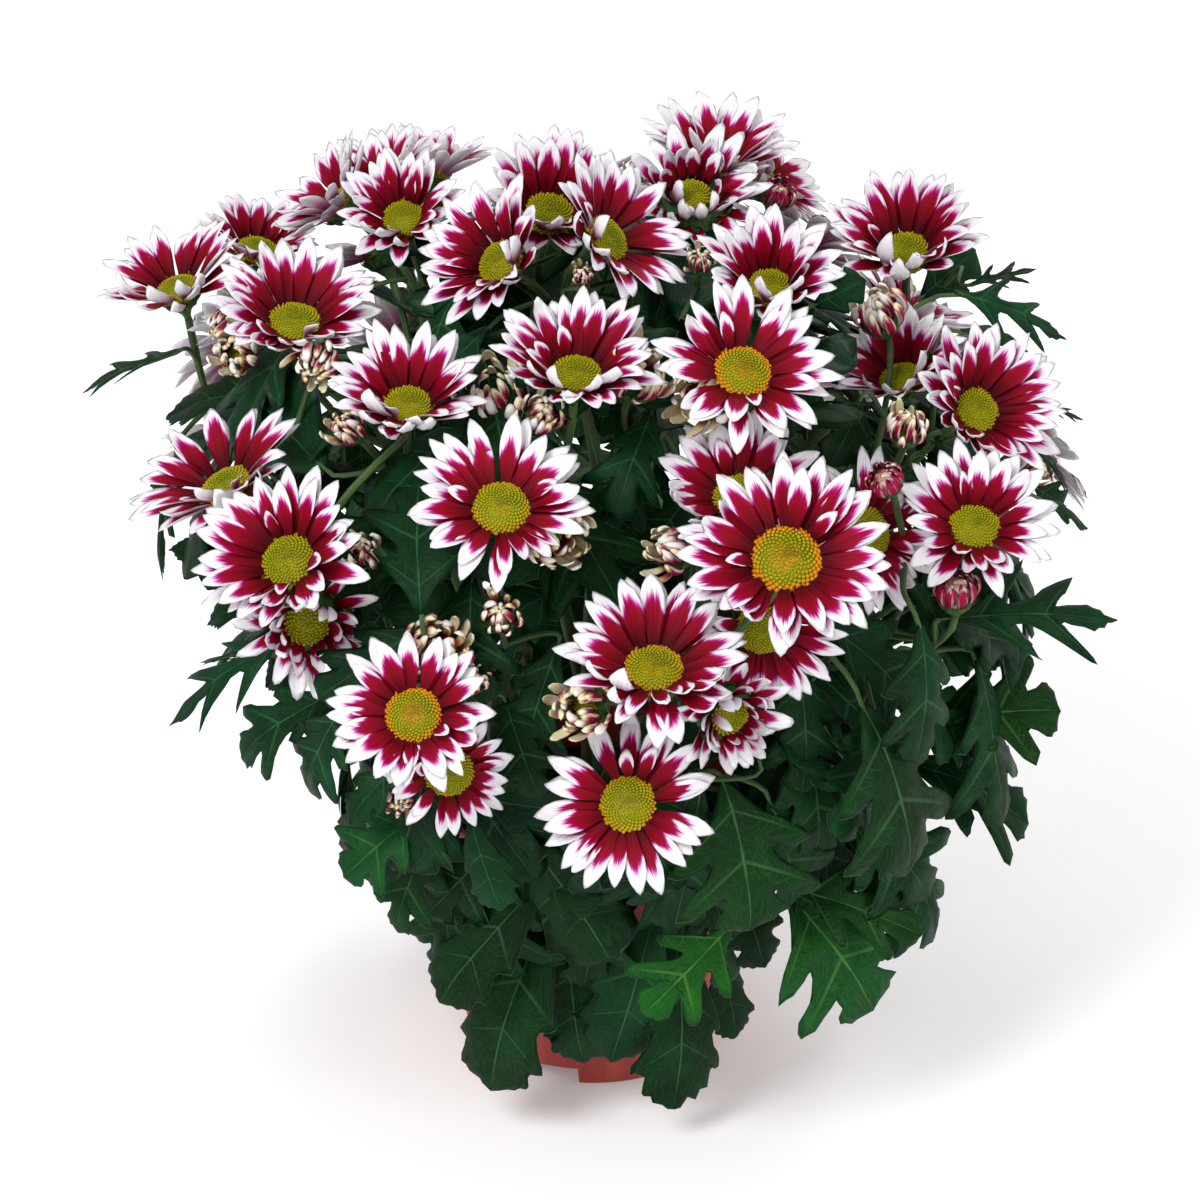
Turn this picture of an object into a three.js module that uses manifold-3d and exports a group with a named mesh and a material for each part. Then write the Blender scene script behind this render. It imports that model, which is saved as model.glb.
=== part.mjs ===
// Potted chrysanthemum: five rooted cuttings with daisy-type flower heads in a plastic nursery pot.
// Millimetres, +Z up. Origin: middle of the pot's base, on the surface it stands on. The front of
// the plant looks along -Y.
import * as THREE from "three";
import { mergeVertices } from "three/addons/utils/BufferGeometryUtils.js";
import Module from "manifold-3d";

// ---- driving dimensions -------------------------------------------------------------------
const POT_BASE_R = 49; // foot ring, outside
const POT_RIM_R = 65; // rim, outside
const POT_H = 106; // height of the pot
const POT_WALL = 1.8;
const RIM_BAND_H = 13; // stiffening band under the rim
const RIM_BAND_T = 2.2; // how far the band stands proud of the wall
const FOOT_IN_R = 42; // inside of the foot ring
const PAD_R = 29; // flat middle of the base that touches the surface
const CHANNEL_H = 7; // height of the drainage notches and of the channel behind them
const NOTCHES = 6;
const NOTCH_DEG = 29; // width of one notch
const NOTCH_FIRST_DEG = -20.5; // middle of the first notch, from the front (-Y) towards +X
const DRAIN_R = 3.4;
const SOIL_TOP = 93;
const GAP = 0.3; // clearance between neighbouring pieces
const STEM_SOCKET_R = 7.6; // hole in the soil round each rooted stem
const CALYX_R = 7.6; // green cup under a flower head
const CALYX_DEPTH = 13;
const DISC_CROWN = 3.2; // height of the yellow disc over the florets' base
const FLORET_T = 1.3; // thickness of a ring of florets
const LOBES = 6; // the ring of florets is a star with this many broad lobes
const LOBE_NOTCH = 0.74; // radius between the lobes, as a part of the radius at their tips
const LEAF_T = 1.2;
const PETIOLE_R = 1.1;
const STEM_STEPS = 4; // straight stretches in each stem's curve

// ---- where everything grows ---------------------------------------------------------------
// Flower heads: name, kind (o open, h half open, b bud), middle of the disc x y z, axis x y z,
// angle of the florets over the disc's plane, radius to the tips, disc radius, cutting.
const HEADS = [
  ["flower_01", "o", -153.1, 29.4, 294.2, -0.22, -0.26, 0.94, 28, 33.4, 8.5, 3],
  ["flower_02", "o", -104.9, -39.8, 307.8, 0.1, -0.421, 0.902, 33, 34.5, 9.8, 1],
  ["flower_03", "o", -128.3, 83.6, 289.6, 0.2, -0.2, 0.959, 34, 28.5, 9, 3],
  ["flower_04", "o", -68, 0.4, 332.4, -0.149, -0.598, 0.787, 39, 29, 8, 0],
  ["flower_05", "o", -79.8, 102.1, 309.4, -0.197, -0.149, 0.969, 40, 31, 8.5, 3],
  ["flower_06", "o", -95.5, 64.8, 315.6, -0.734, -0.044, 0.678, 32, 30, 8.5, 3],
  ["flower_07", "o", -64.2, 143, 301.4, 0.223, 0.198, 0.954, 42, 30, 8.5, 3],
  ["flower_08", "o", -15.3, -16.5, 340, 0.12, -0.541, 0.832, 43, 36.5, 10, 0],
  ["flower_09", "o", -31.6, -50.1, 334.1, -0.55, -0.57, 0.61, 40, 34, 9, 0],
  ["flower_10", "o", 4.8, -46.2, 341.9, 0.646, -0.424, 0.635, 28, 33, 9, 0],
  ["flower_11", "o", 47.1, 67.9, 329.6, 0.08, -0.151, 0.985, 33, 35, 9, 4],
  ["flower_12", "o", 66.5, 107.4, 309.6, 0.804, -0.101, 0.586, 30, 31, 9, 4],
  ["flower_13", "o", 61.5, -58, 327.8, -0.02, -0.498, 0.867, 44, 33.5, 8.8, 2],
  ["flower_14", "o", 50.8, -113.6, 318.5, 0.18, -0.611, 0.771, 22, 34, 9.8, 2],
  ["flower_15", "o", 116.2, 39.2, 305.3, -0.08, -0.462, 0.883, 36, 36, 10, 4],
  ["flower_16", "o", 111.3, -21, 279, -0.33, -0.25, 0.91, 36, 31, 8.5, 2],
  ["flower_17", "o", 136.1, -44.8, 276.7, 0.39, -0.68, 0.62, 35, 35, 9, 2],
  ["flower_18", "o", -127.3, -82.8, 263.3, -0.42, -0.22, 0.88, 22, 37, 10, 1],
  ["flower_19", "o", -101.8, -135.8, 259.1, -0.35, -0.621, 0.701, 31, 35, 10, 1],
  ["flower_20", "o", -30.2, -141.2, 280.9, 0.02, -0.589, 0.808, 20, 33.4, 9.7, 1],
  ["flower_21", "o", 20.8, -167.8, 234, 0.04, -0.459, 0.888, 23, 34.5, 10, 2],
  ["flower_22", "o", 50.3, -101.7, 267.8, -0.11, -0.579, 0.808, 27, 33, 9, 2],
  ["flower_23", "o", 64.5, -155.1, 268.7, -0.04, -0.712, 0.702, 20, 37.5, 11.8, 2],
  ["flower_24", "o", 96.2, -84.7, 247, 0.539, -0.679, 0.499, 14, 30, 9, 2],
  ["flower_25", "o", 58.3, -132.2, 232.8, 0.02, -0.995, -0.1, 15, 29, 9.5, 2],
  ["flower_26", "o", 133.3, -87.8, 250.3, 0.03, -0.671, 0.741, 30, 33, 9, 2],
  ["flower_27", "o", -59.3, -168.6, 217.6, -0.1, -0.801, 0.591, 20, 30, 9.5, 1],
  ["flower_28", "o", -49.2, -135.6, 179.5, 0.201, -0.974, 0.101, 12, 23, 8.5, 1],
  ["flower_29", "o", 12.5, -150.4, 174.6, -0.2, -0.741, 0.641, 10, 32, 9.6, 2],
  ["flower_30", "o", -62.6, -97.4, 299.8, 0.05, -0.478, 0.877, 38, 34, 8.8, 1],
  ["flower_31", "o", -5.2, -103.5, 313.2, 0.06, -0.41, 0.91, 35, 34.4, 9.5, 1],
  ["half_open_01", "h", 36.4, 7.6, 339.2, 0.05, -0.622, 0.782, 55, 19, 6.2, 0],
  ["half_open_02", "h", -97.6, -122.1, 229.6, 0.034, -0.998, 0.06, 55, 17, 7.7, 1],
  ["half_open_03", "h", 46.8, -154, 210.3, 0.467, -0.884, -0.019, 55, 15, 6.8, 2],
  ["half_open_04", "h", -126.2, -30.5, 293.2, -0.227, -0.826, 0.516, 55, 9, 5, 1],
  ["half_open_05", "h", -32.4, -79.2, 295.7, -0.178, -0.488, 0.854, 55, 12, 5.4, 1],
  ["half_open_06", "h", -13, -128.6, 266.3, 0.443, -0.888, 0.123, 55, 12, 5.4, 1],
  ["half_open_07", "h", -52.2, -144.6, 230.9, 0.11, -0.633, 0.766, 55, 11, 5, 1],
  ["half_open_08", "h", -2.5, -156.2, 214, -0.489, -0.815, 0.31, 55, 10.5, 4.7, 1],
  ["bud_01", "b", 102.5, -28.2, 306.4, -0.293, -0.405, 0.866, 55, 10, 4.5, 2],
  ["half_open_09", "h", 16.5, -94.6, 309.3, 0.278, -0.578, 0.767, 55, 11, 5, 2],
  ["half_open_10", "h", 39, -95.6, 303.1, -0.492, -0.855, 0.162, 55, 11, 5, 2],
  ["bud_02", "b", -30.4, -146.6, 243.8, 0.024, -0.763, 0.646, 80, 7.3, 2.9, 1],
  ["bud_03", "b", -39.9, -143.4, 218.2, 0.028, -0.627, 0.778, 80, 5.4, 2.2, 1],
  ["bud_04", "b", -66.3, -130.3, 165.8, -0.099, -0.992, 0.074, 80, 6, 2.4, 1],
  ["bud_05", "b", 25.5, -119.3, 130.4, 0.044, -0.986, 0.159, 80, 5.4, 2.2, 2],
  ["bud_06", "b", 126.5, -99.9, 230.6, -0.062, -0.341, 0.938, 80, 8.6, 3.4, 2],
  ["bud_07", "b", 161, -15.8, 242.7, 0.533, -0.566, 0.629, 80, 6.8, 2.7, 2],
  ["bud_08", "b", 68.8, 54, 322.2, 0.32, -0.478, 0.818, 80, 7, 2.8, 4],
  ["bud_09", "b", -2.6, -57.5, 332.5, -0.102, -0.701, 0.706, 80, 4, 1.8, 0],
  ["bud_10", "b", 17.6, 38, 337.5, -0.069, -0.439, 0.896, 80, 5, 2, 0],
  ["bud_11", "b", 37.8, -46.3, 333.5, -0.023, -0.704, 0.71, 80, 5.4, 2.2, 0],
  ["bud_12", "b", -76.6, -123.4, 256.9, -0.159, -0.685, 0.712, 80, 6.8, 2.7, 1],
  ["bud_13", "b", -82.8, -95, 290.6, -0.406, -0.557, 0.725, 80, 7.2, 2.9, 1],
  ["bud_14", "b", -94.2, -78, 309.3, -0.113, -0.987, -0.113, 80, 8.6, 3.4, 1],
  ["bud_15", "b", -133.9, 8.1, 290.1, -0.513, -0.75, -0.418, 80, 6.6, 2.6, 1],
  ["bud_16", "b", 27.5, -132.8, 261.9, -0.554, -0.657, 0.512, 80, 9, 3.6, 2],
  ["bud_17", "b", 109.1, -78.4, 283, 0.032, -0.454, 0.89, 80, 7.6, 3, 2],
  ["bud_18", "b", 101.5, -95.5, 271, -0.315, -0.6, 0.736, 80, 7.2, 2.9, 2],
  ["bud_19", "b", -17.3, -93.7, 294.9, 0.279, -0.657, 0.701, 80, 8.2, 3.3, 1],
  ["flower_32", "o", 165.5, 33.2, 230.9, 0.866, 0.228, 0.444, 15.2, 34, 9.2, 4],
  ["flower_33", "o", 131.9, 90.1, 243.9, 0.658, 0.436, 0.614, 23.5, 35, 9.2, 4],
  ["flower_34", "o", 78.7, 139.2, 221.2, 0.376, 0.793, 0.479, 15.9, 34, 9.2, 4],
  ["flower_35", "o", 5.7, 154.5, 249.3, 0.041, 0.778, 0.627, 19.7, 36, 9.2, 4],
  ["flower_36", "o", -73.2, 141.2, 225.8, -0.546, 0.804, 0.236, 25.8, 34, 9.2, 3],
  ["flower_37", "o", -135.9, 100.6, 246.9, -0.795, 0.533, 0.291, 12.6, 35, 9.2, 3],
  ["flower_38", "o", -140, 78, 214, -0.621, 0.451, 0.641, 30, 32, 9.2, 3],
  ["flower_39", "o", 78.8, 87.8, 290.4, 0.377, 0.496, 0.782, 15.5, 34, 9.2, 4],
  ["flower_40", "o", -4.2, 113.6, 303.7, -0.003, 0.469, 0.883, 14.8, 35, 9.2, 3],
  ["flower_41", "o", -81.4, 84.4, 289.4, -0.392, 0.327, 0.86, 14.2, 34, 9.2, 3],
  ["flower_42", "o", 116.9, 39.5, 278.9, 0.503, 0.115, 0.856, 23.9, 33, 9.2, 4],
  ["flower_43", "o", -121, 41, 276.8, -0.55, 0.493, 0.674, 19.6, 34, 9.2, 3],
  ["bud_20", "b", 35.9, 135.3, 268.4, 0.156, 0.564, 0.81, 75, 9.5, 3.8, 4],
  ["bud_21", "b", -35.9, 135.4, 274, -0.09, 0.6, 0.795, 75, 9, 3.6, 3],
  ["bud_22", "b", 115.7, 73, 273.7, 0.466, 0.395, 0.792, 75, 8.5, 3.4, 4],
  ["bud_23", "b", -75.5, 123, 269.9, -0.402, 0.638, 0.657, 75, 7, 2.8, 3],
  ["bud_24", "b", 72, 127.4, 265.7, 0.381, 0.6, 0.704, 75, 7, 2.8, 4],
  ["bud_25", "b", 5.8, 157.5, 202.8, 0.008, 0.939, 0.344, 75, 7, 2.8, 4],
  ["bud_26", "b", -129.5, 47.5, 257.5, -0.759, 0.05, 0.649, 75, 7.5, 3, 3],
  ["bud_27", "b", 152, 20.1, 265.7, 0.598, 0.07, 0.799, 75, 7, 2.8, 4],
];
// Stems: cutting, radius, then the four control points of a cubic curve.
const STEMS = [
  [0, 4.6, 0, 6, 79, 0, 6, 109, -0.6, 0.5, 133, -0.6, 0.5, 158],
  [0, 3, -0.3, 3.4, 118.5, -6.1, 3.7, 169.9, -16.9, 4.2, 195.9, -23.5, 4.5, 232.6],
  [0, 1.5, -23.1, 4.5, 230.3, -24.4, 11.9, 279.1, -20.1, 5.1, 306.6, -16.9, -9.3, 328.9],
  [0, 1.5, -23.1, 4.5, 230.3, -54.9, 19.1, 273.8, -62.5, 24.3, 300.3, -66, 8.3, 321.9],
  [0, 3, -0.3, 3.4, 118.5, -3.8, -1.5, 173.1, 2.2, -17.7, 201.8, 2.7, -25.5, 239.7],
  [0, 1.2, 2.6, -25, 237.3, 0.8, -25.7, 280.2, 0.8, -34.8, 307.1, -2, -53.1, 328.1],
  [0, 1.5, 2.6, -25, 237.3, 10, -40.3, 253.3, -23.1, -29, 313.8, -3.8, -40.6, 333.4],
  [0, 1.2, 2.6, -25, 237.3, 25.8, -20.5, 305.8, 36.9, -23.2, 307, 37.9, -40.9, 328],
  [0, 1.5, 2.6, -25, 237.3, -6.8, -23.5, 292.1, -6.4, -24.2, 306.7, -24.3, -42.5, 326],
  [0, 3, -0.5, 1.4, 138.2, -1.3, 2.6, 200, 7.3, 12.1, 212.9, 11.9, 16.7, 247],
  [0, 1.2, 11.5, 16.4, 244.6, 21.6, 30.7, 296.5, 34.3, 34.6, 305, 35.3, 20.8, 322.6],
  [0, 1.2, 11.5, 16.4, 244.6, 11, 39.3, 291.5, 20.4, 50.8, 303.2, 18.1, 41.2, 330.9],
  [1, 4.6, -27, -24, 79, -27, -24, 109, -37.1, -45, 133, -37.1, -45, 158],
  [1, 3, -31.7, -33.8, 118.7, -43.4, -28.8, 169.5, -67.3, -27.3, 183.4, -81.3, -23.9, 215.6],
  [1, 1.5, -80.3, -24.1, 213.4, -101, -27.1, 255.4, -107.9, -25, 276.6, -106.2, -34.2, 295.8],
  [1, 1.2, -104.6, -27.9, 274.1, -96.7, 13.7, 270.2, -116.8, 4.7, 276.4, -123.6, -21.2, 287.4],
  [1, 1.2, -106.7, 0.4, 274.3, -114.6, 5.5, 281.1, -122.5, 10.5, 287.9, -129.3, 14.8, 293.8],
  [1, 3, -37.1, -45, 155, -27, -54.5, 192.7, -30.3, -59.8, 205.5, -27.3, -66.3, 231.2],
  [1, 1.2, -27.5, -65.7, 228.9, -30.7, -62.8, 252.6, -24.9, -60.7, 260.9, -29.8, -72.2, 283.5],
  [1, 1.2, -27.5, -65.7, 228.9, -24.6, -72, 254.1, -24.9, -75.8, 275.8, -20.3, -86.8, 287.6],
  [1, 1.5, -27.5, -65.7, 228.9, -19.6, -73.6, 253.3, -7.7, -81.6, 266.3, -6, -98, 301.1],
  [1, 3, -35.3, -41.2, 137.8, -42.9, -55.5, 145.6, -45.5, -72.5, 148.1, -49.2, -85.5, 157.5],
  [1, 1.2, -48.7, -83.6, 156.2, -63.3, -103.1, 164.2, -64, -113.2, 164.8, -65.5, -122.1, 165.2],
  [1, 1.5, -48.7, -83.6, 156.2, -53.5, -100.5, 168.4, -54.8, -108.5, 176.7, -51.9, -122.6, 178.2],
  [1, 3, -35.3, -41.2, 137.8, -38.6, -63.7, 172, -30.7, -75.4, 189, -29, -88.6, 213.7],
  [1, 1.2, -29.2, -87.5, 211.6, -30.3, -97.4, 241, -29.6, -97.4, 260.8, -19.3, -115.9, 264.5],
  [1, 1.5, -29.2, -87.5, 211.6, -29.8, -108.3, 241, -30.9, -115.9, 246.7, -30.5, -133.4, 270.1],
  [1, 3, -35.3, -41.2, 137.8, -40.9, -51, 179.2, -50.7, -57.7, 197.3, -57.7, -64.4, 226.3],
  [1, 1.2, -57.1, -63.9, 224, -63.8, -70.2, 251.8, -69.1, -76.2, 266.2, -78.9, -89.7, 283.8],
  [1, 1.5, -57.1, -63.9, 224, -62.2, -68.7, 245.4, -64.6, -81.2, 269.9, -63.3, -91, 288.1],
  [1, 1.2, -89.5, -25.2, 232.6, -139.9, -55.6, 194.5, -91.2, -52.7, 307.9, -93, -67.2, 310.5],
  [1, 3, -31.7, -33.8, 118.7, -30.9, -55.7, 143.7, -23.6, -78.7, 157.9, -20.7, -96.1, 178.7],
  [1, 1.2, -20.9, -94.5, 176.9, -15.9, -114.6, 209.2, 15.1, -126.3, 205.5, 3.7, -145.7, 210.1],
  [1, 1.2, -20.9, -94.5, 176.9, -23.5, -109.7, 194.1, -30.6, -117.2, 218, -30.6, -139.2, 237.5],
  [1, 3, -31.7, -33.8, 118.7, -32.3, -52.5, 151.2, -39.4, -79.3, 155.5, -42.4, -97, 174.8],
  [1, 1.2, -42.2, -95.3, 173, -43.9, -112.7, 196.6, -39.4, -123.7, 201.2, -40.1, -138.6, 212.3],
  [1, 1.2, -42.2, -95.3, 173, -52.4, -111.3, 190.3, -54.9, -124.3, 205.4, -53.6, -136.2, 220.7],
  [1, 1.5, -53.6, -134.7, 218.8, -53.2, -139.2, 212, -56.7, -148, 202.9, -58, -157.9, 209.8],
  [1, 3, -35.3, -41.2, 137.8, -53.3, -48.2, 164.2, -60.5, -69.7, 179.2, -70.6, -80.1, 200.4],
  [1, 1.2, -69.7, -79.2, 198.4, -83.7, -84.6, 209.9, -96.7, -84.3, 227.7, -98.2, -102.8, 228.4],
  [1, 1.2, -69.7, -79.2, 198.4, -73.6, -90.4, 223.2, -71.9, -104.5, 237.3, -75.2, -117.2, 250.4],
  [1, 1.5, -69.7, -79.2, 198.4, -79.6, -78.8, 211, -108.8, -72.9, 225, -121.7, -79.9, 251.6],
  [1, 1.5, -63.2, -89.9, 286.1, -104.9, -104.1, 253.6, -94.5, -122, 244.3, -97.1, -127.5, 249.8],
  [2, 4.6, 28, -22, 79, 28, -22, 109, 40.9, -40.8, 133, 40.9, -40.8, 158],
  [2, 3, 38.6, -37.4, 137.8, 36.7, -47.6, 158.9, 33.8, -79.9, 155.3, 31.6, -97.3, 169.3],
  [2, 1.5, 31.9, -95.5, 167.8, 27.8, -111.3, 168.5, 18.9, -127.5, 155.1, 15.2, -140.5, 166.1],
  [2, 1.2, 37, -48.6, 149.6, 24.8, -101.3, 195.2, 27.7, -115, 210.3, 38.7, -138.7, 210.6],
  [2, 1.5, 29.9, -112.7, 202.7, 28.2, -147.5, 213.3, 20.1, -156.8, 213.2, 20.3, -161.7, 222.2],
  [2, 3, 40.9, -40.8, 155, 42.4, -52.1, 179.5, 45.4, -73.1, 190, 47.1, -85.9, 209.5],
  [2, 1.5, 47, -84.6, 207.5, 48.7, -97, 226.4, 57.6, -102, 235.7, 58, -119, 234.1],
  [2, 1.5, 47, -84.6, 207.5, 52.6, -87.7, 227.6, 53.4, -86, 245.8, 51.8, -94, 257.1],
  [2, 1.2, 32.6, -69, 167.4, 38.2, -102.3, 198.3, 44.3, -111.9, 242.2, 33.7, -125.3, 256.1],
  [2, 1.5, 23.5, -150.9, 213.9, 49.6, -137.1, 233.9, 65.4, -135.2, 248.6, 65, -145.6, 259.4],
  [2, 3, 38.6, -37.4, 137.8, 36.6, -48, 135.6, 33, -68, 130.2, 30.9, -79.9, 132.9],
  [2, 1.2, 31.3, -77.6, 132.4, 28.8, -88.2, 129.9, 24.2, -98.2, 127.8, 25.2, -111.7, 129.2],
  [2, 3, 40.9, -40.8, 155, 50.7, -43.4, 179.4, 78.4, -35.2, 193.1, 93.2, -32.3, 213.6],
  [2, 1.5, 91.8, -32.6, 211.6, 104.1, -30.2, 228.6, 122.5, -13.7, 245.1, 115.7, -17.7, 266.9],
  [2, 1.5, 91.8, -32.6, 211.6, 106.1, -23.7, 233.6, 120.9, -19.1, 253.8, 130.9, -35.8, 268.4],
  [2, 1.2, 91.8, -32.6, 211.6, 121.8, -2.2, 227.4, 146.4, -0.4, 222.6, 156.2, -10.6, 236.9],
  [2, 3, 34, -30.8, 118.7, 41.9, -33.6, 146.7, 69.1, -53.4, 162.6, 83.5, -62.8, 185.8],
  [2, 1.2, 82.3, -62, 183.9, 95.9, -76, 189.8, 126.9, -89.3, 200, 127.2, -96.2, 220.4],
  [2, 1.5, 82.3, -62, 183.9, 106.7, -62.1, 212.6, 131.8, -61.9, 221.8, 132.9, -78.9, 240.4],
  [2, 1.2, 64.7, -38.7, 185.3, 116.3, -42.7, 180.3, 120, -56.4, 201.8, 104.5, -89.8, 264],
  [2, 3, 34, -30.8, 118.7, 34.6, -37, 168.9, 36.2, -54.4, 193.1, 37.6, -62.6, 227.1],
  [2, 1.2, 37.5, -62.1, 224.7, 55.6, -70.3, 268.4, 60.9, -59.2, 294.9, 45.6, -84.3, 300.9],
  [2, 1.2, 37.5, -62.1, 224.7, 18.3, -71.4, 272.5, 6.7, -75.3, 278.5, 12.8, -86.9, 299.1],
  [2, 1.5, 54.4, -68.9, 287.8, 61.9, -93.4, 310.4, 46.4, -93.4, 294.3, 48.4, -105.5, 308.2],
  [2, 1.5, 37.5, -62.1, 224.7, 61.1, -53.4, 275.6, 62.1, -38.1, 292, 61.8, -51.4, 316.3],
  [2, 3, 34, -30.8, 118.7, 44.2, -42.5, 160.9, 59.5, -42, 177.6, 70.2, -46.2, 205.8],
  [2, 1.5, 69.4, -45.9, 203.6, 73.4, -51.1, 221, 78, -61.6, 230.3, 89, -75.7, 240.4],
  [2, 1.2, 69.4, -45.9, 203.6, 72.5, -36, 256.2, 106.4, -49.3, 241.6, 108.8, -73.9, 274.2],
  [2, 1.2, 69.3, -46, 203.7, 97.8, -85, 232.3, 110.3, -20.6, 287.9, 106.1, -23.2, 295.7],
  [3, 4.6, -25, 30, 79, -25, 30, 109, -44, 45.1, 133, -44, 45.1, 158],
  [3, 3, -40.5, 42.4, 137.7, -53.5, 33.6, 171.5, -81.3, 34.9, 178.3, -98.6, 32.8, 200.6],
  [3, 1.5, -97.2, 33, 198.7, -126.1, 26.2, 211.1, -116.7, 63.3, 193.1, -131.7, 72, 205.5],
  [3, 1.2, -97.2, 33, 198.7, -118.4, 30.4, 225.8, -113.9, 35.8, 237.6, -122.1, 47, 251.1],
  [3, 1.5, -123.6, 58.5, 201.1, -143.1, 47.3, 226.1, -146, 44.7, 240, -150.2, 32.9, 281.7],
  [3, 3, -40.5, 42.4, 137.7, -52.6, 38.6, 178.8, -62.9, 51.4, 193.1, -71.1, 54.2, 220.5],
  [3, 1.5, -70.4, 54, 218.2, -68, 58.8, 232.4, -66.8, 70.7, 255.1, -76.2, 80.1, 277.9],
  [3, 1.5, -70.4, 54, 218.2, -91.6, 41.1, 230.7, -99, 21.8, 249.2, -113.6, 34.4, 267.8],
  [3, 1.5, -70.4, 54, 218.2, -63.7, 20.8, 272.1, -53.3, 65.7, 276.1, -85.7, 65.4, 306.6],
  [3, 3, -40.5, 42.4, 137.7, -36.7, 58.6, 175.7, -31, 71.5, 187.6, -27.7, 83.6, 214.1],
  [3, 1.2, -27.9, 82.6, 211.9, -28.3, 92.7, 227.1, -33.1, 117.8, 249.7, -34.9, 128.6, 265],
  [3, 1.5, -27.9, 82.6, 211.9, -18, 91.7, 239.4, -4, 90.1, 259, -4.2, 107.3, 291.9],
  [3, 3, -44, 45.1, 155, -47.3, 56.7, 180.7, -53.5, 78.1, 191.5, -57.4, 91.6, 212],
  [3, 1.5, -57, 90.3, 210.1, -60.1, 99.2, 215.5, -57.7, 116.3, 217.5, -66, 130.5, 222.7],
  [3, 1.2, -57, 90.3, 210.1, -64.2, 102.7, 232.4, -64, 104, 249.7, -71.8, 117, 263.7],
  [3, 1.5, -57, 90.3, 210.1, -63.6, 118.6, 242.9, -72.4, 135.1, 264.4, -67.2, 140.4, 288.7],
  [3, 3, -44, 45.1, 155, -53.7, 51.6, 184.6, -72.8, 66.7, 199.3, -83.4, 74.7, 222],
  [3, 1.5, -82.5, 74, 220, -95.8, 81.1, 232.4, -104.1, 81.8, 236.3, -125.4, 93.5, 243.1],
  [3, 1.5, -82.5, 74, 220, -106.8, 81.3, 238.1, -134.9, 91.8, 249.9, -131, 86.3, 276.8],
  [3, 1.5, -67, 43.5, 240.9, -40.4, 87.9, 216.6, -65.4, 112.3, 243.7, -77.2, 104.1, 296.5],
  [4, 4.6, 27, 31, 79, 27, 31, 109, 41.7, 46.1, 133, 41.7, 46.1, 158],
  [4, 3, 41.7, 46.1, 155, 37.1, 62.7, 173.3, 27.6, 88.3, 176.8, 21.8, 104.4, 191.2],
  [4, 1.2, 22.4, 102.7, 189.7, 16.6, 122.1, 196.5, 6.7, 136.7, 195.3, 5.8, 148.8, 199.6],
  [4, 1.5, 22.4, 102.7, 189.7, 11.8, 114.9, 206.2, 5, 118.7, 221.9, 5.2, 144.1, 241],
  [4, 3, 33.9, 38, 118.7, 33.7, 46.5, 151.4, 43, 75.3, 164.8, 47, 89.4, 188.9],
  [4, 1.5, 46.7, 88.2, 186.9, 56.4, 97.9, 198.7, 64.4, 108.5, 204.2, 73.7, 128.6, 214.8],
  [4, 1.2, 46.7, 88.2, 186.9, 55.2, 99.2, 211.6, 56.9, 102.8, 236.1, 68.5, 121.9, 259.1],
  [4, 1.2, 46.7, 88.2, 186.9, 44.4, 113.9, 224.4, 31.5, 114.5, 238.3, 34.1, 128.6, 258.8],
  [4, 3, 33.9, 38, 118.7, 34.1, 42.3, 158.5, 42.9, 54.7, 188.7, 47.2, 61.2, 222.2],
  [4, 1.5, 46.9, 60.8, 219.9, 57.5, 65.8, 239.7, 65.3, 69.5, 262.3, 73.8, 81.2, 280],
  [4, 1.5, 40.7, 109.1, 221.7, 7.5, 136.3, 289.3, 36.9, 111.4, 288, 55.8, 108.7, 301.8],
  [4, 1.2, 46.9, 60.8, 219.9, 52.3, 62.9, 275.3, 56.9, 71.1, 289.4, 65.8, 58.5, 314.6],
  [4, 1.5, 46.9, 60.8, 219.9, 44.2, 66, 273, 43.7, 74.2, 279, 46, 69.9, 316.5],
  [4, 3, 33.9, 38, 118.7, 51.1, 39.8, 150.4, 76.7, 42.4, 165.7, 93.9, 43.5, 189.1],
  [4, 1.5, 92.5, 43.4, 187.2, 109.4, 56.5, 211.2, 106.1, 71.1, 217.8, 123.1, 84.3, 235.8],
  [4, 1.5, 92.5, 43.4, 187.2, 112.7, 32.3, 200.5, 127.4, 22, 211.1, 154, 30.1, 225],
  [4, 1.2, 92.5, 43.4, 187.2, 111.8, 36.5, 218.6, 126.4, 18.7, 231.2, 146.4, 19.4, 258.3],
  [4, 3, 41.7, 46.1, 155, 51.9, 46.7, 186.3, 71.3, 48, 201.2, 82.7, 48.7, 224.5],
  [4, 1.5, 81.7, 48.6, 222.3, 97.6, 38.8, 245.6, 97.5, 36.9, 245.9, 110.2, 38, 267.5],
  [4, 1.2, 81.7, 48.6, 222.3, 90.2, 53.8, 235.2, 103.9, 63.6, 254.7, 110.7, 68.7, 265.1],
  [4, 1.5, 56.5, 102.1, 223.9, 98.3, 97.3, 230.8, 124.3, 82.5, 217.6, 117.3, 45.3, 293.6],
];
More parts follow.
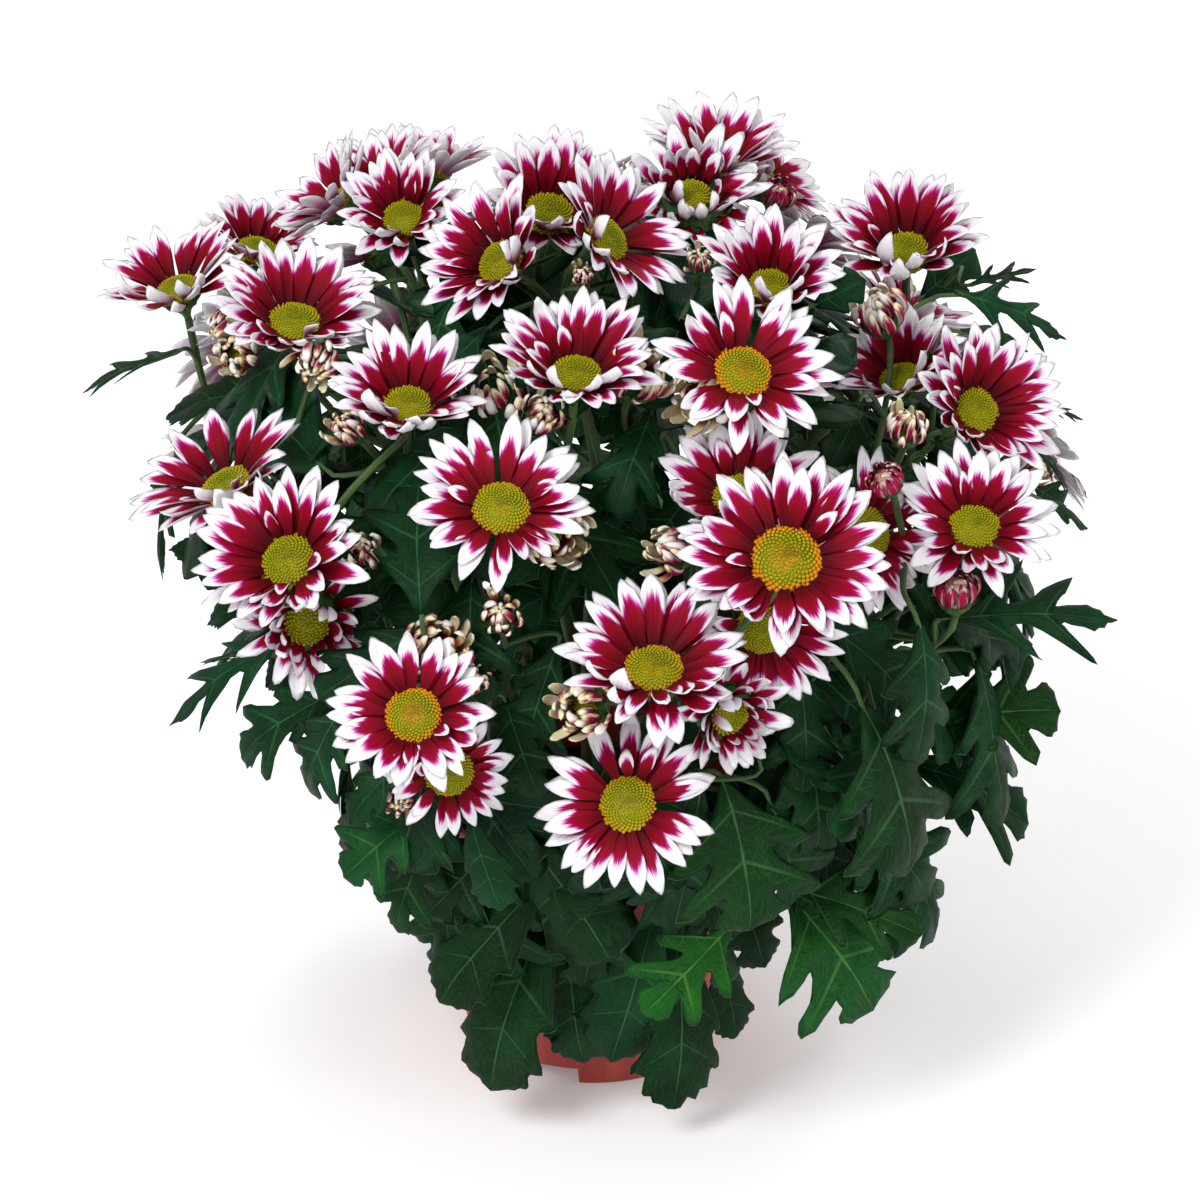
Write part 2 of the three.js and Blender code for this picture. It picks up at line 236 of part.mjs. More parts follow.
// Leaves: cutting, blade base, blade tip, direction of the upper side, width over length,
// arch over length, where the leaf stalk leaves its stem.
const LEAVES = [
  [2, -14.3, -82, 99.4, -39, -94, 23.9, -0.354, -0.907, 0.23, 0.45, 0.1, 26.8, -94.3, 129.2],
  [1, -9.6, -80, 91.6, -6, -88, 31.5, -0.064, -0.99, 0.128, 0.46, 0.05, -30.3, -48.9, 134.4],
  [2, 24, -88, 102.8, 5.1, -94, 36.5, 0.038, -0.998, 0.049, 0.44, 0.08, 29.1, -85.9, 130.5],
  [2, 49.8, -112, 105.6, 17.3, -120, 73.8, -0.009, -0.967, 0.253, 0.72, 0.1, 25.3, -102.9, 128.7],
  [2, 45.3, -128, 172.4, 56.1, -140, 119.4, 0.363, -0.89, 0.276, 0.98, 0.12, 23.4, -119, 163.1],
  [2, 93.1, -128, 201.5, 110.1, -128, 133.6, 0.665, -0.728, 0.166, 0.8, 0.12, 56.1, -107.3, 233],
  [2, 103.7, -92, 130.1, 126.2, -90, 86.8, 0.755, -0.543, 0.368, 0.75, 0.1, 95.3, -72.5, 189.4],
  [2, 122.2, -92, 216.9, 187.3, -78, 210.3, 0.198, -0.53, 0.825, 0.62, 0.05, 121.1, -89.2, 205.9],
  [2, 119.2, -80, 174.7, 169.5, -72, 166.8, 0.239, -0.6, 0.764, 0.9, 0.05, 108.9, -81.2, 196.2],
  [2, 121.4, -65.2, 196.3, 147.9, -63.2, 184.1, 0.397, -0.472, 0.787, 0.6, 0.05, 96.2, -62.2, 198.6],
  [2, 161.1, -12, 265.6, 179.9, -6, 258, 0.414, -0.17, 0.894, 0.45, 0.02, 121.7, -26.5, 255.2],
  [2, 162, -40, 240.9, 179.9, -34, 227.6, 0.626, -0.195, 0.755, 0.4, 0.02, 126.1, -67.8, 225.4],
  [3, -152.9, 24, 272.9, -192.3, 34, 252, -0.457, 0.049, 0.888, 0.66, 0.02, -148.2, 38, 263.4],
  [1, -105.3, -20, 276.6, -157.1, -4, 259.5, -0.367, -0.219, 0.904, 0.4, 0.02, -104.6, -28, 274.1],
  [1, -134.7, -10, 239, -164.8, 4, 229.8, -0.381, -0.23, 0.896, 0.45, 0.02, -110.6, -42.2, 228],
  [1, -122, -60, 228.2, -151.7, -50, 224.5, -0.27, -0.491, 0.829, 0.42, 0.02, -97.6, -76.6, 222.3],
  [1, -100.8, -92, 213, -151.6, -84, 170.3, -0.589, -0.532, 0.608, 0.44, 0.08, -87.4, -85.4, 216],
  [1, -87.8, -110, 198.4, -125.2, -102, 167.6, -0.569, -0.631, 0.527, 0.62, 0.08, -51.8, -115.8, 195.9],
  [1, -95.8, -91.2, 204.8, -117, -87.6, 190.1, -0.52, -0.603, 0.606, 0.55, 0.05, -78.9, -82.3, 206.8],
  [1, -61.1, -118, 153.3, -87.2, -122, 129.5, -0.39, -0.738, 0.551, 0.85, 0.08, -53.3, -111.7, 175.2],
  [1, -57.3, -112, 142.1, -70, -116, 104.1, -0.52, -0.814, 0.259, 0.62, 0.08, -59.8, -101.3, 162.3],
  [2, 46, -66, 75.2, 52.3, -72, 33.5, 0.578, -0.791, 0.202, 0.5, 0.06, 32.8, -69.2, 132.2],
  [1, -44.4, -86, 109.5, -56, -84, 68.6, -0.592, -0.795, 0.13, 0.7, 0.06, -46.5, -74.8, 151.4],
  [0, 11.5, 64.5, 293.6, 31.3, 104.2, 296.8, -0.19, 0.014, 0.982, 0.8, 0.114, 14.1, 37.3, 286.2],
  [0, -9.9, -8.6, 284, -66.4, -14.1, 307.8, 0.396, -0.199, 0.896, 0.75, 0.084, -6, -25.4, 287.7],
  [3, -10.3, 113.6, 197.5, 11.1, 142, 159.9, 0.109, 0.762, 0.638, 0.8, 0.06, -29.1, 93.6, 225.7],
  [0, -33, 32.5, 297.1, -81.6, 27, 316.2, 0.25, 0.554, 0.794, 0.72, 0.116, -20.5, 3, 301.8],
  [4, 42.8, 77.2, 276.4, 77.4, 83.4, 243.8, 0.526, 0.535, 0.661, 0.59, 0.088, 44.8, 71, 293.1],
  [0, 40.8, -0.2, 294.2, 80.7, -49.4, 310.2, 0.164, 0.424, 0.891, 0.59, 0.114, 22.5, 27.2, 285.3],
  [3, -83, 27.8, 268.6, -142.4, 13, 232.9, -0.534, 0.128, 0.836, 0.65, 0.108, -63.4, 45.4, 267.6],
  [4, 116, 37, 232, 145.6, 24.5, 200.7, 0.742, 0.088, 0.665, 0.59, 0.054, 96.2, 39.7, 244],
  [3, -85.6, 58.1, 283.9, -126.5, 86.7, 253, -0.424, 0.31, 0.851, 0.75, 0.035, -68.7, 59, 287.5],
  [3, -66.2, 63.6, 232, -97.9, 104.1, 205, -0.325, 0.337, 0.884, 0.71, 0.061, -68.8, 60.1, 233.4],
  [3, -58.7, 88.7, 234.8, -30.3, 137.4, 209.9, -0.22, 0.543, 0.81, 0.58, 0.036, -56.2, 69.9, 231.9],
  [2, 16.5, -79, 170.4, 37, -125.8, 179, -0.202, 0.09, 0.975, 0.66, 0.045, 32.5, -69.6, 167.9],
  [1, -20.4, -82.5, 272.5, 12, -124.7, 233.8, 0.025, -0.665, 0.746, 0.63, 0.086, -23.3, -78.5, 274.4],
  [3, -111.6, 57.4, 170.7, -111.5, 103.4, 183.8, -0.581, -0.221, 0.783, 0.72, 0.119, -83.1, 34, 185.3],
  [1, -33.3, -76.3, 187.5, -60, -118.6, 214.4, 0.413, 0.288, 0.864, 0.63, 0.046, -34.6, -65.8, 175.4],
  [1, -36.6, -92.4, 246.3, -90.7, -105.3, 255, 0.248, -0.463, 0.851, 0.74, 0.047, -29.1, -96.7, 242.8],
  [2, 122.1, 2.3, 183.5, 147.5, 40.5, 189.3, 0.362, -0.372, 0.855, 0.72, 0.039, 95, -43.7, 186.6],
  [4, 55.5, 66, 149.4, 56.1, 119.7, 173.3, 0.485, -0.358, 0.798, 0.58, 0.052, 46.7, 39.4, 138],
  [0, 2.1, 25.2, 334.5, -32.2, 64.2, 290.9, -0.23, 0.628, 0.743, 0.67, 0.076, 17.5, 44.3, 308.1],
  [1, -109.3, -1.1, 266.8, -148.4, 15, 239.3, -0.57, 0.022, 0.822, 0.74, 0.086, -102.8, -10.5, 272.9],
  [4, 96.9, 64.4, 245.9, 105.2, 113.5, 220.1, 0.43, 0.361, 0.827, 0.58, 0.052, 96.3, 58.3, 243.8],
  [0, 5.4, 10.3, 315.3, -6.1, 53.7, 304.6, 0.095, 0.262, 0.96, 0.61, 0.083, -12.4, -30.4, 308.7],
  [4, 108.4, 28.1, 144.9, 139.1, 58.9, 175.5, 0.093, -0.747, 0.659, 0.59, 0.116, 78.6, 42.4, 171.6],
  [3, -18.9, 77.6, 132.5, -52.1, 102.6, 60.9, -0.204, 0.891, 0.406, 0.7, 0.077, -38.1, 51.6, 157.5],
  [4, 38.3, 72.2, 102.2, 70.8, 75.2, 50.3, 0.458, 0.823, 0.335, 0.7, 0.108, 33.9, 38, 118.7],
  [3, -75.6, 7.1, 128.6, -89.7, 22.6, 82.6, -0.832, 0.03, 0.554, 0.79, 0.073, -50.8, 38, 156.4],
  [4, 35.1, 80.5, 133.7, 31.1, 132, 68.1, 0.39, 0.736, 0.554, 0.61, 0.11, 38.6, 60.7, 156.1],
  [4, 19.4, 74.8, 118, -7.7, 109, 66.7, 0.266, 0.861, 0.434, 0.65, 0.079, 35.1, 46.9, 139],
  [3, -49.4, 72.1, 116.3, -54.1, 84.6, 61.5, -0.543, 0.807, 0.231, 0.76, 0.076, -40.5, 42.4, 137.7],
];
const CUTTINGS = [
  "cutting_centre",
  "cutting_front_left",
  "cutting_front_right",
  "cutting_back_left",
  "cutting_back_right",
];
const COLOUR = {
  pot: 0x9a3434,
  soil: 0x2a1d14,
  leaf: 0x1d4a2c,
  open: 0x8a0a24,
  half: 0xc9a45c,
};

// ---- solids -------------------------------------------------------------------------------
const wasm = await Module();
wasm.setup();

function bare(geometry) {
  const g = geometry.clone();
  for (const name of Object.keys(g.attributes))
    if (name !== "position") g.deleteAttribute(name);
  const m = mergeVertices(g, 1e-4);
  // a lathe leaves flat triangles where its profile meets the axis
  const index = [];
  const a = m.index.array;
  for (let i = 0; i < a.length; i += 3)
    if (a[i] !== a[i + 1] && a[i + 1] !== a[i + 2] && a[i] !== a[i + 2])
      index.push(a[i], a[i + 1], a[i + 2]);
  m.setIndex(index);
  return m;
}

function solid(geometry) {
  const g = bare(geometry);
  return new wasm.Manifold(
    new wasm.Mesh({
      numProp: 3,
      vertProperties: new Float32Array(g.attributes.position.array),
      triVerts: new Uint32Array(g.index.array),
    }),
  );
}

function geometryOf(manifold) {
  const m = manifold.getMesh();
  const v = new Float32Array(m.numVert * 3);
  for (let i = 0; i < m.numVert; i++)
    v.set(m.vertProperties.subarray(i * m.numProp, i * m.numProp + 3), i * 3);
  const g = new THREE.BufferGeometry();
  g.setAttribute("position", new THREE.BufferAttribute(v, 3));
  g.setIndex(new THREE.BufferAttribute(new Uint32Array(m.triVerts), 1));
  g.computeVertexNormals();
  return g;
}

// A lathe turned so that its axis is +Z, profile as [radius, height] pairs.
function lathe(profile, segments) {
  return new THREE.LatheGeometry(
    profile.map(([r, z]) => new THREE.Vector2(r, z)),
    segments,
  ).rotateX(Math.PI / 2);
}

// Matrix that carries the local +Z axis to n, at point p.
function placed(p, n) {
  const q = new THREE.Quaternion().setFromUnitVectors(
    new THREE.Vector3(0, 0, 1),
    new THREE.Vector3(...n).normalize(),
  );
  return new THREE.Matrix4().compose(
    new THREE.Vector3(...p),
    q,
    new THREE.Vector3(1, 1, 1),
  );
}

// ---- pot ----------------------------------------------------------------------------------
function potGeometry() {
  const wallTop = POT_H - RIM_BAND_H;
  const rAt = (z) => POT_BASE_R + ((POT_RIM_R - RIM_BAND_T - POT_BASE_R) * z) / wallTop;
  const profile = [
    [0, 0],
    [PAD_R, 0],
    [PAD_R + 2.5, CHANNEL_H],
    [FOOT_IN_R - 1.5, CHANNEL_H],
    [FOOT_IN_R, 0],
    [POT_BASE_R - 0.8, 0],
    [POT_BASE_R, 0.8],
    [rAt(wallTop - 3), wallTop - 3],
    [POT_RIM_R - 0.6, wallTop],
    [POT_RIM_R, POT_H - 2],
    [POT_RIM_R - 0.9, POT_H],
    [POT_RIM_R - RIM_BAND_T - POT_WALL + 0.6, POT_H],
    [rAt(wallTop - 3) - POT_WALL, wallTop - 3],
    [rAt(12) - POT_WALL, CHANNEL_H + 2.2],
    [PAD_R + 1, CHANNEL_H + 2.2],
    [PAD_R - 1.5, 2.2],
    [0, 2.2],
  ];
  let pot = solid(lathe(profile, 32));
  for (let i = 0; i < NOTCHES; i++) {
    const mid = ((NOTCH_FIRST_DEG + (i * 360) / NOTCHES) * Math.PI) / 180;
    const half = (NOTCH_DEG * Math.PI) / 360;
    const at = (r, a) => [r * Math.sin(a), -r * Math.cos(a)];
    const wedge = new THREE.Shape([
      new THREE.Vector2(...at(FOOT_IN_R - 4, mid - half * 1.02)),
      new THREE.Vector2(...at(POT_BASE_R + 6, mid - half)),
      new THREE.Vector2(...at(POT_BASE_R + 6, mid + half)),
      new THREE.Vector2(...at(FOOT_IN_R - 4, mid + half * 1.02)),
    ]);
    const cut = new THREE.ExtrudeGeometry(wedge, {
      depth: CHANNEL_H + 2,
      bevelEnabled: false,
    }).translate(0, 0, -2);
    pot = pot.subtract(solid(cut));
    const [x, y] = at((PAD_R + FOOT_IN_R) / 2 + 0.5, mid);
    const hole = new THREE.CylinderGeometry(DRAIN_R, DRAIN_R, 8, 8)
      .rotateX(Math.PI / 2)
      .translate(x, y, CHANNEL_H + 1);
    pot = pot.subtract(solid(hole));
  }
  return geometryOf(pot);
}

function soilGeometry() {
  const wallTop = POT_H - RIM_BAND_H;
  const rAt = (z) =>
    POT_BASE_R + ((POT_RIM_R - RIM_BAND_T - POT_BASE_R) * z) / wallTop - POT_WALL - 0.5;
  const bottom = CHANNEL_H + 2.2 + GAP;
  let soil = solid(
    lathe(
      [
        [0, bottom],
        [rAt(bottom + 3) - 0.4, bottom],
        [rAt(SOIL_TOP - 4) - 0.3, SOIL_TOP - 4],
        [rAt(SOIL_TOP - 4) - 2.5, SOIL_TOP - 1.2],
        [30, SOIL_TOP],
        [0, SOIL_TOP - 0.4],
      ],
      24,
    ),
  );
  for (const s of STEMS)
    if (s[4] < SOIL_TOP - 10) {
      const socket = new THREE.CylinderGeometry(STEM_SOCKET_R, STEM_SOCKET_R, 60, 10)
        .rotateX(Math.PI / 2)
        .translate(s[2], s[3], s[4] - 1 + 30);
      soil = soil.subtract(solid(socket));
    }
  return geometryOf(soil);
}

// ---- flower heads -------------------------------------------------------------------------
function openHead(cup, R, discR, twist) {
  const c = (cup * Math.PI) / 180;
  const tipR = R * Math.cos(c);
  const rise = (r) => Math.max(0, r - discR * 0.8) * Math.tan(c) * (1 - (0.18 * r) / R);
  const t = FLORET_T / 2;
  const g = lathe(
    [
      [0, -CALYX_DEPTH],
      [2.4, -CALYX_DEPTH],
      [CALYX_R, -3.2],
      [tipR, rise(tipR) - t],
      [tipR, rise(tipR) + t],
      [discR, 1.1],
      [0, DISC_CROWN],
    ],
    LOBES * 2,
  ).toNonIndexed();
  const p = g.attributes.position;
  for (let i = 0; i < p.count; i++) {
    const x = p.getX(i);
    const y = p.getY(i);
    const r = Math.hypot(x, y);
    if (r < tipR - 0.01) continue;
    const a = Math.atan2(y, x) + Math.PI / 2; // the lathe starts at -Y
    const k = Math.round((a / Math.PI) * LOBES);
    if ((k & 1) === 0) continue;
    const dz = p.getZ(i) > rise(tipR) ? t : -t;
    p.setXYZ(i, x * LOBE_NOTCH, y * LOBE_NOTCH, rise(tipR * LOBE_NOTCH) + dz);
  }
  return g.rotateZ(twist);
}

function halfHead(R, segments, bottom) {
  return lathe(
    [
      [0, -bottom],
      [1.7, -bottom],
      [R * 0.8, -R * 0.45],
      [R, R * 0.15],
      [R * 0.74, R * 0.72],
      [0, R * 0.8],
    ],
    segments,
  );
}

// ---- stems and leaves ---------------------------------------------------------------------
function tube(points, radius, sides, steps) {
  const [a, b, c, d] = [0, 1, 2, 3].map(
    (i) => new THREE.Vector3(points[i * 3], points[i * 3 + 1], points[i * 3 + 2]),
  );
  const section = new THREE.Shape(
    Array.from({ length: sides }, (_, i) => {
      const w = (2 * Math.PI * i) / sides;
      return new THREE.Vector2(radius * Math.cos(w), radius * Math.sin(w));
    }),
  );
  return new THREE.ExtrudeGeometry(section, {
    steps,
    bevelEnabled: false,
    extrudePath: new THREE.CubicBezierCurve3(a, b, c, d),
  });
}

// Outline of a leaf: distance from the blade's base as a part of its length, half width as a
// part of the blade's. The leaf stalk is the narrow strip before 0.
const BLADE = [
  [0.0, 0.1],
  [0.36, 0.86],
  [0.46, 0.42],
  [0.74, 0.68],
  [1.0, 0.0],
];

function leafSolid([, bx, by, bz, tx, ty, tz, nx, ny, nz, widthRatio, arch, ax, ay, az]) {
  const B = new THREE.Vector3(bx, by, bz);
  const T = new THREE.Vector3(tx, ty, tz);
  const A = new THREE.Vector3(ax, ay, az);
  const along = T.clone().sub(B);
  const length = along.length();
  along.normalize();
  const side = along.clone().cross(new THREE.Vector3(nx, ny, nz)).normalize();
  const top = side.clone().cross(along).normalize();
  const stalk = B.clone().sub(A);
  const stalkLength = stalk.length();
  stalk.normalize();
  const stalkSide = stalk.clone().cross(top).normalize();
  const stalkTop = stalkSide.clone().cross(stalk).normalize();
  const half = length * widthRatio * 0.5;
  const right = BLADE.map(([t, w]) => new THREE.Vector2(w * half, t * length));
  right.unshift(new THREE.Vector2(PETIOLE_R, -stalkLength));
  const left = right
    .slice(0, -1)
    .reverse()
    .map((v) => new THREE.Vector2(-v.x, v.y));
  const g = new THREE.ExtrudeGeometry(new THREE.Shape([...right, ...left]), {
    depth: LEAF_T,
    bevelEnabled: false,
  }).translate(0, 0, -LEAF_T / 2);
  const p = g.attributes.position;
  const v = new THREE.Vector3();
  for (let i = 0; i < p.count; i++) {
    const x = p.getX(i);
    const y = p.getY(i);
    const z = p.getZ(i);
    const t = y / length;
    if (t < 0) v.copy(A).addScaledVector(stalkSide, x).addScaledVector(stalkTop, z);
    else
      v.copy(B)
        .addScaledVector(side, x)
        .addScaledVector(along, y)
        .addScaledVector(top, z + 4 * arch * length * t * (1 - t) - Math.abs(x) * 0.12);
    p.setXYZ(i, v.x, v.y, v.z);
  }
  return solid(g);
}

function headSolid([, kind, x, y, z, nx, ny, nz, cup, R, discR], i) {
  const at = placed([x, y, z], [nx, ny, nz]);
  if (kind === "o") return solid(openHead(cup, R, discR, i * 0.9).applyMatrix4(at));
  if (kind === "h") return solid(halfHead(R, 12, R + 2).applyMatrix4(at));
  return solid(halfHead(R, 8, R + 3.2).applyMatrix4(at));
}

// A stalk that grows up between the florets of another head leaves a gap of its own size there.
function clearOfStems(head) {
  let m = head;
  for (const [cutting, radius, ...points] of STEMS) {
    if (m.intersect(stemSolid([cutting, radius, ...points])).volume() < 1e-6) continue;
    m = m.subtract(solid(tube(points, radius + 2 * GAP, radius > 2 ? 4 : 3, STEM_STEPS)));
  }
  const bodies = m.decompose();
  return bodies.reduce((a, b) => (b.volume() > a.volume() ? b : a));
}

function stemSolid([, radius, ...points]) {
  const sides = radius > 3 ? 6 : radius > 2 ? 4 : 3;
  return solid(tube(points, radius, sides, STEM_STEPS));
}

// ---- the part -----------------------------------------------------------------------------
const material = (color, roughness) =>
  new THREE.MeshStandardMaterial({ color, roughness, metalness: 0 });
const part = new THREE.Group();
const add = (parent, name, geometry, mat) => {
  const mesh = new THREE.Mesh(geometry, mat);
  mesh.name = name;
  parent.add(mesh);
  return mesh;
};
add(part, "pot", potGeometry(), material(COLOUR.pot, 0.5));
add(part, "potting_soil", soilGeometry(), material(COLOUR.soil, 0.95));

const plants = new THREE.Group();
part.add(plants);
CUTTINGS.forEach((name, k) => {
  const pieces = [
    ...STEMS.filter((s) => s[0] === k).map(stemSolid),
    ...LEAVES.filter((l) => l[0] === k).map(leafSolid),
    ...HEADS.filter((h) => h[1] === "b" && h[11] === k).map(headSolid),
  ];
  add(plants, name, geometryOf(wasm.Manifold.union(pieces)), material(COLOUR.leaf, 0.6));
});

const flowers = new THREE.Group();
part.add(flowers);
HEADS.forEach((h, i) => {
  if (h[1] === "b") return;
  add(
    flowers,
    h[0],
    geometryOf(clearOfStems(headSolid(h, i))),
    material(h[1] === "o" ? COLOUR.open : COLOUR.half, 0.6),
  );
});

export default part;
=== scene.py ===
import math

import bpy
import numpy as np
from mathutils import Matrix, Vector


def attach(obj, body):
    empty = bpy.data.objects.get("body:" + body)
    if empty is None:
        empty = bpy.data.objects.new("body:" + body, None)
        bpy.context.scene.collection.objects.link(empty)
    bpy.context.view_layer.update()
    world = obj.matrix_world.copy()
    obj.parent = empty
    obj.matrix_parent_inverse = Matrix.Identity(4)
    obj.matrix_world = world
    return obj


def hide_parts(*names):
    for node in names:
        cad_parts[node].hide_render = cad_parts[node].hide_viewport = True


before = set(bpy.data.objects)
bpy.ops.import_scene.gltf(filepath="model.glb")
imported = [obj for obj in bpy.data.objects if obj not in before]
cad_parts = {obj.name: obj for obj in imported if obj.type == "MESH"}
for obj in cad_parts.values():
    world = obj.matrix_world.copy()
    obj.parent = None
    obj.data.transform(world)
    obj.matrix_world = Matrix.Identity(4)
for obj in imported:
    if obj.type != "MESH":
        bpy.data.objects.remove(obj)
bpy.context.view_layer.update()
MM = 0.001

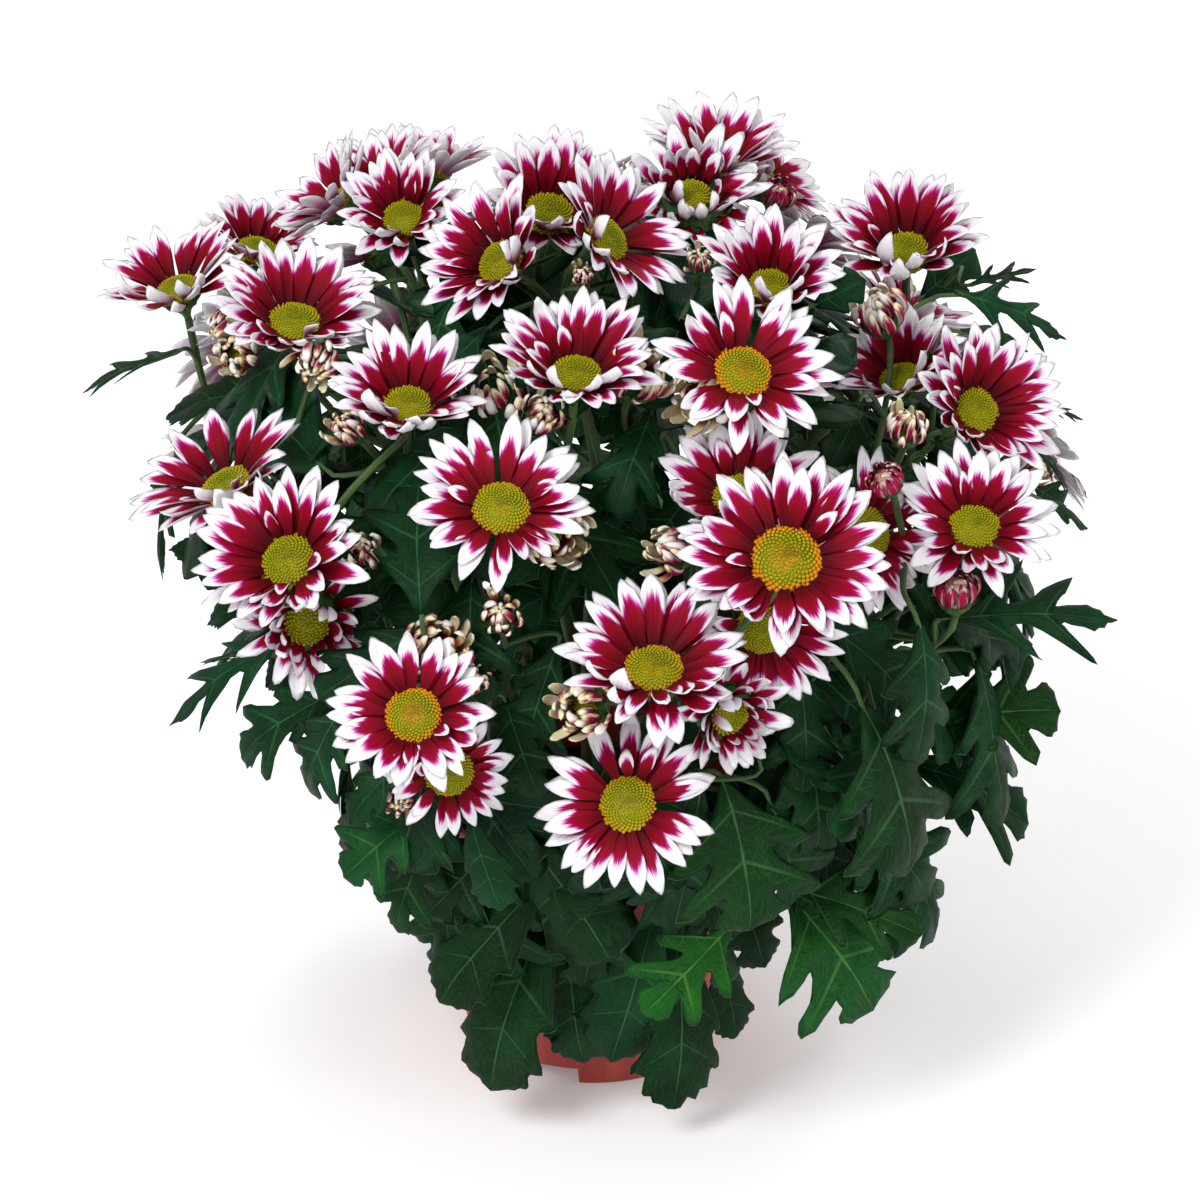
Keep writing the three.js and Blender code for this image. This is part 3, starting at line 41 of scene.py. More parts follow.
# ---- tables: everything below is in millimetres, in the CAD model's frame -------------------
# Heads: CAD node it stands for ("" for a bud that grows on a cutting), short name, kind,
# middle of the disc, axis, cup angle in degrees, radius to the tips, disc radius, cutting
HEADS = [
    ("flower_01", "F01", "o", -153.1, 29.4, 294.2, -0.22, -0.26, 0.94, 28, 33.4, 8.5, 3),
    ("flower_02", "F02", "o", -104.9, -39.8, 307.8, 0.1, -0.421, 0.902, 33, 34.5, 9.8, 1),
    ("flower_03", "F03", "o", -128.3, 83.6, 289.6, 0.2, -0.2, 0.959, 34, 28.5, 9, 3),
    ("flower_04", "F04", "o", -68, 0.4, 332.4, -0.149, -0.598, 0.787, 39, 29, 8, 0),
    ("flower_05", "F05", "o", -79.8, 102.1, 309.4, -0.197, -0.149, 0.969, 40, 31, 8.5, 3),
    ("flower_06", "F06", "o", -95.5, 64.8, 315.6, -0.734, -0.044, 0.678, 32, 30, 8.5, 3),
    ("flower_07", "F07", "o", -64.2, 143, 301.4, 0.223, 0.198, 0.954, 42, 30, 8.5, 3),
    ("flower_08", "F08", "o", -15.3, -16.5, 340, 0.12, -0.541, 0.832, 43, 36.5, 10, 0),
    ("flower_09", "F09", "o", -31.6, -50.1, 334.1, -0.55, -0.57, 0.61, 40, 34, 9, 0),
    ("flower_10", "F10", "o", 4.8, -46.2, 341.9, 0.646, -0.424, 0.635, 28, 33, 9, 0),
    ("flower_11", "F11", "o", 47.1, 67.9, 329.6, 0.08, -0.151, 0.985, 33, 35, 9, 4),
    ("flower_12", "F13", "o", 66.5, 107.4, 309.6, 0.804, -0.101, 0.586, 30, 31, 9, 4),
    ("flower_13", "F14", "o", 61.5, -58, 327.8, -0.02, -0.498, 0.867, 44, 33.5, 8.8, 2),
    ("flower_14", "F15", "o", 50.8, -113.6, 318.5, 0.18, -0.611, 0.771, 22, 34, 9.8, 2),
    ("flower_15", "F16", "o", 116.2, 39.2, 305.3, -0.08, -0.462, 0.883, 36, 36, 10, 4),
    ("flower_16", "F17", "o", 111.3, -21, 279, -0.33, -0.25, 0.91, 36, 31, 8.5, 2),
    ("flower_17", "F18", "o", 136.1, -44.8, 276.7, 0.39, -0.68, 0.62, 35, 35, 9, 2),
    ("flower_18", "F19", "o", -127.3, -82.8, 263.3, -0.42, -0.22, 0.88, 22, 37, 10, 1),
    ("flower_19", "F20", "o", -101.8, -135.8, 259.1, -0.35, -0.621, 0.701, 31, 35, 10, 1),
    ("flower_20", "F22", "o", -30.2, -141.2, 280.9, 0.02, -0.589, 0.808, 20, 33.4, 9.7, 1),
    ("flower_21", "F23", "o", 20.8, -167.8, 234, 0.04, -0.459, 0.888, 23, 34.5, 10, 2),
    ("flower_22", "F25", "o", 50.3, -101.7, 267.8, -0.11, -0.579, 0.808, 27, 33, 9, 2),
    ("flower_23", "F26", "o", 64.5, -155.1, 268.7, -0.04, -0.712, 0.702, 20, 37.5, 11.8, 2),
    ("flower_24", "F27", "o", 96.2, -84.7, 247, 0.539, -0.679, 0.499, 14, 30, 9, 2),
    ("flower_25", "F28", "o", 58.3, -132.2, 232.8, 0.02, -0.995, -0.1, 15, 29, 9.5, 2),
    ("flower_26", "F29", "o", 133.3, -87.8, 250.3, 0.03, -0.671, 0.741, 30, 33, 9, 2),
    ("flower_27", "F31", "o", -59.3, -168.6, 217.6, -0.1, -0.801, 0.591, 20, 30, 9.5, 1),
    ("flower_28", "F32", "o", -49.2, -135.6, 179.5, 0.201, -0.974, 0.101, 12, 23, 8.5, 1),
    ("flower_29", "F33", "o", 12.5, -150.4, 174.6, -0.2, -0.741, 0.641, 10, 32, 9.6, 2),
    ("flower_30", "F34", "o", -62.6, -97.4, 299.8, 0.05, -0.478, 0.877, 38, 34, 8.8, 1),
    ("flower_31", "F35", "o", -5.2, -103.5, 313.2, 0.06, -0.41, 0.91, 35, 34.4, 9.5, 1),
    ("half_open_01", "H12", "h", 36.4, 7.6, 339.2, 0.05, -0.622, 0.782, 55, 19, 6.2, 0),
    ("half_open_02", "H21", "h", -97.6, -122.1, 229.6, 0.034, -0.998, 0.06, 55, 17, 7.7, 1),
    ("half_open_03", "H24", "h", 46.8, -154, 210.3, 0.467, -0.884, -0.019, 55, 15, 6.8, 2),
    ("half_open_04", "H01", "h", -126.2, -30.5, 293.2, -0.227, -0.826, 0.516, 55, 9, 5, 1),
    ("half_open_05", "H06", "h", -32.4, -79.2, 295.7, -0.178, -0.488, 0.854, 55, 12, 5.4, 1),
    ("half_open_06", "H07", "h", -13, -128.6, 266.3, 0.443, -0.888, 0.123, 55, 12, 5.4, 1),
    ("half_open_07", "H09", "h", -52.2, -144.6, 230.9, 0.11, -0.633, 0.766, 55, 11, 5, 1),
    ("half_open_08", "H08", "h", -2.5, -156.2, 214, -0.489, -0.815, 0.31, 55, 10.5, 4.7, 1),
    ("", "H13", "b", 102.5, -28.2, 306.4, -0.293, -0.405, 0.866, 55, 10, 4.5, 2),
    ("half_open_09", "H14", "h", 16.5, -94.6, 309.3, 0.278, -0.578, 0.767, 55, 11, 5, 2),
    ("half_open_10", "H15", "h", 39, -95.6, 303.1, -0.492, -0.855, 0.162, 55, 11, 5, 2),
    ("", "B01", "b", -30.4, -146.6, 243.8, 0.024, -0.763, 0.646, 80, 7.3, 2.9, 1),
    ("", "B02", "b", -39.9, -143.4, 218.2, 0.028, -0.627, 0.778, 80, 5.4, 2.2, 1),
    ("", "B03", "b", -66.3, -130.3, 165.8, -0.099, -0.992, 0.074, 80, 6, 2.4, 1),
    ("", "B04", "b", 25.5, -119.3, 130.4, 0.044, -0.986, 0.159, 80, 5.4, 2.2, 2),
    ("", "B05", "b", 126.5, -99.9, 230.6, -0.062, -0.341, 0.938, 80, 8.6, 3.4, 2),
    ("", "B06", "b", 161, -15.8, 242.7, 0.533, -0.566, 0.629, 80, 6.8, 2.7, 2),
    ("", "B07", "b", 68.8, 54, 322.2, 0.32, -0.478, 0.818, 80, 7, 2.8, 4),
    ("", "B08", "b", -2.6, -57.5, 332.5, -0.102, -0.701, 0.706, 80, 4, 1.8, 0),
    ("", "B09", "b", 17.6, 38, 337.5, -0.069, -0.439, 0.896, 80, 5, 2, 0),
    ("", "B10", "b", 37.8, -46.3, 333.5, -0.023, -0.704, 0.71, 80, 5.4, 2.2, 0),
    ("", "B11", "b", -76.6, -123.4, 256.9, -0.159, -0.685, 0.712, 80, 6.8, 2.7, 1),
    ("", "B12", "b", -82.8, -95, 290.6, -0.406, -0.557, 0.725, 80, 7.2, 2.9, 1),
    ("", "B13", "b", -94.2, -78, 309.3, -0.113, -0.987, -0.113, 80, 8.6, 3.4, 1),
    ("", "B14", "b", -133.9, 8.1, 290.1, -0.513, -0.75, -0.418, 80, 6.6, 2.6, 1),
    ("", "B15", "b", 27.5, -132.8, 261.9, -0.554, -0.657, 0.512, 80, 9, 3.6, 2),
    ("", "B16", "b", 109.1, -78.4, 283, 0.032, -0.454, 0.89, 80, 7.6, 3, 2),
    ("", "B17", "b", 101.5, -95.5, 271, -0.315, -0.6, 0.736, 80, 7.2, 2.9, 2),
    ("", "B18", "b", -17.3, -93.7, 294.9, 0.279, -0.657, 0.701, 80, 8.2, 3.3, 1),
    ("flower_32", "K01", "o", 165.5, 33.2, 230.9, 0.866, 0.228, 0.444, 15.2, 34, 9.2, 4),
    ("flower_33", "K02", "o", 131.9, 90.1, 243.9, 0.658, 0.436, 0.614, 23.5, 35, 9.2, 4),
    ("flower_34", "K03", "o", 78.7, 139.2, 221.2, 0.376, 0.793, 0.479, 15.9, 34, 9.2, 4),
    ("flower_35", "K04", "o", 5.7, 154.5, 249.3, 0.041, 0.778, 0.627, 19.7, 36, 9.2, 4),
    ("flower_36", "K05", "o", -73.2, 141.2, 225.8, -0.546, 0.804, 0.236, 25.8, 34, 9.2, 3),
    ("flower_37", "K06", "o", -135.9, 100.6, 246.9, -0.795, 0.533, 0.291, 12.6, 35, 9.2, 3),
    ("flower_38", "K07", "o", -140, 78, 214, -0.621, 0.451, 0.641, 30, 32, 9.2, 3),
    ("flower_39", "K08", "o", 78.8, 87.8, 290.4, 0.377, 0.496, 0.782, 15.5, 34, 9.2, 4),
    ("flower_40", "K09", "o", -4.2, 113.6, 303.7, -0.003, 0.469, 0.883, 14.8, 35, 9.2, 3),
    ("flower_41", "K10", "o", -81.4, 84.4, 289.4, -0.392, 0.327, 0.86, 14.2, 34, 9.2, 3),
    ("flower_42", "K11", "o", 116.9, 39.5, 278.9, 0.503, 0.115, 0.856, 23.9, 33, 9.2, 4),
    ("flower_43", "K12", "o", -121, 41, 276.8, -0.55, 0.493, 0.674, 19.6, 34, 9.2, 3),
    ("", "L01", "b", 35.9, 135.3, 268.4, 0.156, 0.564, 0.81, 75, 9.5, 3.8, 4),
    ("", "L02", "b", -35.9, 135.4, 274, -0.09, 0.6, 0.795, 75, 9, 3.6, 3),
    ("", "L04", "b", 115.7, 73, 273.7, 0.466, 0.395, 0.792, 75, 8.5, 3.4, 4),
    ("", "L05", "b", -75.5, 123, 269.9, -0.402, 0.638, 0.657, 75, 7, 2.8, 3),
    ("", "L06", "b", 72, 127.4, 265.7, 0.381, 0.6, 0.704, 75, 7, 2.8, 4),
    ("", "L07", "b", 5.8, 157.5, 202.8, 0.008, 0.939, 0.344, 75, 7, 2.8, 4),
    ("", "L08", "b", -129.5, 47.5, 257.5, -0.759, 0.05, 0.649, 75, 7.5, 3, 3),
    ("", "L09", "b", 152, 20.1, 265.7, 0.598, 0.07, 0.799, 75, 7, 2.8, 4),
]
# Stems: cutting, kind (m main, s shoot, k flower stalk), radii at both ends, four control points of a cubic
STEMS = [
    (0, "m", 4.6, 3.6, 0, 6, 79, 0, 6, 109, -0.6, 0.5, 133, -0.6, 0.5, 158),
    (0, "s", 3, 2.3, -0.3, 3.4, 118.5, -6.1, 3.7, 169.9, -16.9, 4.2, 195.9, -23.5, 4.5, 232.6),
    (0, "k", 1.5, 1.42, -23.1, 4.5, 230.3, -24.4, 11.9, 279.1, -20.1, 5.1, 306.6, -16.9, -9.3, 328.9),
    (0, "k", 1.5, 1.42, -23.1, 4.5, 230.3, -54.9, 19.1, 273.8, -62.5, 24.3, 300.3, -66, 8.3, 321.9),
    (0, "s", 3, 2.3, -0.3, 3.4, 118.5, -3.8, -1.5, 173.1, 2.2, -17.7, 201.8, 2.7, -25.5, 239.7),
    (0, "k", 1.25, 1.19, 2.6, -25, 237.3, 0.8, -25.7, 280.2, 0.8, -34.8, 307.1, -2, -53.1, 328.1),
    (0, "k", 1.5, 1.42, 2.6, -25, 237.3, 10, -40.3, 253.3, -23.1, -29, 313.8, -3.8, -40.6, 333.4),
    (0, "k", 1.25, 1.19, 2.6, -25, 237.3, 25.8, -20.5, 305.8, 36.9, -23.2, 307, 37.9, -40.9, 328),
    (0, "k", 1.5, 1.42, 2.6, -25, 237.3, -6.8, -23.5, 292.1, -6.4, -24.2, 306.7, -24.3, -42.5, 326),
    (0, "s", 3, 2.3, -0.5, 1.4, 138.2, -1.3, 2.6, 200, 7.3, 12.1, 212.9, 11.9, 16.7, 247),
    (0, "k", 1.25, 1.19, 11.5, 16.4, 244.6, 21.6, 30.7, 296.5, 34.3, 34.6, 305, 35.3, 20.8, 322.6),
    (0, "k", 1.25, 1.19, 11.5, 16.4, 244.6, 11, 39.3, 291.5, 20.4, 50.8, 303.2, 18.1, 41.2, 330.9),
    (1, "m", 4.6, 3.6, -27, -24, 79, -27, -24, 109, -37.1, -45, 133, -37.1, -45, 158),
    (1, "s", 3, 2.3, -31.7, -33.8, 118.7, -43.4, -28.8, 169.5, -67.3, -27.3, 183.4, -81.3, -23.9, 215.6),
    (1, "k", 1.5, 1.42, -80.3, -24.1, 213.4, -101, -27.1, 255.4, -107.9, -25, 276.6, -106.2, -34.2, 295.8),
    (1, "k", 1.25, 1.19, -104.6, -27.9, 274.1, -96.7, 13.7, 270.2, -116.8, 4.7, 276.4, -123.6, -21.2, 287.4),
    (1, "k", 1.25, 1.19, -106.7, 0.4, 274.3, -114.6, 5.5, 281.1, -122.5, 10.5, 287.9, -129.3, 14.8, 293.8),
    (1, "s", 3, 2.3, -37.1, -45, 155, -27, -54.5, 192.7, -30.3, -59.8, 205.5, -27.3, -66.3, 231.2),
    (1, "k", 1.25, 1.19, -27.5, -65.7, 228.9, -30.7, -62.8, 252.6, -24.9, -60.7, 260.9, -29.8, -72.2, 283.5),
    (1, "k", 1.25, 1.19, -27.5, -65.7, 228.9, -24.6, -72, 254.1, -24.9, -75.8, 275.8, -20.3, -86.8, 287.6),
    (1, "k", 1.5, 1.42, -27.5, -65.7, 228.9, -19.6, -73.6, 253.3, -7.7, -81.6, 266.3, -6, -98, 301.1),
    (1, "s", 3, 2.3, -35.3, -41.2, 137.8, -42.9, -55.5, 145.6, -45.5, -72.5, 148.1, -49.2, -85.5, 157.5),
    (1, "k", 1.25, 1.19, -48.7, -83.6, 156.2, -63.3, -103.1, 164.2, -64, -113.2, 164.8, -65.5, -122.1, 165.2),
    (1, "k", 1.5, 1.42, -48.7, -83.6, 156.2, -53.5, -100.5, 168.4, -54.8, -108.5, 176.7, -51.9, -122.6, 178.2),
    (1, "s", 3, 2.3, -35.3, -41.2, 137.8, -38.6, -63.7, 172, -30.7, -75.4, 189, -29, -88.6, 213.7),
    (1, "k", 1.25, 1.19, -29.2, -87.5, 211.6, -30.3, -97.4, 241, -29.6, -97.4, 260.8, -19.3, -115.9, 264.5),
    (1, "k", 1.5, 1.42, -29.2, -87.5, 211.6, -29.8, -108.3, 241, -30.9, -115.9, 246.7, -30.5, -133.4, 270.1),
    (1, "s", 3, 2.3, -35.3, -41.2, 137.8, -40.9, -51, 179.2, -50.7, -57.7, 197.3, -57.7, -64.4, 226.3),
    (1, "k", 1.25, 1.19, -57.1, -63.9, 224, -63.8, -70.2, 251.8, -69.1, -76.2, 266.2, -78.9, -89.7, 283.8),
    (1, "k", 1.5, 1.42, -57.1, -63.9, 224, -62.2, -68.7, 245.4, -64.6, -81.2, 269.9, -63.3, -91, 288.1),
    (1, "k", 1.25, 1.19, -89.5, -25.2, 232.6, -139.9, -55.6, 194.5, -91.2, -52.7, 307.9, -93, -67.2, 310.5),
    (1, "s", 3, 2.3, -31.7, -33.8, 118.7, -30.9, -55.7, 143.7, -23.6, -78.7, 157.9, -20.7, -96.1, 178.7),
    (1, "k", 1.25, 1.19, -20.9, -94.5, 176.9, -15.9, -114.6, 209.2, 15.1, -126.3, 205.5, 3.7, -145.7, 210.1),
    (1, "k", 1.25, 1.19, -20.9, -94.5, 176.9, -23.5, -109.7, 194.1, -30.6, -117.2, 218, -30.6, -139.2, 237.5),
    (1, "s", 3, 2.3, -31.7, -33.8, 118.7, -32.3, -52.5, 151.2, -39.4, -79.3, 155.5, -42.4, -97, 174.8),
    (1, "k", 1.25, 1.19, -42.2, -95.3, 173, -43.9, -112.7, 196.6, -39.4, -123.7, 201.2, -40.1, -138.6, 212.3),
    (1, "k", 1.25, 1.19, -42.2, -95.3, 173, -52.4, -111.3, 190.3, -54.9, -124.3, 205.4, -53.6, -136.2, 220.7),
    (1, "k", 1.5, 1.42, -53.6, -134.7, 218.8, -53.2, -139.2, 212, -56.7, -148, 202.9, -58, -157.9, 209.8),
    (1, "s", 3, 2.3, -35.3, -41.2, 137.8, -53.3, -48.2, 164.2, -60.5, -69.7, 179.2, -70.6, -80.1, 200.4),
    (1, "k", 1.25, 1.19, -69.7, -79.2, 198.4, -83.7, -84.6, 209.9, -96.7, -84.3, 227.7, -98.2, -102.8, 228.4),
    (1, "k", 1.25, 1.19, -69.7, -79.2, 198.4, -73.6, -90.4, 223.2, -71.9, -104.5, 237.3, -75.2, -117.2, 250.4),
    (1, "k", 1.5, 1.42, -69.7, -79.2, 198.4, -79.6, -78.8, 211, -108.8, -72.9, 225, -121.7, -79.9, 251.6),
    (1, "k", 1.5, 1.42, -63.2, -89.9, 286.1, -104.9, -104.1, 253.6, -94.5, -122, 244.3, -97.1, -127.5, 249.8),
    (2, "m", 4.6, 3.6, 28, -22, 79, 28, -22, 109, 40.9, -40.8, 133, 40.9, -40.8, 158),
    (2, "s", 3, 2.3, 38.6, -37.4, 137.8, 36.7, -47.6, 158.9, 33.8, -79.9, 155.3, 31.6, -97.3, 169.3),
    (2, "k", 1.5, 1.42, 31.9, -95.5, 167.8, 27.8, -111.3, 168.5, 18.9, -127.5, 155.1, 15.2, -140.5, 166.1),
    (2, "k", 1.25, 1.19, 37, -48.6, 149.6, 24.8, -101.3, 195.2, 27.7, -115, 210.3, 38.7, -138.7, 210.6),
    (2, "k", 1.5, 1.42, 29.9, -112.7, 202.7, 28.2, -147.5, 213.3, 20.1, -156.8, 213.2, 20.3, -161.7, 222.2),
    (2, "s", 3, 2.3, 40.9, -40.8, 155, 42.4, -52.1, 179.5, 45.4, -73.1, 190, 47.1, -85.9, 209.5),
    (2, "k", 1.5, 1.42, 47, -84.6, 207.5, 48.7, -97, 226.4, 57.6, -102, 235.7, 58, -119, 234.1),
    (2, "k", 1.5, 1.42, 47, -84.6, 207.5, 52.6, -87.7, 227.6, 53.4, -86, 245.8, 51.8, -94, 257.1),
    (2, "k", 1.25, 1.19, 32.6, -69, 167.4, 38.2, -102.3, 198.3, 44.3, -111.9, 242.2, 33.7, -125.3, 256.1),
    (2, "k", 1.5, 1.42, 23.5, -150.9, 213.9, 49.6, -137.1, 233.9, 65.4, -135.2, 248.6, 65, -145.6, 259.4),
    (2, "s", 3, 2.3, 38.6, -37.4, 137.8, 36.6, -48, 135.6, 33, -68, 130.2, 30.9, -79.9, 132.9),
    (2, "k", 1.25, 1.19, 31.3, -77.6, 132.4, 28.8, -88.2, 129.9, 24.2, -98.2, 127.8, 25.2, -111.7, 129.2),
    (2, "s", 3, 2.3, 40.9, -40.8, 155, 50.7, -43.4, 179.4, 78.4, -35.2, 193.1, 93.2, -32.3, 213.6),
    (2, "k", 1.5, 1.42, 91.8, -32.6, 211.6, 104.1, -30.2, 228.6, 122.5, -13.7, 245.1, 115.7, -17.7, 266.9),
    (2, "k", 1.5, 1.42, 91.8, -32.6, 211.6, 106.1, -23.7, 233.6, 120.9, -19.1, 253.8, 130.9, -35.8, 268.4),
    (2, "k", 1.25, 1.19, 91.8, -32.6, 211.6, 121.8, -2.2, 227.4, 146.4, -0.4, 222.6, 156.2, -10.6, 236.9),
    (2, "s", 3, 2.3, 34, -30.8, 118.7, 41.9, -33.6, 146.7, 69.1, -53.4, 162.6, 83.5, -62.8, 185.8),
    (2, "k", 1.25, 1.19, 82.3, -62, 183.9, 95.9, -76, 189.8, 126.9, -89.3, 200, 127.2, -96.2, 220.4),
    (2, "k", 1.5, 1.42, 82.3, -62, 183.9, 106.7, -62.1, 212.6, 131.8, -61.9, 221.8, 132.9, -78.9, 240.4),
    (2, "k", 1.25, 1.19, 64.7, -38.7, 185.3, 116.3, -42.7, 180.3, 120, -56.4, 201.8, 104.5, -89.8, 264),
    (2, "s", 3, 2.3, 34, -30.8, 118.7, 34.6, -37, 168.9, 36.2, -54.4, 193.1, 37.6, -62.6, 227.1),
    (2, "k", 1.25, 1.19, 37.5, -62.1, 224.7, 55.6, -70.3, 268.4, 60.9, -59.2, 294.9, 45.6, -84.3, 300.9),
    (2, "k", 1.25, 1.19, 37.5, -62.1, 224.7, 18.3, -71.4, 272.5, 6.7, -75.3, 278.5, 12.8, -86.9, 299.1),
    (2, "k", 1.5, 1.42, 54.4, -68.9, 287.8, 61.9, -93.4, 310.4, 46.4, -93.4, 294.3, 48.4, -105.5, 308.2),
    (2, "k", 1.5, 1.42, 37.5, -62.1, 224.7, 61.1, -53.4, 275.6, 62.1, -38.1, 292, 61.8, -51.4, 316.3),
    (2, "s", 3, 2.3, 34, -30.8, 118.7, 44.2, -42.5, 160.9, 59.5, -42, 177.6, 70.2, -46.2, 205.8),
    (2, "k", 1.5, 1.42, 69.4, -45.9, 203.6, 73.4, -51.1, 221, 78, -61.6, 230.3, 89, -75.7, 240.4),
    (2, "k", 1.25, 1.19, 69.4, -45.9, 203.6, 72.5, -36, 256.2, 106.4, -49.3, 241.6, 108.8, -73.9, 274.2),
    (2, "k", 1.25, 1.19, 69.3, -46, 203.7, 97.8, -85, 232.3, 110.3, -20.6, 287.9, 106.1, -23.2, 295.7),
    (3, "m", 4.6, 3.6, -25, 30, 79, -25, 30, 109, -44, 45.1, 133, -44, 45.1, 158),
    (3, "s", 3, 2.3, -40.5, 42.4, 137.7, -53.5, 33.6, 171.5, -81.3, 34.9, 178.3, -98.6, 32.8, 200.6),
    (3, "k", 1.5, 1.42, -97.2, 33, 198.7, -126.1, 26.2, 211.1, -116.7, 63.3, 193.1, -131.7, 72, 205.5),
    (3, "k", 1.25, 1.19, -97.2, 33, 198.7, -118.4, 30.4, 225.8, -113.9, 35.8, 237.6, -122.1, 47, 251.1),
    (3, "k", 1.5, 1.42, -123.6, 58.5, 201.1, -143.1, 47.3, 226.1, -146, 44.7, 240, -150.2, 32.9, 281.7),
    (3, "s", 3, 2.3, -40.5, 42.4, 137.7, -52.6, 38.6, 178.8, -62.9, 51.4, 193.1, -71.1, 54.2, 220.5),
    (3, "k", 1.5, 1.42, -70.4, 54, 218.2, -68, 58.8, 232.4, -66.8, 70.7, 255.1, -76.2, 80.1, 277.9),
    (3, "k", 1.5, 1.42, -70.4, 54, 218.2, -91.6, 41.1, 230.7, -99, 21.8, 249.2, -113.6, 34.4, 267.8),
    (3, "k", 1.5, 1.42, -70.4, 54, 218.2, -63.7, 20.8, 272.1, -53.3, 65.7, 276.1, -85.7, 65.4, 306.6),
    (3, "s", 3, 2.3, -40.5, 42.4, 137.7, -36.7, 58.6, 175.7, -31, 71.5, 187.6, -27.7, 83.6, 214.1),
    (3, "k", 1.25, 1.19, -27.9, 82.6, 211.9, -28.3, 92.7, 227.1, -33.1, 117.8, 249.7, -34.9, 128.6, 265),
    (3, "k", 1.5, 1.42, -27.9, 82.6, 211.9, -18, 91.7, 239.4, -4, 90.1, 259, -4.2, 107.3, 291.9),
    (3, "s", 3, 2.3, -44, 45.1, 155, -47.3, 56.7, 180.7, -53.5, 78.1, 191.5, -57.4, 91.6, 212),
    (3, "k", 1.5, 1.42, -57, 90.3, 210.1, -60.1, 99.2, 215.5, -57.7, 116.3, 217.5, -66, 130.5, 222.7),
    (3, "k", 1.25, 1.19, -57, 90.3, 210.1, -64.2, 102.7, 232.4, -64, 104, 249.7, -71.8, 117, 263.7),
    (3, "k", 1.5, 1.42, -57, 90.3, 210.1, -63.6, 118.6, 242.9, -72.4, 135.1, 264.4, -67.2, 140.4, 288.7),
    (3, "s", 3, 2.3, -44, 45.1, 155, -53.7, 51.6, 184.6, -72.8, 66.7, 199.3, -83.4, 74.7, 222),
    (3, "k", 1.5, 1.42, -82.5, 74, 220, -95.8, 81.1, 232.4, -104.1, 81.8, 236.3, -125.4, 93.5, 243.1),
    (3, "k", 1.5, 1.42, -82.5, 74, 220, -106.8, 81.3, 238.1, -134.9, 91.8, 249.9, -131, 86.3, 276.8),
    (3, "k", 1.5, 1.42, -67, 43.5, 240.9, -40.4, 87.9, 216.6, -65.4, 112.3, 243.7, -77.2, 104.1, 296.5),
    (4, "m", 4.6, 3.6, 27, 31, 79, 27, 31, 109, 41.7, 46.1, 133, 41.7, 46.1, 158),
    (4, "s", 3, 2.3, 41.7, 46.1, 155, 37.1, 62.7, 173.3, 27.6, 88.3, 176.8, 21.8, 104.4, 191.2),
    (4, "k", 1.25, 1.19, 22.4, 102.7, 189.7, 16.6, 122.1, 196.5, 6.7, 136.7, 195.3, 5.8, 148.8, 199.6),
    (4, "k", 1.5, 1.42, 22.4, 102.7, 189.7, 11.8, 114.9, 206.2, 5, 118.7, 221.9, 5.2, 144.1, 241),
    (4, "s", 3, 2.3, 33.9, 38, 118.7, 33.7, 46.5, 151.4, 43, 75.3, 164.8, 47, 89.4, 188.9),
    (4, "k", 1.5, 1.42, 46.7, 88.2, 186.9, 56.4, 97.9, 198.7, 64.4, 108.5, 204.2, 73.7, 128.6, 214.8),
    (4, "k", 1.25, 1.19, 46.7, 88.2, 186.9, 55.2, 99.2, 211.6, 56.9, 102.8, 236.1, 68.5, 121.9, 259.1),
    (4, "k", 1.25, 1.19, 46.7, 88.2, 186.9, 44.4, 113.9, 224.4, 31.5, 114.5, 238.3, 34.1, 128.6, 258.8),
    (4, "s", 3, 2.3, 33.9, 38, 118.7, 34.1, 42.3, 158.5, 42.9, 54.7, 188.7, 47.2, 61.2, 222.2),
    (4, "k", 1.5, 1.42, 46.9, 60.8, 219.9, 57.5, 65.8, 239.7, 65.3, 69.5, 262.3, 73.8, 81.2, 280),
    (4, "k", 1.5, 1.42, 40.7, 109.1, 221.7, 7.5, 136.3, 289.3, 36.9, 111.4, 288, 55.8, 108.7, 301.8),
    (4, "k", 1.25, 1.19, 46.9, 60.8, 219.9, 52.3, 62.9, 275.3, 56.9, 71.1, 289.4, 65.8, 58.5, 314.6),
    (4, "k", 1.5, 1.42, 46.9, 60.8, 219.9, 44.2, 66, 273, 43.7, 74.2, 279, 46, 69.9, 316.5),
    (4, "s", 3, 2.3, 33.9, 38, 118.7, 51.1, 39.8, 150.4, 76.7, 42.4, 165.7, 93.9, 43.5, 189.1),
    (4, "k", 1.5, 1.42, 92.5, 43.4, 187.2, 109.4, 56.5, 211.2, 106.1, 71.1, 217.8, 123.1, 84.3, 235.8),
    (4, "k", 1.5, 1.42, 92.5, 43.4, 187.2, 112.7, 32.3, 200.5, 127.4, 22, 211.1, 154, 30.1, 225),
    (4, "k", 1.25, 1.19, 92.5, 43.4, 187.2, 111.8, 36.5, 218.6, 126.4, 18.7, 231.2, 146.4, 19.4, 258.3),
    (4, "s", 3, 2.3, 41.7, 46.1, 155, 51.9, 46.7, 186.3, 71.3, 48, 201.2, 82.7, 48.7, 224.5),
    (4, "k", 1.5, 1.42, 81.7, 48.6, 222.3, 97.6, 38.8, 245.6, 97.5, 36.9, 245.9, 110.2, 38, 267.5),
    (4, "k", 1.25, 1.19, 81.7, 48.6, 222.3, 90.2, 53.8, 235.2, 103.9, 63.6, 254.7, 110.7, 68.7, 265.1),
    (4, "k", 1.5, 1.42, 56.5, 102.1, 223.9, 98.3, 97.3, 230.8, 124.3, 82.5, 217.6, 117.3, 45.3, 293.6),
]
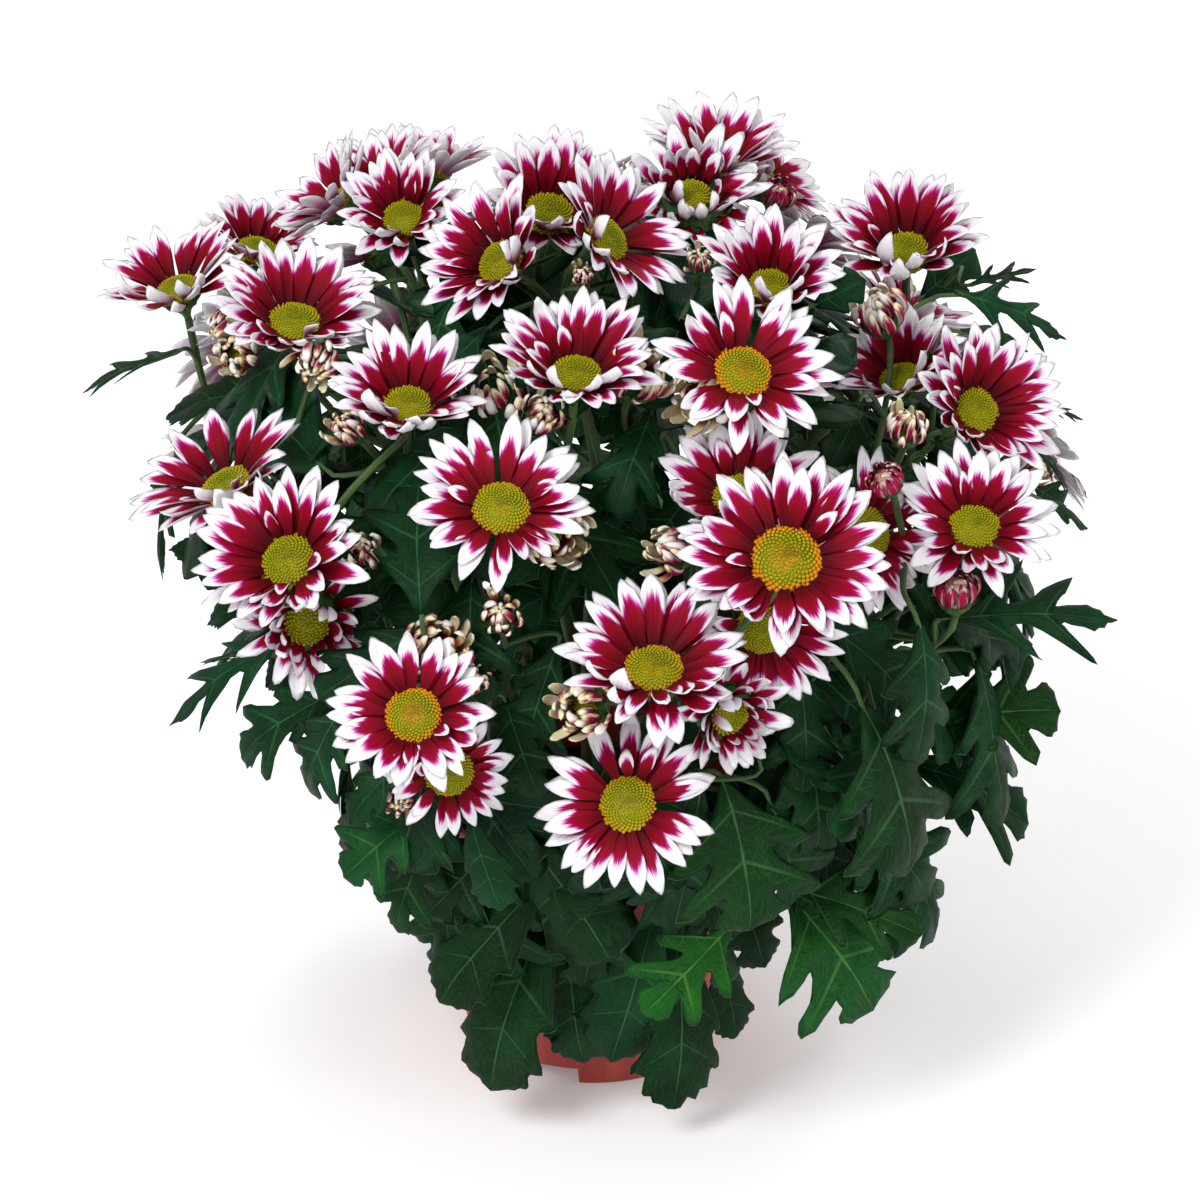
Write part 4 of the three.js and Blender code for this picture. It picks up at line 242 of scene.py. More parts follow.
# Leaves: cutting, blade base, blade tip, upper side, width over length, arch, painted light (how lit the blade's colour
# is painted), detail, the leaf stalk's control points
LEAVES = [
    (2, (-14.3, -82, 99.4), (-39, -94, 23.9), (-0.354, -0.907, 0.23), 0.45, 0.1, 0.15, 1, (26.8, -94.3, 129.2, 12.4, -90, 125.1, -9.6, -80.1, 114.2, -14.3, -82, 99.4)),
    (1, (-9.6, -80, 91.6), (-6, -88, 31.5), (-0.064, -0.99, 0.128), 0.46, 0.05, 0.1, 1, (-30.3, -48.9, 134.4, -23, -59.8, 126.2, -10.6, -77.8, 108.4, -9.6, -80, 91.6)),
    (2, (24, -88, 102.8), (5.1, -94, 36.5), (0.038, -0.998, 0.049), 0.44, 0.08, 0.2, 1, (29.1, -85.9, 130.5, 27.3, -86.6, 124.2, 26.1, -87.5, 111, 24, -88, 102.8)),
    (2, (29.3, -80, 91.6), (34.7, -98, 18.6), (0.332, -0.908, 0.256), 0.46, 0.06, 0.3, 1, (29.1, -85.9, 130.5, 29.1, -83.8, 121.6, 28.2, -77.2, 103, 29.3, -80, 91.6)),
    (2, (49.8, -112, 105.6), (17.3, -120, 73.8), (-0.009, -0.967, 0.253), 0.72, 0.1, 0.9, 1, (25.3, -102.9, 128.7, 33.9, -106.1, 124.8, 57.2, -110.2, 112.8, 49.8, -112, 105.6)),
    (2, (71.3, -100, 111.1), (104, -106, 67), (0.22, -0.84, 0.48), 1, 0.1, 0.7, 1, (29.1, -85.9, 130.5, 43.8, -90.8, 129.6, 65.3, -97.9, 124.2, 71.3, -100, 111.1)),
    (2, (45.3, -128, 172.4), (56.1, -140, 119.4), (0.363, -0.89, 0.276), 0.98, 0.12, 0.45, 1, (23.4, -119, 163.1, 31.1, -122.1, 169.4, 43.8, -126.4, 179.6, 45.3, -128, 172.4)),
    (2, (93.1, -128, 201.5), (110.1, -128, 133.6), (0.665, -0.728, 0.166), 0.8, 0.12, 0.35, 1, (56.1, -107.3, 233, 69, -114.5, 228.3, 89.3, -128, 216.9, 93.1, -128, 201.5)),
    (2, (72.5, -117.8, 190.6), (77.3, -116.4, 130.4), (0.573, -0.819, 0.027), 0.75, 0.12, 0.2, 1, (56.1, -107.3, 233, 61.8, -110.9, 223.7, 71.3, -118.1, 204.5, 72.5, -117.8, 190.6)),
    (2, (103.7, -92, 130.1), (126.2, -90, 86.8), (0.755, -0.543, 0.368), 0.75, 0.1, 0.3, 1, (95.3, -72.5, 189.4, 98.2, -79.3, 176.2, 94.9, -92.8, 146.8, 103.7, -92, 130.1)),
    (2, (113.1, -76, 152.5), (160.5, -66, 122.7), (0.523, -0.466, 0.713), 0.86, 0.08, 0.15, 1, (95.3, -72.5, 189.4, 100.9, -74, 182.7, 100.3, -78.8, 160.1, 113.1, -76, 152.5)),
    (2, (112.8, -124, 230.1), (113, -130, 179.3), (0.619, -0.78, 0.095), 0.66, 0.06, 0.3, 1, (110.7, -74, 235, 105.9, -119.7, 236.3, 105.6, -125, 244.9, 112.8, -124, 230.1)),
    (2, (122.2, -92, 216.9), (187.3, -78, 210.3), (0.198, -0.53, 0.825), 0.62, 0.05, 0.2, 2, (121.1, -89.2, 205.9, 121.5, -90.2, 211.1, 118.9, -92.7, 217.2, 122.2, -92, 216.9)),
    (2, (119.2, -80, 174.7), (169.5, -72, 166.8), (0.239, -0.6, 0.764), 0.9, 0.05, 0.55, 1, (108.9, -81.2, 196.2, 112.3, -80.9, 191.6, 112.1, -80.9, 176.2, 119.2, -80, 174.7)),
    (2, (121.4, -65.2, 196.3), (147.9, -63.2, 184.1), (0.397, -0.472, 0.787), 0.6, 0.05, 0.25, 1, (96.2, -62.2, 198.6, 105, -63.2, 200.8, 114.4, -65.7, 199.5, 121.4, -65.2, 196.3)),
    (2, (161.1, -12, 265.6), (179.9, -6, 258), (0.414, -0.17, 0.894), 0.45, 0.02, 0.3, 2, (121.7, -26.5, 255.2, 135.4, -21.4, 264.2, 149.4, -15.7, 270.2, 161.1, -12, 265.6)),
    (2, (162, -40, 240.9), (179.9, -34, 227.6), (0.626, -0.195, 0.755), 0.4, 0.02, 0.35, 1, (126.1, -67.8, 225.4, 138.6, -58.1, 236.7, 150.8, -43.8, 249.2, 162, -40, 240.9)),
    (2, (155.3, -36, 261.8), (172.7, -30, 241.3), (0.775, -0.132, 0.618), 0.7, 0.05, 0.15, 2, (121.7, -26.5, 255.2, 133.4, -29.8, 262.1, 148.4, -38.4, 270, 155.3, -36, 261.8)),
    (4, (133.2, 18, 298), (177.6, 30, 277.3), (0.25, -0.5, 0.83), 0.6, 0.03, 0.25, 2, (103.2, 37.8, 255.7, 104.1, 0.9, 288.4, 116.8, 10.4, 298.4, 133.2, 18, 298)),
    (2, (134.8, 10, 286.2), (161.9, 20, 275.6), (0.388, -0.078, 0.918), 0.45, 0.03, 0.2, 1, (121.7, -26.5, 255.2, 126.2, -13.7, 272, 122.1, 5.3, 291.2, 134.8, 10, 286.2)),
    (4, (140.4, 45.1, 290.6), (166.9, 53.5, 293.4), (0, -0.4, 0.92), 0.5, 0.03, 0.2, 2, (118.3, 60.6, 265, 157.4, 79.7, 307.1, 127, 36.4, 289.2, 140.4, 45.1, 290.6)),
    (3, (-152.9, 24, 272.9), (-192.3, 34, 252), (-0.457, 0.049, 0.888), 0.66, 0.02, 0.15, 2, (-148.2, 38, 263.4, -150.3, 33, 268.6, -148.9, 23, 275, -152.9, 24, 272.9)),
    (1, (-105.3, -20, 276.6), (-157.1, -4, 259.5), (-0.367, -0.219, 0.904), 0.4, 0.02, 0.2, 1, (-104.6, -28, 274.1, -104.8, -25.1, 276, -103.3, -20.6, 277.3, -105.3, -20, 276.6)),
    (1, (-134.7, -10, 239), (-164.8, 4, 229.8), (-0.381, -0.23, 0.896), 0.45, 0.02, 0.15, 1, (-110.6, -42.2, 228, -119.1, -30.9, 236.8, -123.8, -15.1, 242.4, -134.7, -10, 239)),
    (1, (-122, -60, 228.2), (-151.7, -50, 224.5), (-0.27, -0.491, 0.829), 0.42, 0.02, 0.15, 1, (-97.6, -76.6, 222.3, -106.2, -70.7, 227.8, -114, -62.7, 229.2, -122, -60, 228.2)),
    (1, (-109.6, -66, 214.1), (-139, -58, 201.6), (-0.448, -0.409, 0.795), 0.55, 0.05, 0.15, 1, (-97.6, -76.6, 222.3, -101.9, -72.8, 221.5, -105, -67.2, 216, -109.6, -66, 214.1)),
    (1, (-100.8, -92, 213), (-151.6, -84, 170.3), (-0.589, -0.532, 0.608), 0.44, 0.08, 0.15, 2, (-87.4, -85.4, 216, -92, -87.7, 216.8, -97.3, -92.5, 215.9, -100.8, -92, 213)),
    (1, (-87.8, -110, 198.4), (-125.2, -102, 167.6), (-0.569, -0.631, 0.527), 0.62, 0.08, 0.25, 1, (-51.8, -115.8, 195.9, -64.4, -113.8, 201.1, -79.5, -111.8, 205.3, -87.8, -110, 198.4)),
    (1, (-85, -127.6, 201.3), (-100.6, -118, 163.2), (-0.736, -0.663, 0.134), 0.75, 0.08, 0.25, 1, (-53.7, -126.1, 208.1, -64.7, -126.7, 209.6, -81.4, -129.8, 210, -85, -127.6, 201.3)),
    (1, (-95.8, -91.2, 204.8), (-117, -87.6, 190.1), (-0.52, -0.603, 0.606), 0.55, 0.05, 0.2, 1, (-78.9, -82.3, 206.8, -84.8, -85.4, 208.4, -91.1, -92, 208, -95.8, -91.2, 204.8)),
    (1, (-67.1, -130.3, 179.5), (-85.4, -134.1, 158.4), (-0.42, -0.756, 0.502), 0.6, 0.06, 0.3, 1, (-51.8, -115.8, 195.9, -57.1, -120.9, 193.3, -61.9, -129.3, 185.5, -67.1, -130.3, 179.5)),
    (1, (-61.1, -118, 153.3), (-87.2, -122, 129.5), (-0.39, -0.738, 0.551), 0.85, 0.08, 0.55, 1, (-53.3, -111.7, 175.2, -56.1, -113.9, 170.4, -55.8, -117.2, 158.1, -61.1, -118, 153.3)),
    (1, (-57.3, -112, 142.1), (-70, -116, 104.1), (-0.52, -0.814, 0.259), 0.62, 0.08, 0.35, 1, (-59.8, -101.3, 162.3, -58.9, -105.1, 158, -55.2, -111.3, 148.6, -57.3, -112, 142.1)),
    (1, (-42.3, -134, 161.8), (-32.8, -140, 126.3), (-0.145, -0.981, 0.127), 0.5, 0.05, 0.3, 1, (-53.3, -111.7, 175.2, -49, -117.3, 168, -45.6, -131.6, 169.5, -42.3, -134, 161.8)),
    (2, (-16.5, -100, 118.1), (-56.3, -106, 69.6), (-0.364, -0.815, 0.452), 0.5, 0.08, 0.3, 1, (25.3, -102.9, 128.7, 11.3, -101.7, 133.1, -4, -98.2, 131.3, -16.5, -100, 118.1)),
    (2, (46, -66, 75.2), (52.3, -72, 33.5), (0.578, -0.791, 0.202), 0.5, 0.06, 0.1, 1, (32.8, -69.2, 132.2, 37.4, -68.1, 119.3, 43.3, -63.5, 92.4, 46, -66, 75.2)),
    (1, (-44.4, -86, 109.5), (-56, -84, 68.6), (-0.592, -0.795, 0.13), 0.7, 0.06, 0.2, 1, (-46.5, -74.8, 151.4, -45.7, -78.7, 142, -40.8, -86.6, 122.1, -44.4, -86, 109.5)),
    (2, (54.6, -88, 101.5), (63.8, -88, 73.8), (0.504, -0.86, -0.084), 0.8, 0.04, 0.3, 1, (29.1, -85.9, 130.5, 37.6, -86.8, 127.5, 57.2, -88, 117.4, 54.6, -88, 101.5)),
    (1, (-51.8, -112, 260.4), (-54.6, -124, 232.7), (-0.352, -0.845, 0.403), 0.52, 0.08, 0.3, 1, (-26.2, -103.6, 257.1, -35.1, -106.5, 261.5, -51.1, -108.8, 267.8, -51.8, -112, 260.4)),
    (1, (-10.9, -110, 236.8), (-41.7, -124, 224.4), (0, -0.663, 0.748), 0.7, 0.08, 0.15, 1, (-29.1, -96.7, 242.8, -22.7, -101.4, 243.5, -4.9, -107.3, 239.2, -10.9, -110, 236.8)),
    (2, (2.9, -101.1, 251.7), (-16, -117.1, 236.3), (0.009, -0.699, 0.715), 0.7, 0.08, 0.15, 1, (20.4, -70.5, 262.3, 14.2, -81.2, 263, 10, -95.1, 257.6, 2.9, -101.1, 251.7)),
    (2, (16.8, -84, 270.7), (-0.6, -98, 250.3), (-0.018, -0.816, 0.577), 0.7, 0.08, 0.12, 1, (12.4, -77.1, 280.7, 13.9, -79.5, 278.7, 19, -82.2, 273.3, 16.8, -84, 270.7)),
    (1, (-42, -110, 233), (-72.8, -116, 232), (0.101, -0.644, 0.759), 0.66, 0.08, 0.15, 1, (-29.5, -98.3, 226.8, -33.9, -102.4, 231.1, -36.6, -109, 233.2, -42, -110, 233)),
    (1, (-30, -121.1, 200), (-17.9, -132.5, 166.9), (-0.094, -0.951, 0.295), 0.7, 0.08, 0.15, 1, (-40.5, -126.5, 203.8, -36.8, -124.6, 203.9, -31.2, -119.9, 203.3, -30, -121.1, 200)),
    (1, (-10.9, -121.3, 223.1), (-25.1, -118.8, 175.5), (-0.297, -0.954, 0.04), 0.66, 0.08, 0.12, 1, (-29.7, -126.2, 223.7, -23.1, -124.5, 225.8, -9.2, -121.5, 228.7, -10.9, -121.3, 223.1)),
    (0, (-0.6, -68, 290.4), (20.2, -82, 275.5), (0.038, -0.7, 0.713), 0.6, 0.08, 0.12, 1, (-5.4, -34.2, 285.7, -3.8, -46.2, 291.2, -7.7, -63.3, 295.4, -0.6, -68, 290.4)),
    (2, (94.2, -58, 286.3), (83.2, -76, 267.2), (0.479, -0.759, 0.441), 0.7, 0.08, 0.15, 1, (104.2, -38.5, 272.2, 100.7, -45.3, 280.2, 97.2, -53, 291.5, 94.2, -58, 286.3)),
    (2, (101.7, -62.3, 261.4), (115.5, -66.7, 259.5), (0.057, -0.245, 0.968), 0.6, 0.08, 0.25, 1, (102.7, -58.6, 257.6, 102.3, -59.9, 259.6, 100.1, -61.8, 261.6, 101.7, -62.3, 261.4)),
    (1, (-81, -76, 263.4), (-72.2, -90, 239.1), (-0.413, -0.846, 0.336), 0.66, 0.08, 0.2, 1, (-72.1, -80.7, 270.6, -75.3, -79, 269.6, -82.1, -74.2, 266.5, -81, -76, 263.4)),
    (2, (38.2, -64, 258.3), (16.9, -84, 236.4), (0.162, -0.802, 0.575), 0.7, 0.08, 0.15, 1, (55.6, -51.4, 269.6, 49.5, -55.8, 268.4, 42.3, -60.1, 262.5, 38.2, -64, 258.3)),
    (1, (-18.6, -104, 119.5), (2.9, -118, 119.1), (-0.454, -0.711, 0.537), 0.8, 0.06, 0.35, 1, (-46.5, -74.8, 151.4, -36.7, -85, 146.4, -31.6, -95.6, 119.7, -18.6, -104, 119.5)),
    (1, (-71.6, -107.9, 224.4), (-76.7, -100.9, 244.1), (-0.36, -0.904, 0.229), 0.6, 0.06, 0.2, 1, (-53.7, -126.1, 208.1, -60, -119.8, 217.4, -69.5, -110.9, 216.1, -71.6, -107.9, 224.4)),
    (2, (58.1, -134, 183.3), (47.8, -124, 201.4), (0.281, -0.764, 0.581), 0.6, 0.06, 0.2, 1, (23.4, -119, 163.1, 35.6, -124.2, 175.3, 63.7, -139.5, 173.3, 58.1, -134, 183.3)),
    (0, (11.5, 64.5, 293.6), (31.3, 104.2, 296.8), (-0.19, 0.014, 0.982), 0.8, 0.114, 0.06, 0, (14.1, 37.3, 286.2, 13.2, 46.8, 292.2, 7.7, 56.9, 293, 11.5, 64.5, 293.6)),
    (0, (-9.9, -8.6, 284), (-66.4, -14.1, 307.8), (0.396, -0.199, 0.896), 0.75, 0.084, 0.36, 0, (-6, -25.4, 287.7, -7.2, -19.5, 288.8, -4.5, -8.1, 281.8, -9.9, -8.6, 284)),
    (3, (-10.3, 113.6, 197.5), (11.1, 142, 159.9), (0.109, 0.762, 0.638), 0.8, 0.06, 0.12, 0, (-29.1, 93.6, 225.7, -22.5, 100.6, 220.5, -15.2, 107.1, 206.1, -10.3, 113.6, 197.5)),
    (0, (-33, 32.5, 297.1), (-81.6, 27, 316.2), (0.25, 0.554, 0.794), 0.72, 0.116, 0.22, 0, (-20.5, 3, 301.8, -24.9, 13.7, 303.4, -25.5, 33.3, 294.1, -33, 32.5, 297.1)),
    (4, (42.8, 77.2, 276.4), (77.4, 83.4, 243.8), (0.526, 0.535, 0.661), 0.59, 0.088, 0.24, 0, (44.8, 71, 293.1, 44.2, 72.9, 289.6, 38.6, 76.5, 280.4, 42.8, 77.2, 276.4)),
    (0, (40.8, -0.2, 294.2), (80.7, -49.4, 310.2), (0.164, 0.424, 0.891), 0.59, 0.114, 0.29, 0, (22.5, 27.2, 285.3, 29, 17.5, 292.4, 34.7, 7.3, 291.8, 40.8, -0.2, 294.2)),
    (3, (-83, 27.8, 268.6), (-142.4, 13, 232.9), (-0.534, 0.128, 0.836), 0.65, 0.108, 0.11, 0, (-63.4, 45.4, 267.6, -70.3, 39.1, 270.9, -76.9, 29.3, 272.3, -83, 27.8, 268.6)),
    (0, (-44.9, -9.1, 314.9), (-56.6, -43.3, 287.1), (-0.566, -0.394, 0.725), 0.7, 0.093, 0.37, 0, (-20.5, 3, 301.8, -29, -0.9, 310.5, -42.3, -1.4, 321.1, -44.9, -9.1, 314.9)),
    (0, (29.4, -11.5, 317.4), (39.2, -44.6, 289.4), (0.48, -0.478, 0.735), 0.8, 0.044, 0.2, 0, (32.3, -26.8, 307.8, 31.2, -21.4, 313.3, 28.1, -7.4, 320.8, 29.4, -11.5, 317.4)),
    (4, (116, 37, 232), (145.6, 24.5, 200.7), (0.742, 0.088, 0.665), 0.59, 0.054, 0.18, 0, (96.2, 39.7, 244, 103.1, 38.7, 242.6, 111.4, 39, 236.9, 116, 37, 232)),
    (3, (-85.6, 58.1, 283.9), (-126.5, 86.7, 253), (-0.424, 0.31, 0.851), 0.75, 0.035, 0.14, 0, (-68.7, 59, 287.5, -74.7, 58.6, 288.2, -82.2, 55.7, 286.4, -85.6, 58.1, 283.9)),
    (3, (-66.2, 63.6, 232), (-97.9, 104.1, 205), (-0.325, 0.337, 0.884), 0.71, 0.061, 0.22, 0, (-68.8, 60.1, 233.4, -67.9, 61.4, 233.5, -65.5, 62.7, 232.7, -66.2, 63.6, 232)),
    (3, (-58.7, 88.7, 234.8), (-30.3, 137.4, 209.9), (-0.22, 0.543, 0.81), 0.58, 0.036, 0.34, 0, (-56.2, 69.9, 231.9, -57.1, 76.4, 235.3, -61.5, 84, 237.2, -58.7, 88.7, 234.8)),
    (2, (16.5, -79, 170.4), (37, -125.8, 179), (-0.202, 0.09, 0.975), 0.66, 0.045, 0.35, 0, (32.5, -69.6, 167.9, 26.9, -72.9, 171, 14.2, -73.9, 169.5, 16.5, -79, 170.4)),
    (1, (-20.4, -82.5, 272.5), (12, -124.7, 233.8), (0.025, -0.665, 0.746), 0.63, 0.086, 0.38, 0, (-23.3, -78.5, 274.4, -22.3, -79.9, 274.4, -21.2, -81.5, 273.4, -20.4, -82.5, 272.5)),
    (0, (-0.9, 74.3, 301.1), (22.8, 97.5, 261.4), (0.227, 0.775, 0.589), 0.61, 0.098, 0.21, 0, (17.5, 44.3, 308.1, 11, 54.8, 309.9, -5.9, 69.5, 309.3, -0.9, 74.3, 301.1)),
    (1, (-97.6, -9.9, 201.3), (-134.4, 45.4, 189.6), (-0.465, -0.125, 0.877), 0.77, 0.065, 0.38, 0, (-67.8, -26.4, 191.8, -78.2, -20.6, 199.4, -91.8, -18.6, 203.1, -97.6, -9.9, 201.3)),
    (3, (-111.6, 57.4, 170.7), (-111.5, 103.4, 183.8), (-0.581, -0.221, 0.783), 0.72, 0.119, 0.16, 0, (-83.1, 34, 185.3, -93.1, 42.2, 185, -111.7, 45.9, 167.5, -111.6, 57.4, 170.7)),
    (1, (-33.3, -76.3, 187.5), (-60, -118.6, 214.4), (0.413, 0.288, 0.864), 0.63, 0.046, 0.32, 0, (-34.6, -65.8, 175.4, -34.2, -69.5, 181.6, -31, -72.7, 185.3, -33.3, -76.3, 187.5)),
    (4, (90.3, 26.6, 255.1), (134.7, -7.5, 256), (0.267, 0.371, 0.89), 0.7, 0.08, 0.2, 0, (96.2, 39.7, 244, 94.1, 35.1, 250.1, 86, 29.9, 255, 90.3, 26.6, 255.1)),
    (1, (-36.6, -92.4, 246.3), (-90.7, -105.3, 255), (0.248, -0.463, 0.851), 0.74, 0.047, 0.36, 0, (-29.1, -96.7, 242.8, -31.7, -95.2, 245.1, -33.9, -91.7, 245.8, -36.6, -92.4, 246.3)),
    (2, (122.1, 2.3, 183.5), (147.5, 40.5, 189.3), (0.362, -0.372, 0.855), 0.72, 0.039, 0.37, 0, (95, -43.7, 186.6, 104.5, -27.6, 192, 113.3, -10.9, 181.5, 122.1, 2.3, 183.5)),
    (4, (55.5, 66, 149.4), (56.1, 119.7, 173.3), (0.485, -0.358, 0.798), 0.58, 0.052, 0.32, 0, (46.7, 39.4, 138, 49.8, 48.7, 145.7, 55.5, 57.7, 145.8, 55.5, 66, 149.4)),
    (0, (2.1, 25.2, 334.5), (-32.2, 64.2, 290.9), (-0.23, 0.628, 0.743), 0.67, 0.076, 0.3, 0, (17.5, 44.3, 308.1, 12.1, 37.6, 321.6, 7.5, 19, 341.4, 2.1, 25.2, 334.5)),
    (1, (-109.3, -1.1, 266.8), (-148.4, 15, 239.3), (-0.57, 0.022, 0.822), 0.74, 0.086, 0.18, 0, (-102.8, -10.5, 272.9, -105, -7.1, 272.7, -105.9, -2.5, 269.2, -109.3, -1.1, 266.8)),
    (4, (96.9, 64.4, 245.9), (105.2, 113.5, 220.1), (0.43, 0.361, 0.827), 0.58, 0.052, 0.27, 0, (96.3, 58.3, 243.8, 96.5, 60.4, 245.3, 96.6, 62.7, 246.8, 96.9, 64.4, 245.9)),
    (0, (5.4, 10.3, 315.3), (-6.1, 53.7, 304.6), (0.095, 0.262, 0.96), 0.61, 0.083, 0.36, 0, (-12.4, -30.4, 308.7, -6, -16.2, 316.5, 8.7, -2.3, 318.4, 5.4, 10.3, 315.3)),
    (0, (4.5, 63.9, 299.9), (-29.9, 104.8, 266.2), (-0.082, 0.592, 0.802), 0.65, 0.063, 0.17, 0, (17.5, 44.3, 308.1, 13, 51.2, 308.2, 8.6, 59.1, 303.8, 4.5, 63.9, 299.9)),
    (0, (-7.6, 32.5, 308.8), (31.3, 66.8, 280.3), (0.104, 0.562, 0.821), 0.75, 0.067, 0.15, 0, (-20.5, 3, 301.8, -16, 13.7, 307.5, -12.9, 27.7, 312.7, -7.6, 32.5, 308.8)),
    (1, (-38.6, -84.2, 193.3), (-73.3, -125.3, 191.9), (0.113, -0.13, 0.985), 0.77, 0.083, 0.27, 0, (-31.5, -77.6, 194.3, -34, -79.9, 195.1, -36.7, -82, 193.4, -38.6, -84.2, 193.3)),
    (4, (108.4, 28.1, 144.9), (139.1, 58.9, 175.5), (0.093, -0.747, 0.659), 0.59, 0.116, 0.19, 0, (78.6, 42.4, 171.6, 89.1, 37.4, 167.4, 101.1, 20.7, 137.6, 108.4, 28.1, 144.9)),
    (1, (-95.8, 3, 242.8), (-125.2, 0.3, 208.3), (-0.761, -0.004, 0.649), 0.72, 0.036, 0.08, 0, (-89.9, -25.3, 233.6, -92, -15.4, 240.4, -89.9, 3.5, 249.7, -95.8, 3, 242.8)),
    (3, (-85.2, 54, 186.3), (-97.6, 92.8, 164.3), (-0.439, 0.332, 0.835), 0.67, 0.065, 0.06, 0, (-83.1, 34, 185.3, -83.8, 41, 188.1, -83.6, 48.9, 189.1, -85.2, 54, 186.3)),
    (1, (-61, -39, 278.4), (-62.1, -88.6, 275.4), (-0.432, -0.045, 0.901), 0.64, 0.034, 0.4, 0, (-104.6, -28, 274.1, -89.3, -31.8, 280.9, -60.8, -26, 279.2, -61, -39, 278.4)),
    (0, (-22.8, 11, 317.4), (-67.4, 18.7, 266.2), (-0.717, 0.227, 0.659), 0.68, 0.115, 0.2, 0, (-20.5, 3, 301.8, -21.3, 6.2, 309.2, -19.6, 10.5, 321.1, -22.8, 11, 317.4)),
    (4, (75.9, 98.5, 255.6), (122.7, 107.7, 226.9), (0.403, 0.445, 0.8), 0.63, 0.07, 0.08, 0, (61.8, 110.8, 242.9, 66.8, 106.5, 250, 70.2, 97.4, 259.1, 75.9, 98.5, 255.6)),
    (3, (-113, 11.4, 148.6), (-143.2, -11.5, 162.6), (-0.064, 0.582, 0.811), 0.85, 0.079, 0.25, 0, (-83.1, 34, 185.3, -93.6, 26.1, 178.8, -101.3, 20.3, 143.1, -113, 11.4, 148.6)),
    (4, (89.5, 20.4, 261.4), (112.7, 71.1, 248.1), (0.45, 0.028, 0.893), 0.79, 0.088, 0.12, 0, (103.2, 37.8, 255.7, 98.4, 31.7, 260.4, 86.7, 14.4, 263, 89.5, 20.4, 261.4)),
    (2, (38.2, -90.5, 180.3), (83.2, -105.7, 139.1), (0.44, -0.572, 0.692), 0.71, 0.103, 0.31, 0, (29.5, -90.9, 186.2, 32.5, -90.7, 185.4, 35.9, -89.8, 182.4, 38.2, -90.5, 180.3)),
    (3, (-55.8, 67.7, 259.9), (-110.6, 93.3, 275.9), (0.354, 0.187, 0.916), 0.65, 0.09, 0.25, 0, (-69.2, 67, 248.5, -64.5, 67.3, 254.6, -51.2, 65.6, 258.6, -55.8, 67.7, 259.9)),
    (0, (-21, 18.9, 283.8), (-63.4, 56.2, 312.2), (0.368, -0.26, 0.893), 0.76, 0.05, 0.21, 0, (-22.5, 7.1, 278.4, -21.9, 11.3, 281.5, -18.9, 17, 282.4, -21, 18.9, 283.8)),
    (3, (-55.1, 67, 199.9), (-67.4, 122.3, 185.1), (-0.255, 0.197, 0.947), 0.6, 0.065, 0.33, 0, (-63.7, 50.1, 199.8, -60.7, 56, 202.1, -54, 61.6, 201.3, -55.1, 67, 199.9)),
    (0, (8, 3.2, 339.5), (-23.9, 56.7, 316.6), (-0.02, 0.383, 0.923), 0.64, 0.037, 0.17, 0, (32.3, -26.8, 307.8, 23.7, -16.3, 324.9, 15.2, -8.9, 344.7, 8, 3.2, 339.5)),
    (0, (45.2, 0.6, 314.7), (69.6, -61.5, 295.3), (0.456, -0.097, 0.885), 0.72, 0.047, 0.2, 0, (30.1, 29.1, 303.7, 35.5, 19, 311.2, 41.9, 9, 317.3, 45.2, 0.6, 314.7)),
    (2, (116.2, -12.1, 216.4), (148.9, -50.4, 204.2), (0.418, 0.07, 0.906), 0.66, 0.076, 0.33, 0, (122.1, -9.8, 222.6, 120, -10.6, 221.5, 114.5, -10.1, 217, 116.2, -12.1, 216.4)),
    (3, (-33.2, 98.1, 205.2), (-66.9, 141.4, 201.4), (0.116, 0.175, 0.978), 0.58, 0.08, 0.13, 0, (-30.8, 73.5, 194.9, -31.7, 82.1, 201.7, -28.3, 91.8, 205.7, -33.2, 98.1, 205.2)),
    (3, (-84.7, 15, 174.7), (-144.1, 13.1, 150), (-0.385, 0.087, 0.919), 0.71, 0.12, 0.07, 0, (-66, 35.3, 171.9, -72.5, 28.2, 176.2, -77, 15.2, 177.9, -84.7, 15, 174.7)),
    (3, (-91.4, 40.6, 244.5), (-104.6, 72.2, 215.8), (-0.559, 0.417, 0.717), 0.59, 0.101, 0.26, 0, (-93.4, 35.5, 239.3, -92.7, 37.3, 242, -90.7, 39, 246, -91.4, 40.6, 244.5)),
    (0, (-7.2, -0.6, 284.8), (-23.4, -60.7, 313.5), (-0.098, 0.45, 0.888), 0.71, 0.067, 0.16, 0, (-22.5, 7.1, 278.4, -17.1, 4.5, 282.9, -5.8, 4.6, 282.3, -7.2, -0.6, 284.8)),
    (2, (70.2, -17.8, 294.3), (107.6, 3.8, 250.6), (0.752, 0.029, 0.658), 0.67, 0.059, 0.12, 0, (61, -46.3, 293.6, 64.2, -36.5, 297.5, 64.4, -21.1, 301, 70.2, -17.8, 294.3)),
    (1, (-97.5, -3.6, 309.7), (-127, -49.5, 263.5), (-0.669, -0.269, 0.693), 0.73, 0.035, 0.34, 0, (-118.3, -7.9, 281.4, -111, -6.1, 294.9, -94.6, 1, 314.3, -97.5, -3.6, 309.7)),
    (4, (22.7, 94.7, 203.9), (16.9, 149.3, 203.1), (0.184, 0.034, 0.982), 0.71, 0.111, 0.16, 0, (27, 90.1, 181.7, 25.5, 91.7, 192.2, 23.5, 87.8, 204, 22.7, 94.7, 203.9)),
    (3, (-38.9, 56.2, 184.6), (-103.6, 74.4, 159.2), (-0.245, 0.374, 0.895), 0.76, 0.116, 0.06, 0, (-34.7, 62.2, 176.4, -36.2, 60.1, 180.6, -35.9, 55.4, 185.7, -38.9, 56.2, 184.6)),
